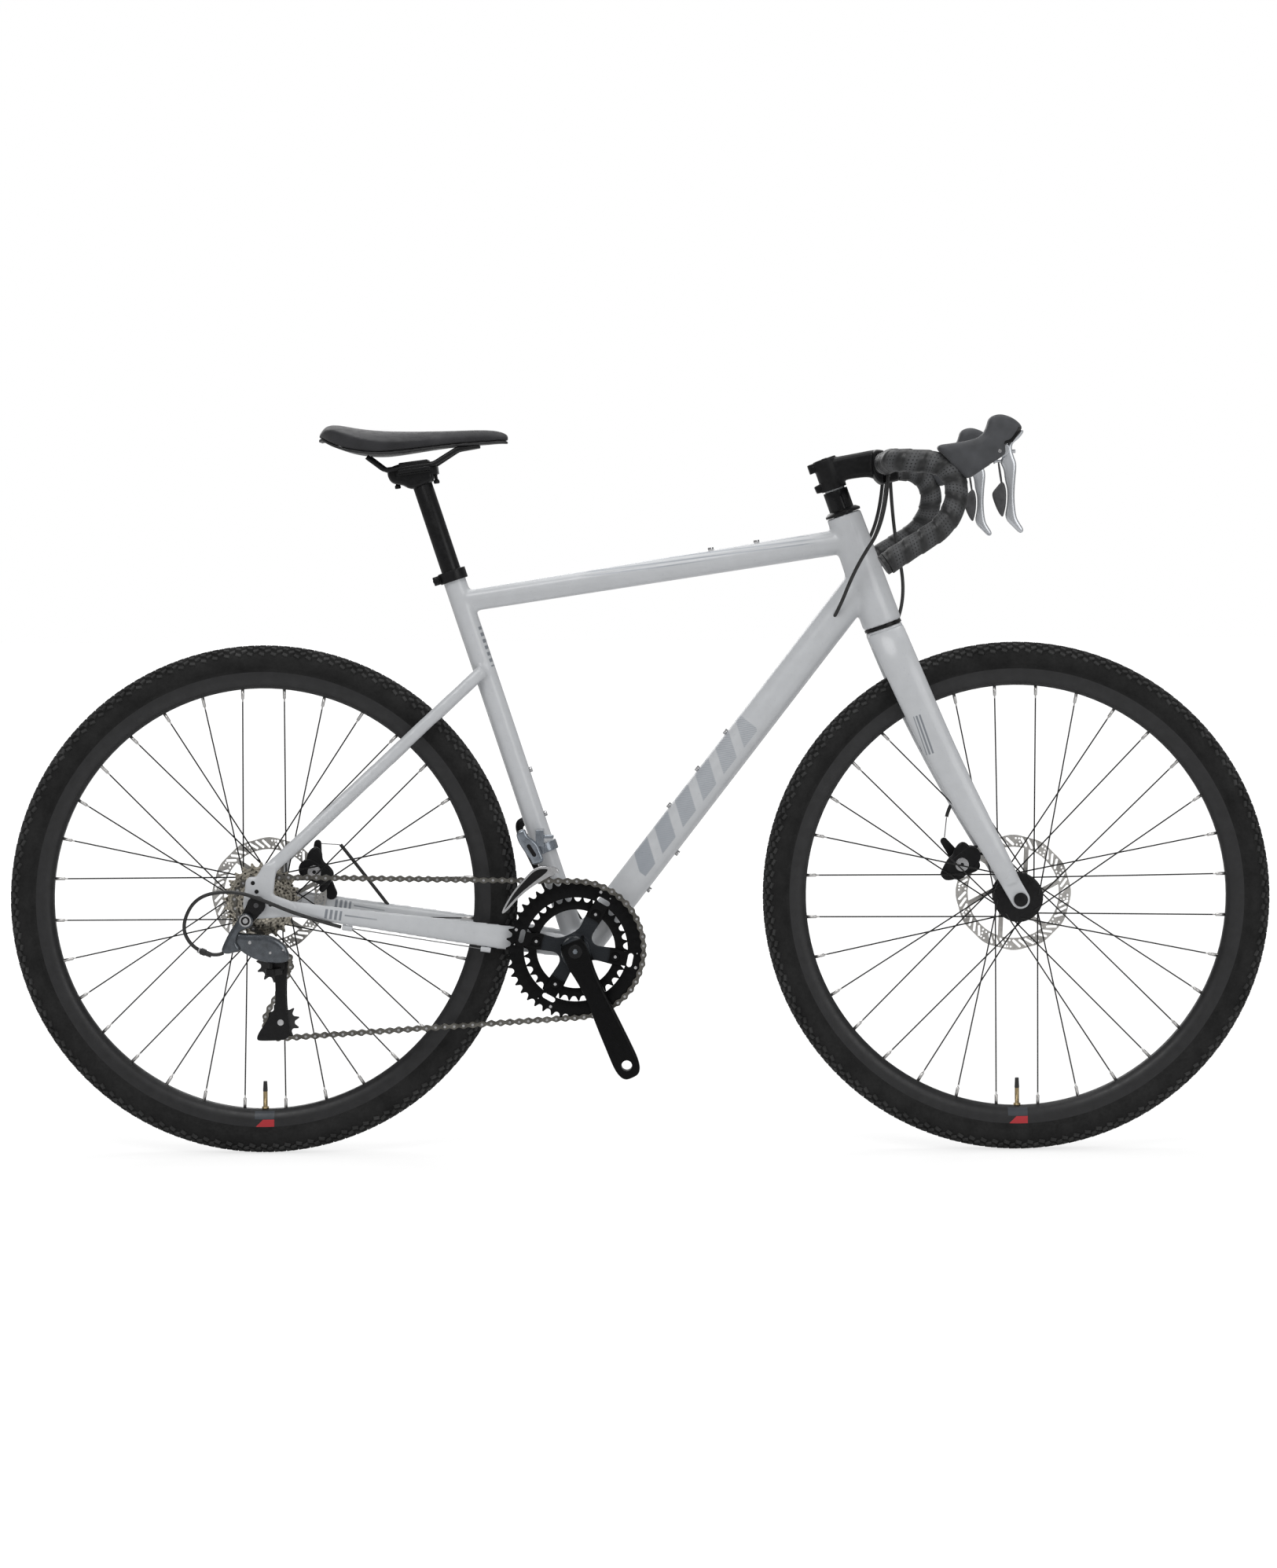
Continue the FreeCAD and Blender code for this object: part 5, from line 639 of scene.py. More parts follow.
def settle(piece, node, material):
    """Gives a piece its material, and the body of the CAD node it goes with."""
    piece.data.materials.clear()
    piece.data.materials.append(material)
    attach(piece, body_of(node))


def dress(piece, node, material):
    """Settles a piece that stands in for its CAD node."""
    settle(piece, node, material)
    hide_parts(node)


def merged_copy(node, keep=None):
    """A CAD mesh as a bmesh with shared corners; keep picks among its separate shells."""
    work = bmesh.new()
    work.from_mesh(NODES[node].data)
    bmesh.ops.remove_doubles(work, verts=work.verts, dist=0.004 * MM)
    if keep is not None:
        doomed = [v for shell in shells(work) if not keep(shell) for v in shell]
        bmesh.ops.delete(work, geom=doomed, context="VERTS")
    return work


def shells(work):
    """The separate pieces of a bmesh, as lists of corners."""
    left = set(work.verts)
    found = []
    while left:
        queue = [left.pop()]
        shell = []
        while queue:
            corner = queue.pop()
            shell.append(corner)
            for edge in corner.link_edges:
                other = edge.other_vert(corner)
                if other in left:
                    left.remove(other)
                    queue.append(other)
        found.append(shell)
    return found


def reach(shell, axis=0):
    """Length of a shell along an axis."""
    values = [corner.co[axis] for corner in shell]
    return max(values) - min(values)


def volume(shell):
    """Signed volume of a shell of triangles: the inner wall of a closed hollow gives a negative one."""
    total = 0.0
    for face in {face for corner in shell for face in corner.link_faces}:
        a, b, c = (corner.co for corner in face.verts)
        total += a.dot(b.cross(c)) / 6
    return total


def thickness(shell):
    """About the radius of a rod-like shell: twice its volume over its area."""
    area = sum(face.calc_area() for face in {face for corner in shell for face in corner.link_faces})
    return 2 * volume(shell) / area


def evaluated(piece):
    """The mesh of a piece with its modifiers applied."""
    graph = bpy.context.evaluated_depsgraph_get()
    return bpy.data.meshes.new_from_object(piece.evaluated_get(graph), depsgraph=graph)


def applied(piece):
    """Turns a piece's modifiers into its plain mesh."""
    mesh = evaluated(piece)
    piece.modifiers.clear()
    piece.data = mesh
    return piece


def meshed(curve):
    """The mesh of a curve, which is then removed."""
    holder = bpy.data.objects.new(curve.name + "_curve", curve)
    bpy.context.scene.collection.objects.link(holder)
    mesh = evaluated(holder)
    bpy.data.objects.remove(holder)
    bpy.data.curves.remove(curve)
    return mesh


def smooth_faces(mesh, angle=None):
    """Smooth shading, with edges sharper than angle kept."""
    for face in mesh.polygons:
        face.use_smooth = True
    if angle is not None:
        mesh.set_sharp_from_angle(angle=math.radians(angle))


def mesh_from(work, name):
    """Turns a bmesh into a mesh."""
    mesh = bpy.data.meshes.new(name)
    work.to_mesh(mesh)
    work.free()
    return mesh


def softened(name, work, grid, rounds):
    """A piece with rounded edges and joints: remeshed on a grid, then relaxed."""
    piece = new_piece(name, mesh_from(work, name))
    remesh = piece.modifiers.new("grid", "REMESH")
    remesh.mode = "VOXEL"
    remesh.voxel_size = grid
    relax = piece.modifiers.new("relax", "SMOOTH")
    relax.factor = 0.5
    relax.iterations = rounds
    applied(piece)
    smooth_faces(piece.data)
    return piece


def crisp(name, node, bevel=0.3 * MM, keep=None, angle=32):
    """A machined piece: a copy of a CAD node with small chamfers that catch the light."""
    piece = new_piece(name, mesh_from(merged_copy(node, keep), name))
    if bevel:
        edge = piece.modifiers.new("chamfer", "BEVEL")
        edge.width = bevel
        edge.segments = 2
        edge.limit_method = "ANGLE"
        edge.angle_limit = math.radians(40)
        edge.use_clamp_overlap = True
        applied(piece)
    smooth_faces(piece.data, angle)
    return piece


def flat_shape(name, outlines, thickness, bevel=0.0, smooth=False):
    """A plate cut from outlines in its own plane: the first is its edge, the others are holes.
    A smooth outline is a closed spline that has its points as control points."""
    curve = bpy.data.curves.new(name, "CURVE")
    curve.dimensions = "2D"
    curve.fill_mode = "BOTH"
    curve.extrude = thickness / 2 - bevel
    curve.bevel_depth = bevel
    curve.bevel_resolution = 1
    curve.offset = -bevel
    for points in outlines:
        spline = curve.splines.new("NURBS" if smooth else "POLY")
        spline.points.add(len(points) - 1)
        for spot, (across, up) in zip(spline.points, points):
            spot.co = (across, up, 0, 1)
        spline.use_cyclic_u = True
        if smooth:
            spline.order_u = 3
    return meshed(curve)


def polar(radius, angle):
    """A point at an angle on a circle about the origin."""
    return (radius * math.cos(angle), radius * math.sin(angle))


def ring_points(radius, count, centre=(0, 0)):
    """Even points on a circle."""
    spots = [polar(radius, TURN * k / count) for k in range(count)]
    return [(centre[0] + across, centre[1] + up) for across, up in spots]


def slot_points(start, end, radius, count=6):
    """The outline of a slot with round ends."""
    lean = math.atan2(end[1] - start[1], end[0] - start[0])
    points = []
    for (across, up), first in ((end, lean - math.pi / 2), (start, lean + math.pi / 2)):
        for k in range(count + 1):
            out = polar(radius, first + math.pi * k / count)
            points.append((across + out[0], up + out[1]))
    return points


UPRIGHT = Matrix.Rotation(math.radians(90), 4, "X")


def stood_up(mesh, centre, turn=0.0):
    """Moves a flat mesh into the wheel plane: its x to X, its y to Z, its thickness along Y."""
    mesh.transform(Matrix.Translation(centre) @ UPRIGHT @ Matrix.Rotation(turn, 4, "Z"))
    return mesh


def joined(name, meshes):
    """One mesh made of several."""
    work = bmesh.new()
    for mesh in meshes:
        work.from_mesh(mesh)
        bpy.data.meshes.remove(mesh)
    return mesh_from(work, name)


def in_metres(points):
    """Flat points in metres, from millimetres."""
    return [(across * MM, up * MM) for across, up in points]


# Thickness of a bulged plate at its edge, as a share of its middle.
EDGE_SHARE = 0.45


def bulged(mesh, swell, grid):
    """A plate on a grid of points, which grows thinner over a distance from its edge."""
    edge = KDTree(len(mesh.vertices))
    for corner in mesh.vertices:
        edge.insert((corner.co.x, corner.co.y, 0), corner.index)
    edge.balance()
    work = bmesh.new()
    work.from_mesh(mesh)
    bpy.data.meshes.remove(mesh)
    plate = softened("plate", work, grid, 0)
    for corner in plate.data.vertices:
        away = min(edge.find((corner.co.x, corner.co.y, 0))[2] / swell, 1.0)
        corner.co.z *= EDGE_SHARE + (1 - EDGE_SHARE) * math.sqrt(away * (2 - away))
    mesh = plate.data
    bpy.data.objects.remove(plate)
    return mesh


def plated(name, parts, grid, rounds, turn=0.0, more=()):
    """A rounded piece made of plates. Each has a side outline in millimetres from a spot, a width along Y,
    and a distance from its edge over which it bulges. Meshes in more are joined to it."""
    work = bmesh.new()
    for outline, spot, width, swell in parts:
        mesh = flat_shape(name, [in_metres(outline)], width * MM, smooth=True)
        if swell:
            mesh = bulged(mesh, swell * MM, grid)
        work.from_mesh(stood_up(mesh, spot, turn))
        bpy.data.meshes.remove(mesh)
    for mesh in more:
        work.from_mesh(mesh)
        bpy.data.meshes.remove(mesh)
    return softened(name, work, grid, rounds)


def plates(name, parts):
    """Thin plates with small chamfers in one piece; each has a smooth outline, a spot and a thickness."""
    meshes = [stood_up(flat_shape(name, [in_metres(outline)], thick * MM, 0.3 * MM, True), spot)
              for outline, spot, thick in parts]
    piece = new_piece(name, joined(name, meshes))
    smooth_faces(piece.data, 30)
    return piece


def outer_face(pieces, spot, away=3 * MM):
    """Where the right-hand face of some pieces lies beside a spot."""
    return min(c.co.y for piece in pieces for c in piece.data.vertices if (c.co - spot).xz.length < away)


def turned_rod(name, base, axis, profile, steps=40):
    """A round mesh about an axis; the profile is (radius, height over the base) pairs in millimetres."""
    mesh = lathe(name, in_metres(profile), Vector(), steps)
    turn = Vector((0, 1, 0)).rotation_difference(axis).to_matrix().to_4x4()
    mesh.transform(Matrix.Translation(base) @ turn)
    return mesh


def turned_piece(name, base, axis, profile, steps=40):
    """A round piece about an axis, with crisp edges."""
    piece = new_piece(name, turned_rod(name, base, axis, profile, steps))
    smooth_faces(piece.data, 30)
    return piece


def disc_mesh(name, spot, radius, width, steps=40):
    """A short cylinder along Y with small chamfers."""
    edge = min(0.3 * MM, width / 4)
    half = width / 2
    profile = [(0.0001, -half), (radius - edge, -half), (radius, edge - half), (radius, half - edge),
               (radius - edge, half), (0.0001, half)]
    mesh = lathe(name, [(r, spot.y + y) for r, y in profile], spot, steps)
    smooth_faces(mesh, 30)
    return mesh


def turned_disc(name, spot, radius, width, steps=40):
    """A short cylinder along Y as a piece; its sizes are in millimetres."""
    return new_piece(name, disc_mesh(name, spot, radius * MM, width * MM, steps))


def cut_out(piece, outline, spot, width):
    """Cuts a slot with a side outline, in millimetres from a spot, out of a piece."""
    tool = new_piece("slot", stood_up(flat_shape("slot", [in_metres(outline)], width), spot))
    cut = piece.modifiers.new("slot", "BOOLEAN")
    cut.object = tool
    cut.operation = "DIFFERENCE"
    applied(piece)
    bpy.data.objects.remove(tool)
    smooth_faces(piece.data, 40)
    return piece


class Growth(NodeTree):
    """A Geometry Nodes tree with named inputs, grown into a plain mesh."""

    KINDS = {float: "NodeSocketFloat", int: "NodeSocketInt", Vector: "NodeSocketVector"}

    def __init__(self, name, **inputs):
        self.tree = bpy.data.node_groups.new(name, "GeometryNodeTree")
        face = self.tree.interface
        face.new_socket("Geometry", in_out="INPUT", socket_type="NodeSocketGeometry")
        self.keys = {}
        for label, value in inputs.items():
            socket = face.new_socket(label, in_out="INPUT", socket_type=self.KINDS[type(value)])
            self.keys[socket.identifier] = value
        face.new_socket("Geometry", in_out="OUTPUT", socket_type="NodeSocketGeometry")
        self.inputs = self.tree.nodes.new("NodeGroupInput").outputs
        self.leave = self.tree.nodes.new("NodeGroupOutput")

    def vector(self, x, y, z):
        """A vector from its parts."""
        return self.add("ShaderNodeCombineXYZ", {0: x, 1: y, 2: z}).outputs[0]

    def grown(self, name, geometry, material, seed=None):
        """Ends the tree, sets its inputs and returns the plain mesh as a new piece."""
        whole = self.add("GeometryNodeRealizeInstances", {0: geometry})
        painted = self.add("GeometryNodeSetMaterial", {0: whole.outputs[0], "Material": material})
        self.feed(self.leave.inputs[0], painted.outputs[0])
        piece = new_piece(name, seed or bpy.data.meshes.new(name))
        growth = piece.modifiers.new("growth", "NODES")
        growth.node_group = self.tree
        for identifier, value in self.keys.items():
            growth[identifier] = value
        applied(piece)
        return piece


def lathe(name, profile, centre, steps):
    """A closed ring turned about an axle along Y; the profile is (radius, y) pairs."""
    work = bmesh.new()
    rows = []
    for k in range(steps):
        angle = TURN * k / steps
        rows.append([work.verts.new((centre.x + r * math.cos(angle), y, centre.z + r * math.sin(angle)))
                     for r, y in profile])
    count = len(profile)
    for k in range(steps):
        here, there = rows[k], rows[(k + 1) % steps]
        for i in range(count):
            j = (i + 1) % count
            work.faces.new((here[i], here[j], there[j], there[i]))
    bmesh.ops.recalc_face_normals(work, faces=work.faces)
    return mesh_from(work, name)


# A solid of the rear triangle that is longer than this is a stay.
STAY_LENGTH = 0.15
# Threaded eyes on the dropout, in millimetres from the rear axle; each shows as a dark disc of painted shade.
DROPOUT_EYES = ((-5.6, 29.3), (-0.5, 17.6), (18.3, 0.0))


class BuildFrame(bpy.types.Operator):
    """Painted frame with smooth welded joints"""

    bl_idname = "bicycle.build_frame"
    bl_label = "Frame"

    def execute(self, context):
        tubes = bmesh.new()
        solid = merged_copy("main_frame")
        for shell in shells(solid):
            corners = [tubes.verts.new(corner.co) for corner in shell]
            made = bmesh.ops.convex_hull(tubes, input=corners)
            spare = made["geom_interior"] + made["geom_unused"]
            loose = {item for item in spare if isinstance(item, bmesh.types.BMVert)}
            bmesh.ops.delete(tubes, geom=list(loose), context="VERTS")
        solid.free()
        long_tubes = merged_copy("rear_triangle", lambda part: reach(part) > STAY_LENGTH and volume(part) > 0)
        stays = mesh_from(long_tubes, "stays")
        tubes.from_mesh(stays)
        bpy.data.meshes.remove(stays)
        shell = softened("painted_frame", tubes, sizes().weld, 9)
        dress(shell, "main_frame", frame_paint())
        ends = merged_copy("rear_triangle", lambda part: reach(part) <= STAY_LENGTH)
        dropouts = softened("painted_dropouts", ends, 0.8 * MM, 4)
        dress(dropouts, "rear_triangle", frame_paint())
        for number, (across, up) in enumerate(DROPOUT_EYES):
            spot = REAR_AXLE + Vector((across, 0, up)) * MM
            spot.y = outer_face((shell, dropouts), spot)
            # A dark disc over each eye is painted shade inside its threaded hole.
            hole_shade_disc = turned_disc("dropout_eye_%d" % number, spot, 2.9, 0.8, 20)
            settle(hole_shade_disc, "rear_triangle", black_alloy(0.3))
        return {"FINISHED"}


class BuildFork(bpy.types.Operator):
    """Painted fork"""

    bl_idname = "bicycle.build_fork"
    bl_label = "Fork"

    def execute(self, context):
        outside = merged_copy("fork", lambda part: volume(part) > 0)
        piece = softened("painted_fork", outside, 1.6 * MM, 8)
        dress(piece, "fork", frame_paint())
        return {"FINISHED"}


# Radii over the knobs and to the middle of the section, half the width, and the half sizes of the hollow.
WHEEL_RADIUS = 0.35
TYRE_CENTRE = 0.3296
TYRE_HALF_WIDTH = 0.0192
HOLLOW = (0.0155, 0.0165)
# One edge of the tyre at the rim as (radius, y), from the casing to the inside.
BEAD = ((0.3150, 0.0128), (0.3128, 0.0122), (0.3128, 0.0105))
# A knob's block, the share that its top keeps of it, the lean from row to row and the twist between rows.
KNOB_SIZE = (0.0098, 0.0048, 0.0046)
KNOB_TAPER = 0.74
KNOB_ROW_LEAN = math.radians(15.5)
KNOB_TWIST = 0.7


def casing_height():
    """Height of the casing's crown over the middle of its section."""
    return WHEEL_RADIUS - TYRE_CENTRE - sizes().knob_height


def arc(high, wide, degrees):
    """Points of an oval about the middle of the tyre's section, at angles from the crown."""
    angles = [math.radians(a) for a in degrees]
    return [(TYRE_CENTRE + high * math.cos(angle), wide * math.sin(angle)) for angle in angles]


def casing_profile():
    """The closed section of a tyre, from bead to bead over the crown and back inside."""
    outer = arc(casing_height(), TYRE_HALF_WIDTH, range(-128, 129, 8))
    inner = arc(*HOLLOW, range(120, -121, -20))
    return outer + list(BEAD) + inner + [(radius, -y) for radius, y in BEAD[::-1]]


def tread_blocks(name, centre):
    """Staggered rows of tapered knobs over the crown and shoulders."""
    inputs = dict(Count=sizes().knob_count, Rows=sizes().knob_rows, Height=sizes().knob_height,
                  Spread=KNOB_ROW_LEAN, Centre=centre)
    grow = Growth("tread", **inputs)
    count, rows, height, spread, hub = (grow.inputs[label] for label in inputs)
    points = grow.add("GeometryNodePoints", {"Count": grow.times(count, rows)}).outputs[0]
    index = grow.add("GeometryNodeInputIndex").outputs[0]
    row = grow.sum("FLOOR", grow.sum("DIVIDE", index, count))
    odd = grow.sum("MODULO", row, 2.0)
    step = grow.minus(index, grow.times(row, count))
    around = grow.times(grow.sum("DIVIDE", grow.plus(step, grow.times(odd, 0.5)), count), TURN)
    lean = grow.times(grow.minus(row, grow.times(grow.minus(rows, 1.0), 0.5)), spread)
    cos_lean = grow.sum("COSINE", lean)
    sin_lean = grow.sum("SINE", lean)
    cos_turn = grow.sum("COSINE", around)
    sin_turn = grow.sum("SINE", around)
    radius = grow.plus(TYRE_CENTRE, grow.times(cos_lean, casing_height()))
    spot = grow.vector(grow.times(radius, cos_turn), grow.times(sin_lean, TYRE_HALF_WIDTH),
                       grow.times(radius, sin_turn))
    seat = grow.add("ShaderNodeVectorMath", {0: spot, 1: hub}, operation="ADD").outputs[0]
    placed = grow.add("GeometryNodeSetPosition", {0: points, "Position": seat}).outputs[0]
    outward = grow.vector(grow.times(cos_lean, cos_turn), sin_lean, grow.times(cos_lean, sin_turn))
    ahead = grow.vector(grow.times(sin_turn, -1.0), 0.0, cos_turn)
    turn = grow.add("FunctionNodeAxesToRotation", {0: outward, 1: ahead},
                    primary_axis="Z", secondary_axis="X")
    twist = grow.vector(0.0, 0.0, grow.times(grow.minus(odd, 0.5), KNOB_TWIST))
    euler = grow.add("FunctionNodeEulerToRotation", {0: twist})
    twisted = grow.add("FunctionNodeRotateRotation", {0: turn.outputs[0]}, rotation_space="LOCAL")
    grow.feed(twisted.inputs[1], euler.outputs[0])
    block = grow.add("GeometryNodeMeshCube", {"Size": KNOB_SIZE}).outputs[0]
    facing = grow.add("GeometryNodeInputNormal").outputs[0]
    top = grow.over(grow.split(facing)[2], 0.5)
    taper = {0: block, "Selection": top, "Scale": KNOB_TAPER}
    tapered = grow.add("GeometryNodeScaleElements", taper).outputs[0]
    lift = grow.vector(0.0, 0.0, grow.minus(height, KNOB_SIZE[2] / 2))
    seated = grow.add("GeometryNodeTransform", {0: tapered, "Translation": lift}).outputs[0]
    knobs = grow.add("GeometryNodeInstanceOnPoints", {
        "Points": placed, "Instance": seated, "Rotation": twisted.outputs[0]}).outputs[0]
    return grow.grown(name, knobs, tyre_rubber("tread"))


class BuildTyres(bpy.types.Operator):
    """Tyres with a block tread"""

    bl_idname = "bicycle.build_tyres"
    bl_label = "Tyres"

    def execute(self, context):
        for end, centre in AXLES.items():
            node = end + "_tyre"
            casing = new_piece(end + "_tyre_casing", lathe(node, casing_profile(), centre, 240))
            smooth_faces(casing.data, 50)
            dress(casing, node, tyre_rubber("casing"))
            settle(tread_blocks(end + "_tyre_tread", centre), node, tyre_rubber("tread"))
        return {"FINISHED"}


# Radii of the brake disc: its edge and the waves on it, its windows, its bolts and the hole in its middle.
DISC_EDGE = 0.0797
DISC_WAVE = 0.0007
WINDOW_OUTER = 0.0635
WINDOW_INNER = 0.0275
DISC_BOLTS = 0.0222
DISC_HOLE = 0.0172
# Round holes in the braking band of the disc: the radius and the angle in degrees of each.
BAND_HOLES = ((0.0667, 20.6), (0.0712, 22.3), (0.0757, 27.0), (0.0668, 25.4), (0.0757, 23.6))
# Slanted slots beside them: where they start and what they span, in degrees, and the radii of their ends.
BAND_SLOTS = (0.0, 7.2, 14.4)
SLOT_SPAN = 6.5
SLOT_ENDS = (0.0672, 0.0758)
# Radii of the round holes, of the slots' ends and of the bolt holes.
BAND_HOLE_SIZE = 0.00145
BAND_SLOT_SIZE = 0.0017
BOLT_HOLE_SIZE = 0.0024


def rotor_outlines():
    """The brake disc: a waved rim, six bent arms, slots and round holes."""
    angles = [TURN * k / 240 for k in range(240)]
    outlines = [[polar(DISC_EDGE + DISC_WAVE * math.cos(12 * angle), angle) for angle in angles]]
    for k in range(6):
        base = TURN * k / 6
        window = [polar(WINDOW_OUTER, base + math.radians(16 + 54 * t / 12)) for t in range(13)]
        window += [polar(WINDOW_INNER, base + math.radians(44 - 44 * t / 8)) for t in range(9)]
        outlines.append(window)
        outlines.append(ring_points(BOLT_HOLE_SIZE, 10, polar(DISC_BOLTS, base)))
    for k in range(12):
        base = TURN * k / 12
        for shift in BAND_SLOTS:
            start = polar(SLOT_ENDS[0], base + math.radians(shift))
            end = polar(SLOT_ENDS[1], base + math.radians(shift + SLOT_SPAN))
            outlines.append(slot_points(start, end, BAND_SLOT_SIZE))
        for radius, shift in BAND_HOLES:
            outlines.append(ring_points(BAND_HOLE_SIZE, 8, polar(radius, base + math.radians(shift))))
    outlines.append(ring_points(DISC_HOLE, 36))
    return outlines


class BuildRotors(bpy.types.Operator):
    """Brake discs"""

    bl_idname = "bicycle.build_rotors"
    bl_label = "Brake discs"

    def execute(self, context):
        for end, centre in AXLES.items():
            node = end + "_rotor"
            disc = flat_shape(node, rotor_outlines(), 1.8 * MM, 0.15 * MM)
            piece = new_piece(end + "_brake_disc", stood_up(disc, beside(centre, middle(node).y)))
            smooth_faces(piece.data, 30)
            dress(piece, node, rotor_steel(centre.x))
        return {"FINISHED"}


class BuildWheels(bpy.types.Operator):
    """Rims, spokes, hubs and valves"""

    bl_idname = "bicycle.build_wheels"
    bl_label = "Wheels"

    def execute(self, context):
        for end, centre in AXLES.items():
            for part, material, slot in (
                    ("rim", rim_paint(centre.x), "rim_black"), ("hub", black_alloy(0.3), "black_alloy"),
                    ("spokes", spoke_wire(centre.x), "spoke_black"), ("valve", valve_metal(), "brass")):
                node = end + "_" + part
                piece = crisp(node + "_dressed", node, bevel=0.25 * MM if part == "hub" else 0, angle=40)
                dress(piece, node, material)
        return {"FINISHED"}


# The steering axis, the foot of the stem on it and the middle of the bar.
STEER = Vector((-0.3289, 0, 0.9444))
STEM_FOOT = PINS["steering"] + STEER * 199.9 * MM
BAR = Vector((339.61, 0, 946.27)) * MM
# Side outlines of the stem and its faceplate, in millimetres from the bar. A doubled point makes a corner.
NECK_OUTLINE = ((-80, 6), (-68, 9.8), (-44.5, 13.9), (-14.9, 19.6), (-8, 19.4), (-8, -22), (-14.3, -20.2),
                (-22, -17.2), (-48, -20.5), (-55.3, -23.2), (-55.5, -31), (-70, -30), (-80, -12))
JAW_OUTLINE = ((-18.4, 0), (-17.8, 10), (-15, 19.6), (-8, 19.8), (-0.8, 18.4), (-0.8, 18.4), (-0.8, -28.6),
               (-0.8, -28.6), (-6, -28.6), (-14.5, -20.4), (-17.8, -10))
UPPER_EAR = ((-106, -2), (-106, -2), (-86, 4.8), (-82, -6), (-101.8, -14.5), (-101.8, -14.5))
LOWER_EAR = ((-96.6, -31.5), (-96.6, -31.5), (-84, -25), (-78, -37.5), (-92.4, -40.7), (-92.4, -40.7))
FACE_OUTLINE = ((0.4, 18.4), (0.4, 18.4), (9, 18.4), (16.5, 13.5), (20.2, 4), (20, -10), (20.6, -23),
                (20.6, -23), (0.4, -27.6), (0.4, -27.6))
CLAMP_WIDTH = 44
STEM_HEIGHT = 40.5


class BuildCockpit(bpy.types.Operator):
    """Stem, spacers and handlebar"""

    bl_idname = "bicycle.build_cockpit"
    bl_label = "Cockpit"

    def execute(self, context):
        for node in ("right_lever_base", "left_lever_base"):
            piece = softened(node + "_formed", merged_copy(node), 0.5 * MM, 4)
            dress(piece, node, lever_alloy())
        spacers = crisp("headset_spacers_dressed", "headset_spacers", 1.1 * MM,
                        lambda part: part[0].co.z < STEM_FOOT.z)
        dress(spacers, "headset_spacers", black_alloy(0.16))
        bar = crisp("handlebar_dressed", "handlebar", 0.6 * MM)
        dress(bar, "handlebar", black_alloy(0.36))
        self.stem()
        self.stem_bolts()
        self.headset_covers()
        return {"FINISHED"}

    def stem(self):
        """Stem with a collar and two ears around the steerer, and its faceplate."""
        collar_profile = ((0.1, -1.6), (17.6, -1.6), (17.6, STEM_HEIGHT), (0.1, STEM_HEIGHT))
        collar = turned_rod("collar", STEM_FOOT, STEER, collar_profile)
        parts = ((NECK_OUTLINE, BAR, 31, 7), (JAW_OUTLINE, BAR, CLAMP_WIDTH, 3), (UPPER_EAR, BAR, 21, 0),
                 (LOWER_EAR, BAR, 21, 0))
        body = plated("stem_formed", parts, 0.9 * MM, 5, more=(collar,))
        face = plated("stem_faceplate_formed", ((FACE_OUTLINE, BAR, CLAMP_WIDTH, 3),), 0.8 * MM, 3)
        for node, piece in (("stem", body), ("stem_faceplate", face)):
            cut_out(piece, ring_points(16.05, 48), BAR, 60 * MM)
            dress(piece, node, black_alloy(0.36))

    def stem_bolts(self):
        """Heads of four faceplate bolts, two pinch bolts and the bolt on top, by base, axis and size."""
        heads = [(BAR + Vector((17, side * 15, up)) * MM, Vector((1, 0, 0)), 2.6, 4)
                 for side in (-1, 1) for up in (4, -20)]
        heads += [(BAR + Vector((across, -9.5, up)) * MM, Vector((0, -1, 0)), 3.4, 1.6)
                  for across, up in ((-98, -7), (-90, -34))]
        heads.append((STEM_FOOT, STEER, 4, STEM_HEIGHT + 2.9))
        meshes = []
        for base, axis, wide, high in heads:
            profile = ((0.1, 0), (wide, 0), (wide, high - 0.4), (wide - 0.4, high), (0.1, high))
            meshes.append(turned_rod("head", base, axis, profile, 24))
        bolts = new_piece("stem_bolts_dressed", joined("stem_bolts", meshes))
        smooth_faces(bolts.data, 30)
        dress(bolts, "stem_bolts", black_alloy(0.16))

    def headset_covers(self):
        """Cap on the steerer, and the flared cover that overhangs the head tube."""
        cap_profile = ((0.1, 40), (16.4, 40), (16.4, 42), (15.4, 42.7), (0.1, 42.7))
        cap = turned_piece("steerer_cap", STEM_FOOT, STEER, cap_profile)
        settle(cap, "headset_spacers", black_alloy(0.3))
        heights = [(corner.co - STEM_FOOT).dot(STEER) for corner in NODES["headset_spacers"].data.vertices]
        base = STEM_FOOT + STEER * min(heights)
        profile = ((17.3, 0.2), (24, 0.2), (24.9, 1.0), (24.9, 3.6), (23.6, 4.6), (19.6, 7.2), (17.3, 7.6))
        cover = turned_piece("headset_cover", base, STEER, profile, 64)
        settle(cover, "headset_spacers", black_alloy(0.26))


# Side outlines of a lever, in millimetres from the pin of its brake blade.
HOOD_OUTLINE = ((-86, 8), (-60, 11), (-36, 15), (-22, 21), (-16, 32), (-13, 45), (0, 49.5), (14, 46),
                (25, 39), (31, 31), (27, 25), (17, 10), (7, 9), (9.5, -2), (4, -8), (-8, -15), (-25, -26),
                (-42, -38), (-53, -27), (-70, -8))
HOOD_SLOT = ((-13, -45), (45, -45), (45, 29), (25, 29), (14, 19), (-13, 12))
HOOD_INSERT = ((5, 17), (22, 32.5), (28.5, 30.5), (27.5, 26), (17, 11.5), (6.5, 9))
BLADE_OUTLINE = ((34, 27), (27, 17), (17.5, 10), (17, 2), (20, -8), (23.5, -17), (21, -40), (19.8, -62),
                 (22, -86), (27, -95), (33, -104), (28, -109), (20, -101), (7, -88), (11, -70), (11.5, -50),
                 (8, -38), (7, -24), (1, -13.5), (7, -5), (8, 4), (15, 14), (28, 29))
PADDLE_OUTLINE = ((6.5, -40), (1.5, -41.5), (-1.5, -45.5), (-8.2, -53), (-9, -58.5), (-6.3, -67),
                  (-2.6, -76.5), (2, -84.5), (5, -87), (7, -80), (9.2, -70), (9.8, -52))
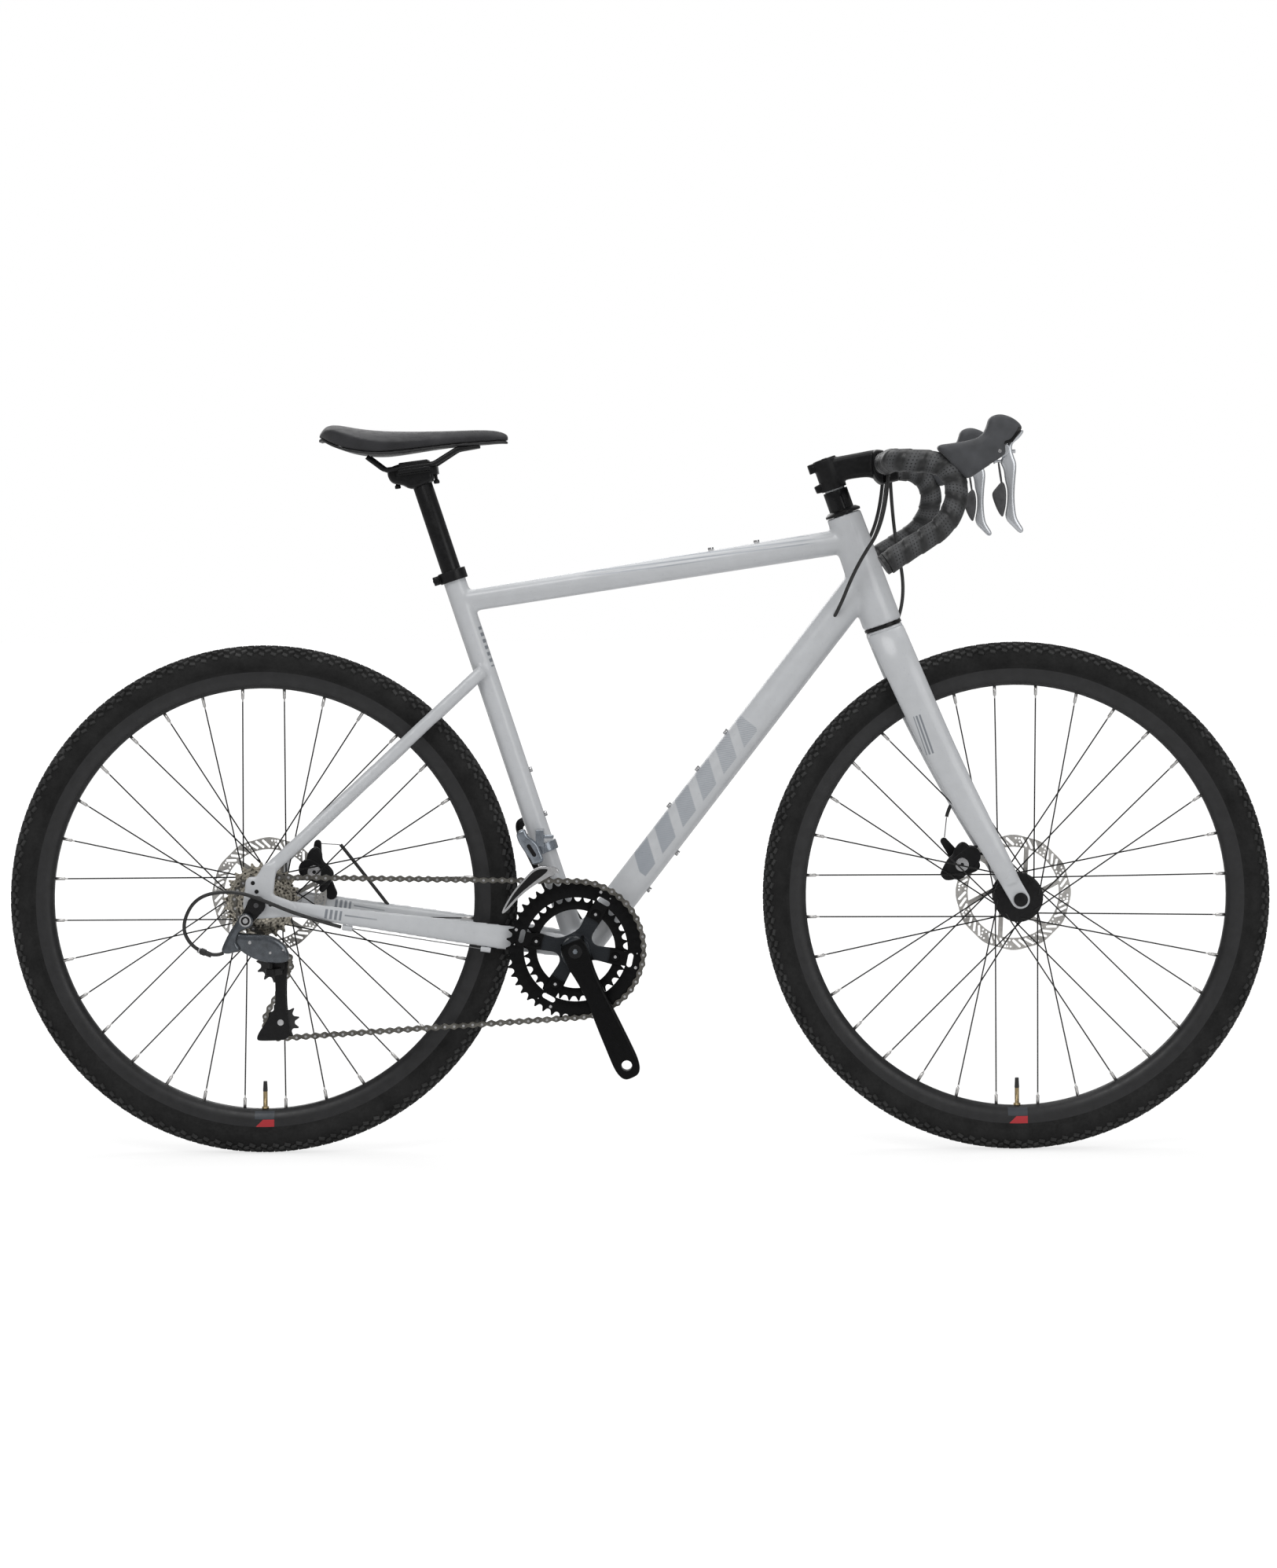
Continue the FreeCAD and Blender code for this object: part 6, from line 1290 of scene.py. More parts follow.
STRAP_OUTLINE = ((-2.2, -12), (0.6, -12), (5.6, -45), (2.6, -46))
HOOD_WIDTH = 32
BLADE_WIDTH = 11


class BuildLevers(bpy.types.Operator):
    """Rubber hoods with their pin and glossy side plate, brake blades and shift paddles"""

    bl_idname = "bicycle.build_levers"
    bl_label = "Hoods and brake levers"

    def execute(self, context):
        for side in ("right", "left"):
            pin = PINS[side + "_brake"]
            hood = plated(side + "_hood_formed", ((HOOD_OUTLINE, pin, HOOD_WIDTH, 11),), 1.2 * MM, 8)
            cut_out(hood, HOOD_SLOT, pin, (BLADE_WIDTH + 9) * MM)
            dress(hood, side + "_hood", hood_rubber())
            plate = flat_shape("insert", [in_metres(HOOD_INSERT)], 29 * MM, 0.8 * MM)
            insert = new_piece(side + "_hood_insert", stood_up(plate, pin))
            cut_out(insert, HOOD_SLOT, pin, (BLADE_WIDTH + 13) * MM)
            settle(insert, side + "_hood", black_alloy(0.16))
            rivet = turned_disc(side + "_hood_pin", pin, 2.3, HOOD_WIDTH + 0.6, 20)
            settle(rivet, side + "_hood", bright_steel(1.0))
            blade = plated(side + "_brake_blade", ((BLADE_OUTLINE, pin, BLADE_WIDTH, 4.5),), 0.6 * MM, 5)
            dress(blade, side + "_brake_lever", lever_alloy())
            parts = ((PADDLE_OUTLINE, pin, 8, 3.5), (STRAP_OUTLINE, pin, 3, 0))
            paddle = plated(side + "_paddle_formed", parts, 0.5 * MM, 4)
            dress(paddle, side + "_shift_paddle", black_plastic(2.6))
        return {"FINISHED"}


def bar_line(side):
    """Points along the taped half of the handlebar on one side, with each bend as an arc."""
    # Where the straight runs of the right half would meet, and the radius of each bend.
    tops = Vector((BAR.x, -0.190, BAR.z))
    corners = [Vector((tops.x, -0.044, tops.z)), tops, tops + Vector((0.081, -0.015, -0.006)),
               tops + Vector((0.082, -0.022, -0.078)), tops + Vector((-0.011, -0.029, -0.137))]
    bends = (0.038, 0.038, 0.066)
    line = [corners[0]]
    for k, radius in enumerate(bends):
        before, here, after = corners[k:k + 3]
        come, go = (here - before).normalized(), (after - here).normalized()
        turn = come.angle(go)
        cut = radius * math.tan(turn / 2)
        first = here - come * cut
        centre = first + (go - come * come.dot(go)).normalized() * radius
        axis = come.cross(go).normalized()
        for step in range(13):
            line.append(centre + Matrix.Rotation(turn * step / 12, 3, axis) @ (first - centre))
    line.append(corners[-1])
    if side > 0:
        line = [Vector((p.x, -p.y, p.z)) for p in line]
    return line


def spaced(line, step):
    """The same line with points an even step apart."""
    points = [line[0].copy()]
    left = step
    for start, end in zip(line, line[1:]):
        run = (end - start).length
        gone = 0.0
        while run - gone >= left:
            gone += left
            points.append(start.lerp(end, gone / run))
            left = step
        left -= run - gone
    points.append(line[-1].copy())
    return points


# The tape's radius under its laps, the points around it, and the height of its unevenness.
TAPE_RADIUS = 0.01415
TAPE_STEPS = 56
TAPE_RIPPLE = 0.00025
# The share of its height that a lap starts with, and the share of its width after which it rounds off.
LAP_START = 0.35
LAP_EDGE = 0.93


def wrapped_tape(name, side):
    """A tube along the bar whose radius follows the laps of the winding."""
    line = spaced(bar_line(side), 1.6 * MM)
    around = TAPE_STEPS
    pitch = sizes().tape_pitch
    work = bmesh.new()
    chart = work.loops.layers.uv.new("UVMap")
    rows = []
    gone = 0.0
    ahead = (line[1] - line[0]).normalized()
    across = ahead.orthogonal().normalized()
    lengths = []
    for k, spot in enumerate(line):
        if k:
            gone += (spot - line[k - 1]).length
        nearby = (line[min(k + 1, len(line) - 1)] - line[max(k - 1, 0)]).normalized()
        across = (across - nearby * across.dot(nearby)).normalized()
        up = nearby.cross(across)
        row = []
        for j in range(around):
            angle = TURN * j / around
            lap = (gone / pitch - side * j / around) % 1.0
            swell = LAP_START + (1 - LAP_START) * lap
            if lap > LAP_EDGE:
                swell *= (1 - lap) / (1 - LAP_EDGE)
                swell = LAP_START + (1 - LAP_START) * swell
            ripple = TAPE_RIPPLE * math.sin(3 * angle + gone * 90)
            radius = TAPE_RADIUS + sizes().tape_lap * swell + ripple
            row.append(work.verts.new(spot + (across * math.cos(angle) + up * math.sin(angle)) * radius))
        rows.append(row)
        lengths.append(gone)
    for k in range(len(rows) - 1):
        for j in range(around):
            n = (j + 1) % around
            face = work.faces.new((rows[k][j], rows[k][n], rows[k + 1][n], rows[k + 1][j]))
            for loop, (row, col) in zip(face.loops, ((k, j), (k, j + 1), (k + 1, j + 1), (k + 1, j))):
                lap = lengths[row] / pitch - side * col / around
                base = math.floor(lengths[k] / pitch - side * (j + 0.5) / around)
                loop[chart].uv = (col / around * 96.0 + lengths[row] * 40, (lap - base) * pitch / MM)
    work.faces.new(rows[0][::-1])
    work.faces.new(rows[-1])
    bmesh.ops.recalc_face_normals(work, faces=work.faces)
    piece = new_piece(name, mesh_from(work, name))
    smooth_faces(piece.data, 60)
    return piece


# A solid of the tape that is shorter than this is an end plug.
PLUG_LENGTH = 0.035


class BuildTape(bpy.types.Operator):
    """Wrapped bar tape with end plugs"""

    bl_idname = "bicycle.build_tape"
    bl_label = "Bar tape"

    def execute(self, context):
        for side, label in ((-1, "right"), (1, "left")):
            piece = wrapped_tape(label + "_bar_tape", side)
            settle(piece, "bar_tape", bar_tape_skin())
            if side < 0:
                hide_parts("bar_tape")
            band = turned_disc(label + "_tape_band", beside(BAR, side * 54 * MM), 15.9, 20, 64)
            settle(band, "bar_tape", black_plastic(3.4))
        ends = merged_copy("bar_tape", lambda part: reach(part) < PLUG_LENGTH)
        plugs = softened("bar_plugs", ends, 0.7 * MM, 5)
        settle(plugs, "bar_tape", black_plastic())
        return {"FINISHED"}


# Side of the cradle under the saddle rails, in millimetres from the origin.
CRADLE_OUTLINE = ((-347, 938), (-343, 926), (-336, 921), (-325, 920.5), (-313, 913), (-288, 921.5),
                  (-281, 929), (-284, 942), (-282, 950), (-292, 955), (-339, 948))


class BuildSaddle(bpy.types.Operator):
    """Saddle, post and clamps"""

    bl_idname = "bicycle.build_saddle"
    bl_label = "Saddle"

    def execute(self, context):
        cover = softened("saddle_cover_padded", merged_copy("saddle_cover"), 2.2 * MM, 12)
        dress(cover, "saddle_cover", saddle_skin())
        for node, grid, rounds, material, slot in (
                ("saddle_shell", 1.6, 5, black_plastic(), "black_plastic"),
                ("saddle_clamp", 0.9, 4, black_alloy(0.36), "black_alloy"),
                ("seat_clamp", 0.8, 3, black_alloy(0.36), "black_alloy")):
            piece = softened(node + "_formed", merged_copy(node), grid * MM, rounds)
            dress(piece, node, material)
        for node in ("seatpost", "saddle_rails"):
            piece = crisp(node + "_dressed", node)
            dress(piece, node, black_alloy(0.3))
        cradle = plated("saddle_cradle", ((CRADLE_OUTLINE, Vector(), 34, 5),), 0.8 * MM, 4)
        settle(cradle, "saddle_clamp", black_alloy(0.3))
        return {"FINISHED"}


# The chain's pitch, the radii of its pins, pin heads and rollers, and the waist as a share of a plate.
LINK_PITCH = 12.7 * MM
LINK_PIN = 1.9 * MM
PIN_HEAD = 1.8 * MM
ROLLER = 3.8 * MM
WAIST = 0.45
# A link of the chain that is wider than this is an outer one.
OUTER_LINK_WIDTH = 5.8 * MM


def rod_pair(work, radius, length, segments):
    """Two short rods through the ends of a link."""
    for end in (-1, 1):
        spot = Matrix.Translation((end * LINK_PITCH / 2, 0, 0))
        bmesh.ops.create_cone(work, cap_ends=True, segments=segments, radius1=radius, radius2=radius,
                              depth=length, matrix=spot)


def link_mesh(name, spread, plate, height):
    """One chain link: two waisted plates with rollers and pins."""
    outline = []
    radius = height / 2
    for side in (1, -1):
        for k in range(9):
            angle = math.radians(-110 + 220 * k / 8) + (0 if side > 0 else math.pi)
            across, up = polar(radius, angle)
            outline.append((side * LINK_PITCH / 2 + across, up))
        outline.append((0.0, side * radius * WAIST))
    meshes = []
    for side in (-1, 1):
        plate_mesh = flat_shape(name, [outline], plate)
        plate_mesh.transform(Matrix.Translation((0, 0, side * spread)))
        meshes.append(plate_mesh)
    work = bmesh.new()
    rod_pair(work, LINK_PIN, 2 * spread + plate + 0.7 * MM, 10)
    rod_pair(work, ROLLER, 2 * spread - plate, 12)
    meshes.append(mesh_from(work, name))
    whole = joined(name, meshes)
    whole.transform(UPRIGHT)
    return whole


def pin_mesh(name, length):
    """The two pin heads of one outer link."""
    work = bmesh.new()
    rod_pair(work, PIN_HEAD, length, 12)
    mesh = mesh_from(work, name)
    mesh.transform(UPRIGHT)
    return mesh


class BuildChain(bpy.types.Operator):
    """Chain of waisted links with bright pins"""

    bl_idname = "bicycle.build_chain"
    bl_label = "Chain"

    def execute(self, context):
        solid = merged_copy("chain")
        spots = {"outer": [], "inner": []}
        for shell in shells(solid):
            centre = sum((corner.co for corner in shell), Vector()) / len(shell)
            far = max((corner.co - centre for corner in shell), key=lambda out: out.xz.length)
            kind = "outer" if reach(shell, 1) > OUTER_LINK_WIDTH else "inner"
            spots[kind].append((centre, math.atan2(far.z, far.x)))
        solid.free()
        width = sizes().link_width
        for kind, rows, template_mesh, material in (
                ("outer_links", "outer", link_mesh("outer", 0.00285, 0.0011, width), gear_steel("chain")),
                ("inner_links", "inner", link_mesh("inner", 0.0017, 0.0010, width), gear_steel("chain")),
                ("pins", "outer", pin_mesh("pins", 0.0079), bright_steel(0.8))):
            seed = bpy.data.meshes.new("chain_" + kind)
            seed.from_pydata([spot for spot, _ in spots[rows]], [], [])
            turn = seed.attributes.new("lean", "FLOAT", "POINT")
            turn.data.foreach_set("value", [angle for _, angle in spots[rows]])
            template = new_piece("template_" + kind, template_mesh)
            grow = Growth("chain_" + kind, Size=1.0)
            lean = grow.add("GeometryNodeInputNamedAttribute", data_type="FLOAT")
            lean.inputs["Name"].default_value = "lean"
            angles = grow.vector(0.0, grow.times(lean.outputs[0], -1.0), 0.0)
            turned = grow.add("FunctionNodeEulerToRotation", {0: angles})
            source = grow.add("GeometryNodeObjectInfo", {"Object": template})
            placed = grow.add("GeometryNodeInstanceOnPoints", {
                "Points": grow.inputs["Geometry"], "Instance": source.outputs["Geometry"],
                "Rotation": turned.outputs[0], "Scale": grow.inputs["Size"]})
            piece = grow.grown("chain_" + kind, placed.outputs[0], material, seed)
            bpy.data.objects.remove(template)
            smooth_faces(piece.data, 35)
            settle(piece, "chain", material)
            if kind == "outer_links":
                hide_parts("chain")
        return {"FINISHED"}


ACROSS = Vector((0, MM, 0))
# Places on the cranks and rings, in millimetres, and the lean of the right crank from level.
CRANK_LEAN = math.radians(-65.9)
CRANK_LENGTH = 170
ARM_PLANE = 68
PEDAL_HOLE = 7.2
SLOT_RADIUS = 75.6
PIN_RADIUS = 85.5
# Angles of each slot in the large ring and of the pin near it, in degrees.
RING_SLOTS = ((59.5, 66), (-11.6, -17.3), (-119.5, -114), (166, 161.4))
# The hanger is the solid of the bracket whose height lies between these.
HANGER_HEIGHTS = (0.03, 0.06)
# The hanger's bolt from the rear axle, and the reach of the derailleur's link.
HANGER_OFFSET = Vector((-14.1, 0, -20.5)) * MM
LINK_REACH = Vector((45.4, 7.5, 0)) * MM
# Side outlines in millimetres: of the link and bracket from the hanger's bolt, of the cage from its lower
# pulley, of a crank arm along itself from its axle, and of the front derailleur from its hinge.
LINK_OUTLINE = ((-13.5, -16), (-3, -18.5), (10.6, -19), (34, -21.6), (51, -33), (57.5, -45.5), (57, -58),
                (36.5, -60), (15, -55), (1, -48), (-11, -39), (-17.5, -29))
BRACKET_OUTLINE = ((0, 10.4), (7.5, 7.5), (10.4, 0), (8.4, -8), (0, -11.5), (-9, -15), (-12.5, -23),
                   (-12, -31), (-8, -36), (-8, -42), (-16, -43), (-25, -45.5), (-34, -42.5), (-30, -31),
                   (-21, -13.5), (-12, -1), (-8, 7.5))
CAGE_OUTLINE = ((-20, 84), (-13, 80.5), (-7.5, 66), (-6.6, 35), (-8.4, 17), (-18, 3.3), (-31, -15),
                (-33, -24), (-25.5, -25.2), (5.1, -24.4), (13.2, -18.4), (11.5, -3.1), (7.7, 17.3), (7, 50),
                (9.4, 76), (10, 88), (0, 91))
ARM_OUTLINE = ((-18, 0), (-16, -12), (0, -20), (10, -19.5), (38, -15), (66, -13), (105, -15.8), (143, -17),
               (172, -18), (187.5, -12), (189, 0), (187.5, 12), (172, 18), (137, 17.2), (100, 15.8),
               (60, 13.4), (26, 14), (8, 19), (-6, 20), (-16, 12))
FD_ARM = ((-44.7, 6.8), (-32.3, 12.6), (-29.6, 2.4), (-21.6, -3), (-14.2, -10.1), (-10.6, -20.8),
          (-7, -28.8), (-7, -34), (-21.6, -39), (-24.4, -31.5), (-33.4, -19), (-38, -11.9), (-42.4, -3.9))
FD_PLATE = ((-20.2, -42), (-7.3, -38.8), (8.7, -42), (12.9, -45), (12.9, -47), (-21.6, -66), (-41.2, -82),
            (-59.9, -103.5), (-66, -103), (-49.6, -74.3), (-33.6, -56.5))
FD_PANEL = ((-19, -44.8), (-7.5, -41.8), (2.5, -44), (-22.5, -62.6), (-42, -78.8), (-58, -96.5), (-61, -99),
            (-47.6, -75.8), (-31.8, -58))
FD_INNER = ((-20, -44), (8.7, -42.5), (9.4, -53), (-9, -60), (-22, -65), (-41, -82), (-59.9, -103.5),
            (-65, -102), (-49, -75), (-33, -57))
FD_BRIDGE = ((-13, -38.4), (9, -40.6), (14.4, -46), (13, -49.6), (8, -46.6), (-11, -43.4))


def spider_outline():
    """Four arms about the crank axle, at the angles of the chainring bolts from the crank arm."""
    points = []
    for middle_angle in (-126, -55, 55, 126):
        for radius, lean in ((26, -22), (40, -15), (66, -11), (66, 11), (40, 15), (26, 22)):
            points.append(polar(radius, math.radians(middle_angle + lean)))
    return points


class BuildDrive(bpy.types.Operator):
    """Chainrings, cassette, pulleys and cranks"""

    bl_idname = "bicycle.build_drive"
    bl_label = "Drive"

    def execute(self, context):
        for node, material, slot, edge in (
                ("chainrings", crank_paint(), "dark_steel", 0.25),
                ("chainring_bolts", crank_paint(), "bolt_steel", 0.2),
                ("cassette", gear_steel("cassette"), "gold_steel", 0.15),
                ("guide_pulley", black_plastic(), "black_plastic", 0.2),
                ("tension_pulley", black_plastic(), "black_plastic", 0.2)):
            piece = crisp(node + "_dressed", node, bevel=edge * MM)
            dress(piece, node, material)
            if node == "chainrings":
                self.lighten(piece)
        self.cranks()
        self.bolts()
        return {"FINISHED"}

    def lighten(self, rings):
        """Four slots through the large ring and four bright pins near its edge."""
        axle = PINS["crank_spin"]
        for degrees, pin_degrees in RING_SLOTS:
            out = Vector(polar(1, math.radians(degrees)))
            side = Vector((-out.y, out.x))
            ends = [tuple(out * SLOT_RADIUS + side * half) for half in (-6, 6)]
            cut_out(rings, slot_points(*ends, 3.6), beside(axle, axle.y - 47.6 * MM), 5 * MM)
            across, up = polar(PIN_RADIUS, math.radians(pin_degrees))
            spot = axle + Vector((across, -48.6, up)) * MM
            disc = turned_disc("ring_pin_%d" % (round(degrees) % 360), spot, 2.2, 0.8, 20)
            settle(disc, "chainrings", bright_steel(1.0))

    def cranks(self):
        """Two arms with open pedal holes, the spider and the spindle."""
        axle = PINS["crank_spin"]
        for side, label, turn in ((-1, "right", CRANK_LEAN), (1, "left", CRANK_LEAN + math.pi)):
            node = label + "_crank"
            parts = [(ARM_OUTLINE, axle + ACROSS * (side * ARM_PLANE), 14, 6),
                     (ring_points(20, 24), axle + ACROSS * (side * 58), 33, 5)]
            if side < 0:
                parts.append((spider_outline(), axle - ACROSS * 44.1, 5, 2.5))
            crank = plated(node + "_formed", parts, 1.0 * MM, 5, turn)
            across, up = polar(CRANK_LENGTH, turn)
            tip = axle + Vector((across, side * ARM_PLANE, up)) * MM
            cut_out(crank, ring_points(PEDAL_HOLE, 28), tip, 40 * MM)
            dress(crank, node, crank_paint() if side < 0 else black_alloy(0.3))
        spindle = turned_disc("crank_spindle", axle + ACROSS * 8, 11.9, 132)
        settle(spindle, "right_crank", black_alloy(0.3))

    def bolts(self):
        """Sockets of the chainring bolts and the cap of the crank bolt."""
        solid = merged_copy("chainring_bolts")
        meshes = []
        for shell in shells(solid):
            spot = sum((corner.co for corner in shell), Vector()) / len(shell)
            front = min(corner.co.y for corner in shell)
            meshes.append(disc_mesh("socket", beside(spot, front), reach(shell) * 0.19, 0.8 * MM, 20))
        solid.free()
        sockets = new_piece("chainring_bolt_sockets", joined("sockets", meshes))
        settle(sockets, "chainring_bolts", bright_steel(1.0))
        axle = PINS["crank_spin"]
        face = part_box("right_crank")[0].y
        cap = turned_disc("crank_cap", beside(axle, face), 9.5, 1.8)
        settle(cap, "right_crank", black_alloy(0.16))
        key = turned_disc("crank_cap_key", beside(axle, face - 0.5 * MM), 3.6, 1.4, 6)
        settle(key, "right_crank", grey_alloy(2.0))


class BuildRearDerailleur(bpy.types.Operator):
    """Rear derailleur: hanger, bracket, body and cage"""

    bl_idname = "bicycle.build_rear_derailleur"
    bl_label = "Rear derailleur"

    def execute(self, context):
        hang = REAR_AXLE + HANGER_OFFSET
        low, high = HANGER_HEIGHTS
        solid = merged_copy("rd_bracket", lambda part: low < reach(part, 2) < high)
        hanger = softened("rd_hanger_formed", solid, 0.6 * MM, 4)
        dress(hanger, "rd_bracket", black_alloy(0.3))
        spot = beside(hang, middle("rd_bracket").y)
        bracket = plated("rd_bracket_formed", ((BRACKET_OUTLINE, spot, 17, 5),), 0.6 * MM, 5)
        settle(bracket, "rd_bracket", grey_alloy())
        face = outer_face((bracket,), hang) + 0.6 * MM
        # The black well between the bright ring and the head is painted shade in the recess around the bolt.
        for name, radius, width, material in (("rd_bolt_ring", 8.2, 2.2, bright_steel(1.0)),
                                              ("rd_bolt_well", 6.2, 2.6, black_alloy(0.16)),
                                              ("rd_bolt_head", 3.6, 3.2, bright_steel(1.0))):
            settle(turned_disc(name, beside(hang, face), radius, width), "rd_bracket", material)
        self.link(hang)
        self.knuckle()
        self.cage()
        self.axle_end()
        return {"FINISHED"}

    def link(self, hang):
        """Body of the parallelogram, which leans in from its hinge."""
        hinge = PINS["rear_shift"]
        lean = math.atan2(LINK_REACH.y, LINK_REACH.x)
        home = Matrix.Translation((hinge.x, hinge.y, 0)) @ Matrix.Rotation(lean, 4, "Z")
        local = Vector((hang.x - hinge.x, 0, hang.z))
        body = plated("rd_link_formed", ((LINK_OUTLINE, local, 15, 8),), 0.7 * MM, 5)
        screws = []
        for across, up, radius in ((31.5, -44.6, 1.9), (4, -30, 2.4), (49, -41, 1.6)):
            spot = local + Vector((across, 0, up)) * MM
            spot.y = outer_face((body,), spot)
            screws.append(turned_disc("rd_screw_%d" % len(screws), spot, radius, 1.0, 16))
        body.data.transform(home)
        dress(body, "rd_link", grey_alloy())
        for screw in screws:
            screw.data.transform(home)
            settle(screw, "rd_link", bright_steel(1.0))

    def knuckle(self):
        """Lower knuckle, between the link and the cage."""
        piece = softened("rd_p_knuckle_formed", merged_copy("rd_p_knuckle"), 0.5 * MM, 3)
        dress(piece, "rd_p_knuckle", black_alloy(0.34))

    def cage(self):
        """Two waisted plates that hold both pulleys."""
        tension = PINS["tension_pulley_spin"]
        guide = PINS["guide_pulley_spin"]
        pivot = PINS["chain_tension"]
        sides = [(CAGE_OUTLINE, beside(tension, y * MM), 1.6) for y in (-54.6, -40.6)]
        cage = plates("rd_cage_plates", sides)
        dress(cage, "rd_cage", black_alloy(0.34))
        for name, spot, radius, width, y, material in (
                ("rd_cage_lower_bolt", tension, 2.5, 16, -47.6, black_alloy(0.3)),
                ("rd_cage_upper_bolt", guide, 2.5, 16, -47.6, black_alloy(0.3)),
                ("rd_cage_lower_head", tension, 4.4, 1.4, -55.9, bright_steel(1.0)),
                ("rd_cage_stub", pivot, 3.9, 9, -58.9, bright_steel(1.0))):
            disc = turned_disc(name, beside(spot, y * MM), radius, width, 24)
            settle(disc, "rd_cage", material)

    def axle_end(self):
        """Black end of the through axle, with a key socket."""
        spot = beside(REAR_AXLE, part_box("rear_axle")[0].y - 0.2 * MM)
        for name, radius, width, material in (("rear_axle_end", 12.4, 3.0, black_alloy(0.2)),
                                              ("rear_axle_key", 3.4, 3.6, black_plastic(3.4))):
            settle(turned_disc(name, spot, radius, width), "rear_axle", material)


class BuildFrontDerailleur(bpy.types.Operator):
    """Front derailleur: band, arm and cage"""

    bl_idname = "bicycle.build_front_derailleur"
    bl_label = "Front derailleur"

    def execute(self, context):
        hinge = PINS["front_shift"]
        clamp = softened("fd_clamp_formed", merged_copy("fd_clamp"), 0.7 * MM, 3)
        dress(clamp, "fd_clamp", grey_alloy(2.6))
        arm_plane = beside(hinge, -44 * MM)
        arm = plated("fd_arm", ((FD_ARM, arm_plane, 12, 4),), 0.6 * MM, 4)
        dress(arm, "fd_link", grey_alloy(2.6))
        # The arm's opening is not cut: a black inlay of painted shade stands in it.
        opening = in_metres(slot_points((-27, -12), (-19.5, -24), 2.8))
        shade_inlay = flat_shape("window", [opening], 12.2 * MM, 0.2 * MM)
        window = new_piece("fd_arm_window", stood_up(shade_inlay, arm_plane))
        settle(window, "fd_link", black_alloy(0.16))
        outside, between, inside = (beside(hinge, y * MM) for y in (-54, -46.4, -38.8))
        parts = ((FD_PLATE, outside, 1.6), (FD_INNER, inside, 1.6), (FD_BRIDGE, between, 16))
        cage = plates("fd_cage_plates", parts)
        dress(cage, "fd_cage", bright_steel(1.0))
        panel = plates("fd_cage_panel", ((FD_PANEL, outside, 2.2),))
        settle(panel, "fd_cage", black_alloy(0.16))
        return {"FINISHED"}


# The braking band of a rotor lies outside this radius.
BRAKING_BAND = 70 * MM
# Side outlines of the calipers, in millimetres from the pin of the brake arm.
CALIPER_OUTLINES = {
    "front": ((-29.4, -10.3), (-30.2, -15.3), (-21.1, -24.4), (5.5, -15.3), (25.4, -7.8), (25.4, 3.8),
              (15.5, 10.5), (12.1, 23.8), (5.5, 31.2), (-2.8, 31.2), (-11.1, 20.4), (-12, 13.8),
              (-19.4, 8.8)),
    "rear": ((-20.7, -1.2), (-12.5, 8), (-10.1, 25.9), (-3.1, 34.2), (4, 35.3), (11, 28.3), (11, 15.3),
             (20.5, 8.7), (28.7, -2.4), (21.7, -15.3), (13.4, -29.5), (5.2, -27.1), (8.7, -15.3),
             (-18.4, -9.4))}


def disc_plane(node, axle):
    """Where the braking band of a rotor lies along Y."""
    corners = NODES[node].data.vertices
    band = [corner.co.y for corner in corners if (corner.co - axle).xz.length > BRAKING_BAND]
    return sum(band) / len(band)


class BuildBrakes(bpy.types.Operator):
    """Calipers, arms and small hardware"""

    bl_idname = "bicycle.build_brakes"
    bl_label = "Brakes and hardware"

    def execute(self, context):
        for node in ("front_caliper", "rear_caliper", "front_brake_arm", "rear_brake_arm"):
            piece = softened(node + "_formed", merged_copy(node), 0.7 * MM, 3)
            dress(piece, node, black_alloy(0.36))
        for end, axle in AXLES.items():
            node = end + "_caliper"
            pin = PINS[end + "_brake_pull"]
            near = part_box(node)[0].y
            dial = turned_disc(end + "_pad_dial", beside(pin, near), 9.5, 1.4)
            settle(dial, node, bright_steel(1.0))
            # A dark hexagon in the dial is painted shade inside its key socket.
            hole_shade_disc = turned_disc(end + "_dial_eye", beside(pin, near), 3, 1.8, 6)
            settle(hole_shade_disc, node, black_alloy(0.16))
            low = near + 0.4 * MM
            high = disc_plane(end + "_rotor", axle) - 2.2 * MM
            part = (CALIPER_OUTLINES[end], beside(pin, (low + high) / 2), (high - low) / MM, 4)
            cover = plated(end + "_caliper_cover", (part,), 0.7 * MM, 4)
            settle(cover, node, black_alloy(0.36))
        for node, material, slot in (("frame_bearings", black_alloy(0.3), "black_alloy"),
                                     ("rear_axle", black_alloy(0.3), "black_alloy"),
                                     ("front_axle", black_alloy(0.3), "black_alloy"),
                                     ("bottle_bolts", bright_steel(1.0), "bolt_steel")):
            piece = crisp(node + "_dressed", node)
            dress(piece, node, material)
        return {"FINISHED"}


# Diameter of a cable housing, and the thickness under which a solid of the cables is a bare wire.
HOUSING = 5 * MM
WIRE_LIMIT = 1.5 * MM
# Routes of the cable housings in metres. The right shift housing mirrors the left one.
SHIFT_ROUTE = ((0.3416, 0.054, 0.9282), (0.3376, 0.062, 0.8662), (0.298, 0.050, 0.806),
               (0.274, 0.030, 0.744), (0.266, 0.010, 0.730))
BRAKE_ROUTE = ((0.3476, 0.062, 0.9282), (0.3436, 0.070, 0.8662), (0.306, 0.058, 0.806),
               (0.282, 0.036, 0.744), (0.274, 0.010, 0.730))
REAR_SHIFT_ROUTE = ((-0.40755, -0.06167, 0.31717), (-0.4593, -0.086, 0.335), (-0.5093, -0.094, 0.3575),
                    (-0.5493, -0.094, 0.371), (-0.5993, -0.094, 0.364), (-0.6203, -0.093, 0.324),
                    (-0.6073, -0.090, 0.294), (-0.57407, -0.08903, 0.28041), (-0.56407, -0.08703, 0.28591))
REAR_BRAKE_ROUTE = ((-0.42102, 0.0698, 0.418), (-0.39502, 0.066, 0.386),
                    (-0.36902, 0.059, 0.354), (-0.35302, 0.056, 0.334))
FRONT_BRAKE_ROUTE = ((0.3516, 0.047, 0.9282), (0.3556, 0.060, 0.8562), (0.374, 0.054, 0.770),
                     (0.352, 0.040, 0.704), (0.350, 0.034, 0.686))
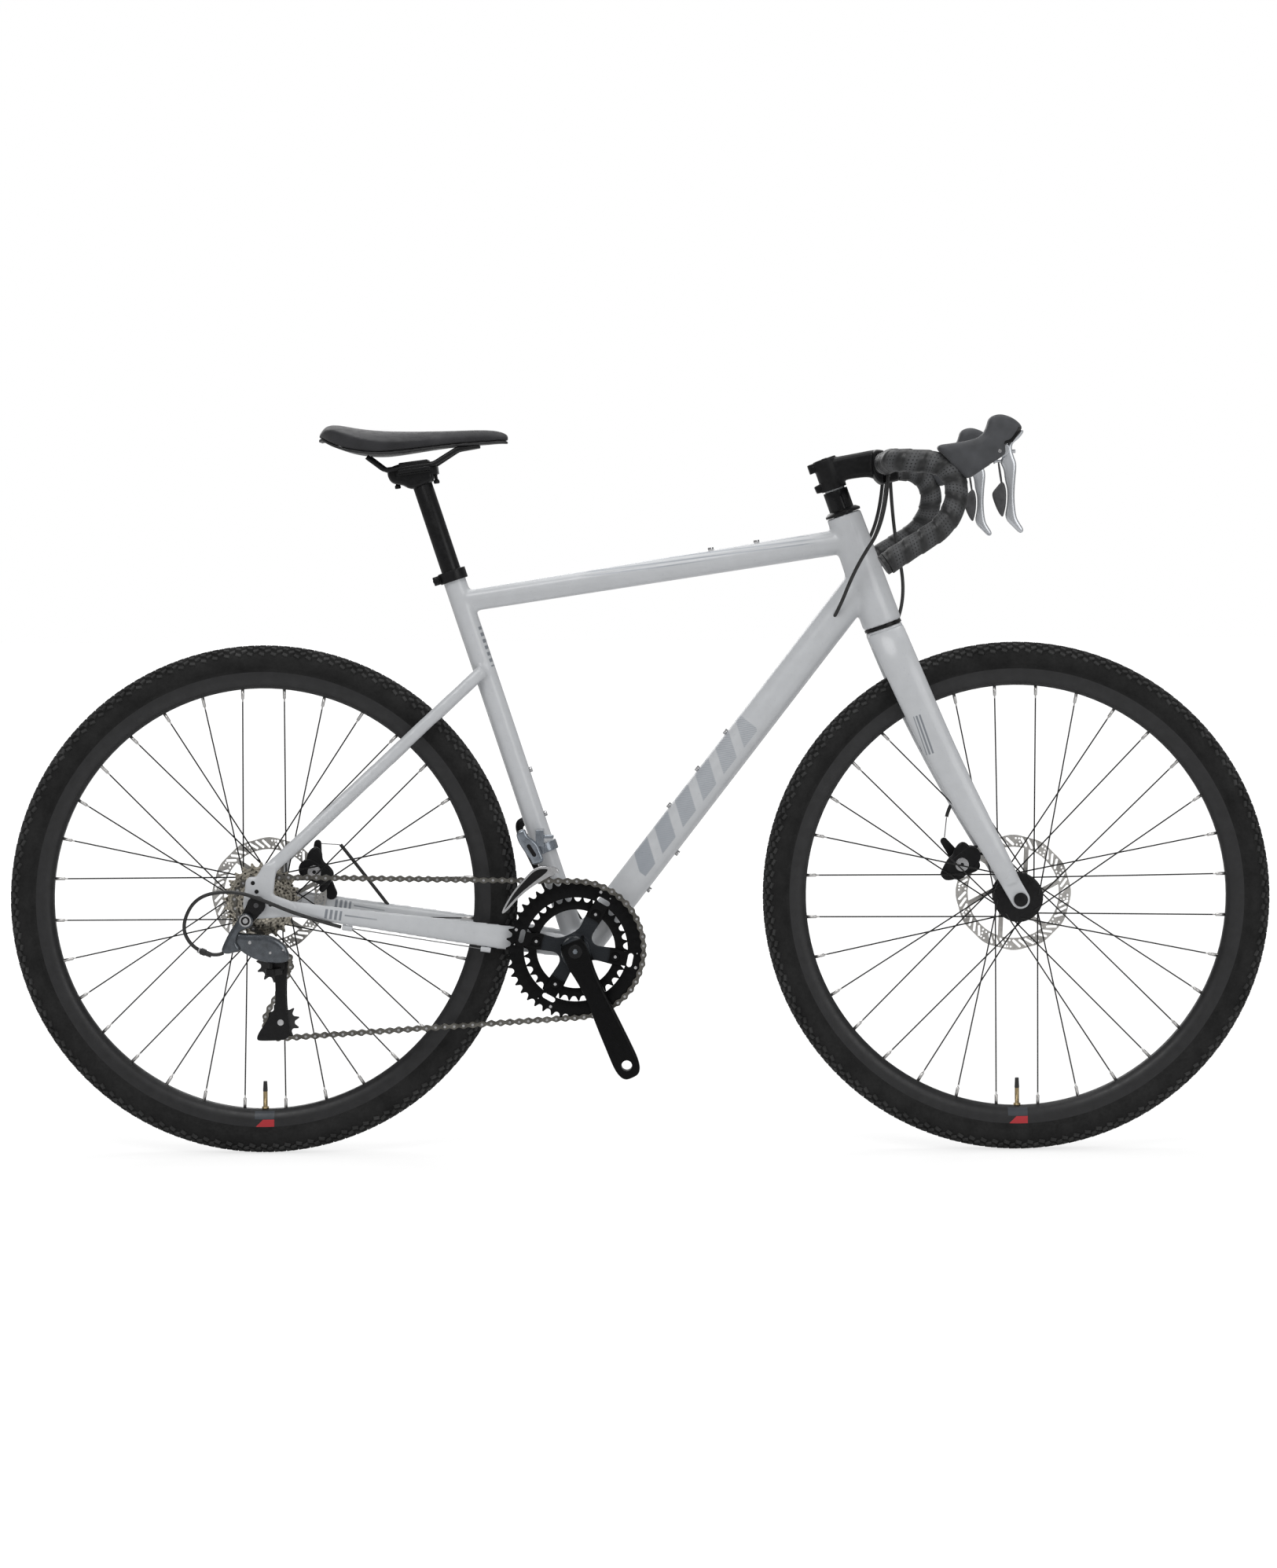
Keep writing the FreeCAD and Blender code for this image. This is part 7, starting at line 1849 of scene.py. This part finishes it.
FRONT_LOW_ROUTE = ((0.4515, 0.052, 0.4924), (0.4335, 0.0518, 0.4764), (0.4285, 0.0528, 0.4544))


def route_curve(name, route, radius=0.0):
    """A smooth line with a cord's route as its control points, and a round section if it has a radius."""
    curve = bpy.data.curves.new(name, "CURVE")
    curve.dimensions = "3D"
    curve.bevel_depth = radius
    curve.bevel_resolution = 4
    curve.use_fill_caps = True
    spline = curve.splines.new("NURBS")
    spline.points.add(len(route) - 1)
    for spot, place in zip(spline.points, route):
        spot.co = (*place, 1)
    spline.order_u = 3
    spline.use_endpoint_u = True
    spline.resolution_u = 14
    return curve


def housing(name, route, node, far_body=None, pieces=()):
    """A cable housing along its route. One that ends on another body is attached to no body."""
    line = meshed(route_curve(name + "_line", route))
    bpy.data.meshes.remove(line)
    piece = new_piece(name, meshed(route_curve(name, route, HOUSING / 2)))
    smooth_faces(piece.data, 50)
    piece.data.materials.append(housing_skin())
    if far_body:
        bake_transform(piece)
    else:
        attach(piece, body_of(node))
    return piece


class BuildCables(bpy.types.Operator):
    """Cable housings as cords, and their bare wires"""

    bl_idname = "bicycle.build_cables"
    bl_label = "Cables"

    def execute(self, context):
        mirrored = [(x, -y, z) for x, y, z in SHIFT_ROUTE]
        steered = body_of("fork")
        first = housing("right_shift_housing", mirrored, "control_cables", steered)
        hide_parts("control_cables")
        housing("left_shift_housing", SHIFT_ROUTE, "control_cables", steered)
        housing("rear_brake_upper_housing", BRAKE_ROUTE, "control_cables", steered)
        housing("rear_shift_loop", REAR_SHIFT_ROUTE, "control_cables", pieces=self.barrel())
        housing("rear_brake_lower_housing", REAR_BRAKE_ROUTE, "control_cables")
        front = housing("front_brake_housing", FRONT_BRAKE_ROUTE, "front_brake_cable")
        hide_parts("front_brake_cable")
        housing("front_brake_lower_housing", FRONT_LOW_ROUTE, "front_brake_cable")
        routes = {"right_shift": mirrored, "left_shift": SHIFT_ROUTE, "rear_brake": BRAKE_ROUTE,
                  "front_brake": FRONT_BRAKE_ROUTE}
        for name, route in routes.items():
            start = Vector(route[0])
            back = (start - Vector(route[1])).normalized()
            profile = ((0.1, -0.6), (2.9, -0.6), (2.9, 7), (0.1, 7))
            root = turned_piece(name + "_root", start, back, profile, 20)
            settle(root, "bar_tape", housing_skin())
        for node in ("control_cables", "front_brake_cable"):
            wires = crisp(node + "_wires", node, bevel=0, keep=lambda part: thickness(part) < WIRE_LIMIT)
            settle(wires, node, bright_steel(0.6))
        return {"FINISHED"}

    def barrel(self):
        """Barrel adjuster where the shift loop meets the rear derailleur."""
        start = Vector((-598.5, -89.7, 290.4)) * MM
        along = Vector((0.9254, 0.0272, -0.3787)).normalized()
        body = ((2.6, 0), (3.4, 0), (3.4, 4), (4.6, 4.6), (4.6, 11), (3.6, 12), (3.6, 20), (2.6, 20))
        ring = ((2.6, 1.2), (3.9, 1.2), (3.9, 3), (2.6, 3))
        pieces = []
        for name, profile, material in (("shift_barrel", body, black_plastic()),
                                        ("shift_barrel_ring", ring, bright_steel(1.0))):
            piece = turned_piece(name, start, along, profile, 24)
            settle(piece, "control_cables", material)
            pieces.append(piece)
        return pieces


class BuildStage(bpy.types.Operator):
    """Pale floor, soft lamps and the camera"""

    bl_idname = "bicycle.build_stage"
    bl_label = "Stage"

    def execute(self, context):
        scene = context.scene
        scene.view_settings.view_transform = "Standard"
        self.floor()
        self.sky(scene)
        for name, spot, aim, size, power in (
                ("key_lamp", (-1.2, -3.0, 3.6), (0, 0, 0.5), 2.6, 56),
                ("fill_lamp", (2.6, -3.2, 1.8), (0, 0, 0.5), 2.4, 28),
                ("top_lamp", (0.2, 0.6, 3.8), (0, 0, 0.4), 3.0, 44),
                ("back_lamp", (-1.0, 3.2, 2.4), (0, 0, 0.6), 2.6, 30)):
            lamp = bpy.data.lights.new(name, "AREA")
            lamp.shape = "DISK"
            lamp.size = size
            lamp.energy = power
            holder = bpy.data.objects.new(name, lamp)
            holder.location = spot
            holder.rotation_euler = (Vector(aim) - Vector(spot)).to_track_quat("-Z", "Y").to_euler()
            scene.collection.objects.link(holder)
        self.camera(scene)
        return {"FINISHED"}

    def floor(self):
        """White floor that keeps the shadow."""
        work = bmesh.new()
        bmesh.ops.create_grid(work, x_segments=1, y_segments=1, size=30)
        bmesh.ops.translate(work, verts=work.verts, vec=(0, 0, -0.0005))
        floor = new_piece("floor", mesh_from(work, "floor"))
        made = Finish("floor_white", (0.82, 0.82, 0.82), 0.9)
        made.set("Specular IOR Level", 0.0)
        away = made.add("ShaderNodeVectorMath", {0: made.place}, operation="LENGTH").outputs["Value"]
        level = made.ramp(away, 1.0, 5.0, 1.45, 2.0)
        glow = made.add("ShaderNodeEmission", {"Color": (1, 1, 1, 1), "Strength": level})
        seen = made.add("ShaderNodeLightPath").outputs["Is Camera Ray"]
        share = made.times(seen, 0.5)
        blend = made.add("ShaderNodeMixShader", {0: share, 1: made.shader.outputs[0], 2: glow.outputs[0]})
        made.feed(made.tree.nodes["Material Output"].inputs["Surface"], blend.outputs[0])
        floor.data.materials.append(made.material)

    def sky(self, scene):
        """A world that is white to the camera and gives less light."""
        world = bpy.data.worlds.new("studio")
        scene.world = world
        world.use_nodes = True
        nodes, links = world.node_tree.nodes, world.node_tree.links
        path = nodes.new("ShaderNodeLightPath").outputs
        seen = nodes.new("ShaderNodeMath")
        seen.operation = "MAXIMUM"
        links.new(path["Is Camera Ray"], seen.inputs[0])
        links.new(path["Is Transmission Ray"], seen.inputs[1])
        strength = nodes.new("ShaderNodeMapRange")
        strength.inputs["To Min"].default_value = 0.33
        links.new(seen.outputs[0], strength.inputs["Value"])
        sky = nodes["Background"]
        sky.inputs["Color"].default_value = (1, 1, 1, 1)
        links.new(strength.outputs[0], sky.inputs["Strength"])

    def camera(self, scene):
        """The photograph's eye: eye_pixel is the pixel that it looks straight at."""
        picture = Vector((1625, 1995))
        eye_pixel = Vector((855, 720))
        height_of_view = 2.1668
        ahead = 0.046
        roll = math.radians(0.276)
        data = bpy.data.cameras.new("camera")
        data.sensor_width = 36.0
        data.lens = data.sensor_width * sizes().eye_distance / height_of_view
        data.shift_x = (picture.x / 2 - eye_pixel.x) / picture.y
        data.shift_y = -(picture.y / 2 - eye_pixel.y) / picture.y
        camera = bpy.data.objects.new("camera", data)
        camera.location = (ahead, -sizes().eye_distance, sizes().eye_height)
        camera.rotation_euler = (math.radians(90), roll, 0)
        scene.collection.objects.link(camera)
        scene.camera = camera


class BicyclePanel(bpy.types.Panel):
    """Lists the pieces"""

    bl_idname = "VIEW3D_PT_bicycle"
    bl_label = "Gravel bicycle"
    bl_space_type = "VIEW_3D"
    bl_region_type = "UI"
    bl_category = "Bicycle"

    def draw(self, context):
        for group in (context.scene.bicycle_look, context.scene.bicycle_sizes):
            for name in group.__annotations__:
                self.layout.prop(group, name)
        for builder in BUILDERS:
            self.layout.operator(builder.bl_idname)


BUILDERS = (BuildStage, BuildFrame, BuildFork, BuildTyres, BuildRotors, BuildWheels, BuildCockpit,
            BuildLevers, BuildTape, BuildSaddle, BuildChain, BuildDrive, BuildRearDerailleur,
            BuildFrontDerailleur, BuildBrakes, BuildCables)
CLASSES = (Look, Sizes, *BUILDERS, BicyclePanel)


def register():
    for item in CLASSES:
        bpy.utils.register_class(item)
    bpy.types.Scene.bicycle_look = PointerProperty(type=Look)
    bpy.types.Scene.bicycle_sizes = PointerProperty(type=Sizes)


def unregister():
    del bpy.types.Scene.bicycle_sizes
    del bpy.types.Scene.bicycle_look
    for item in reversed(CLASSES):
        bpy.utils.unregister_class(item)


def main():
    register()
    for builder in BUILDERS:
        group, name = builder.bl_idname.split(".")
        getattr(getattr(bpy.ops, group), name)()


if __name__ == "__main__":
    main()
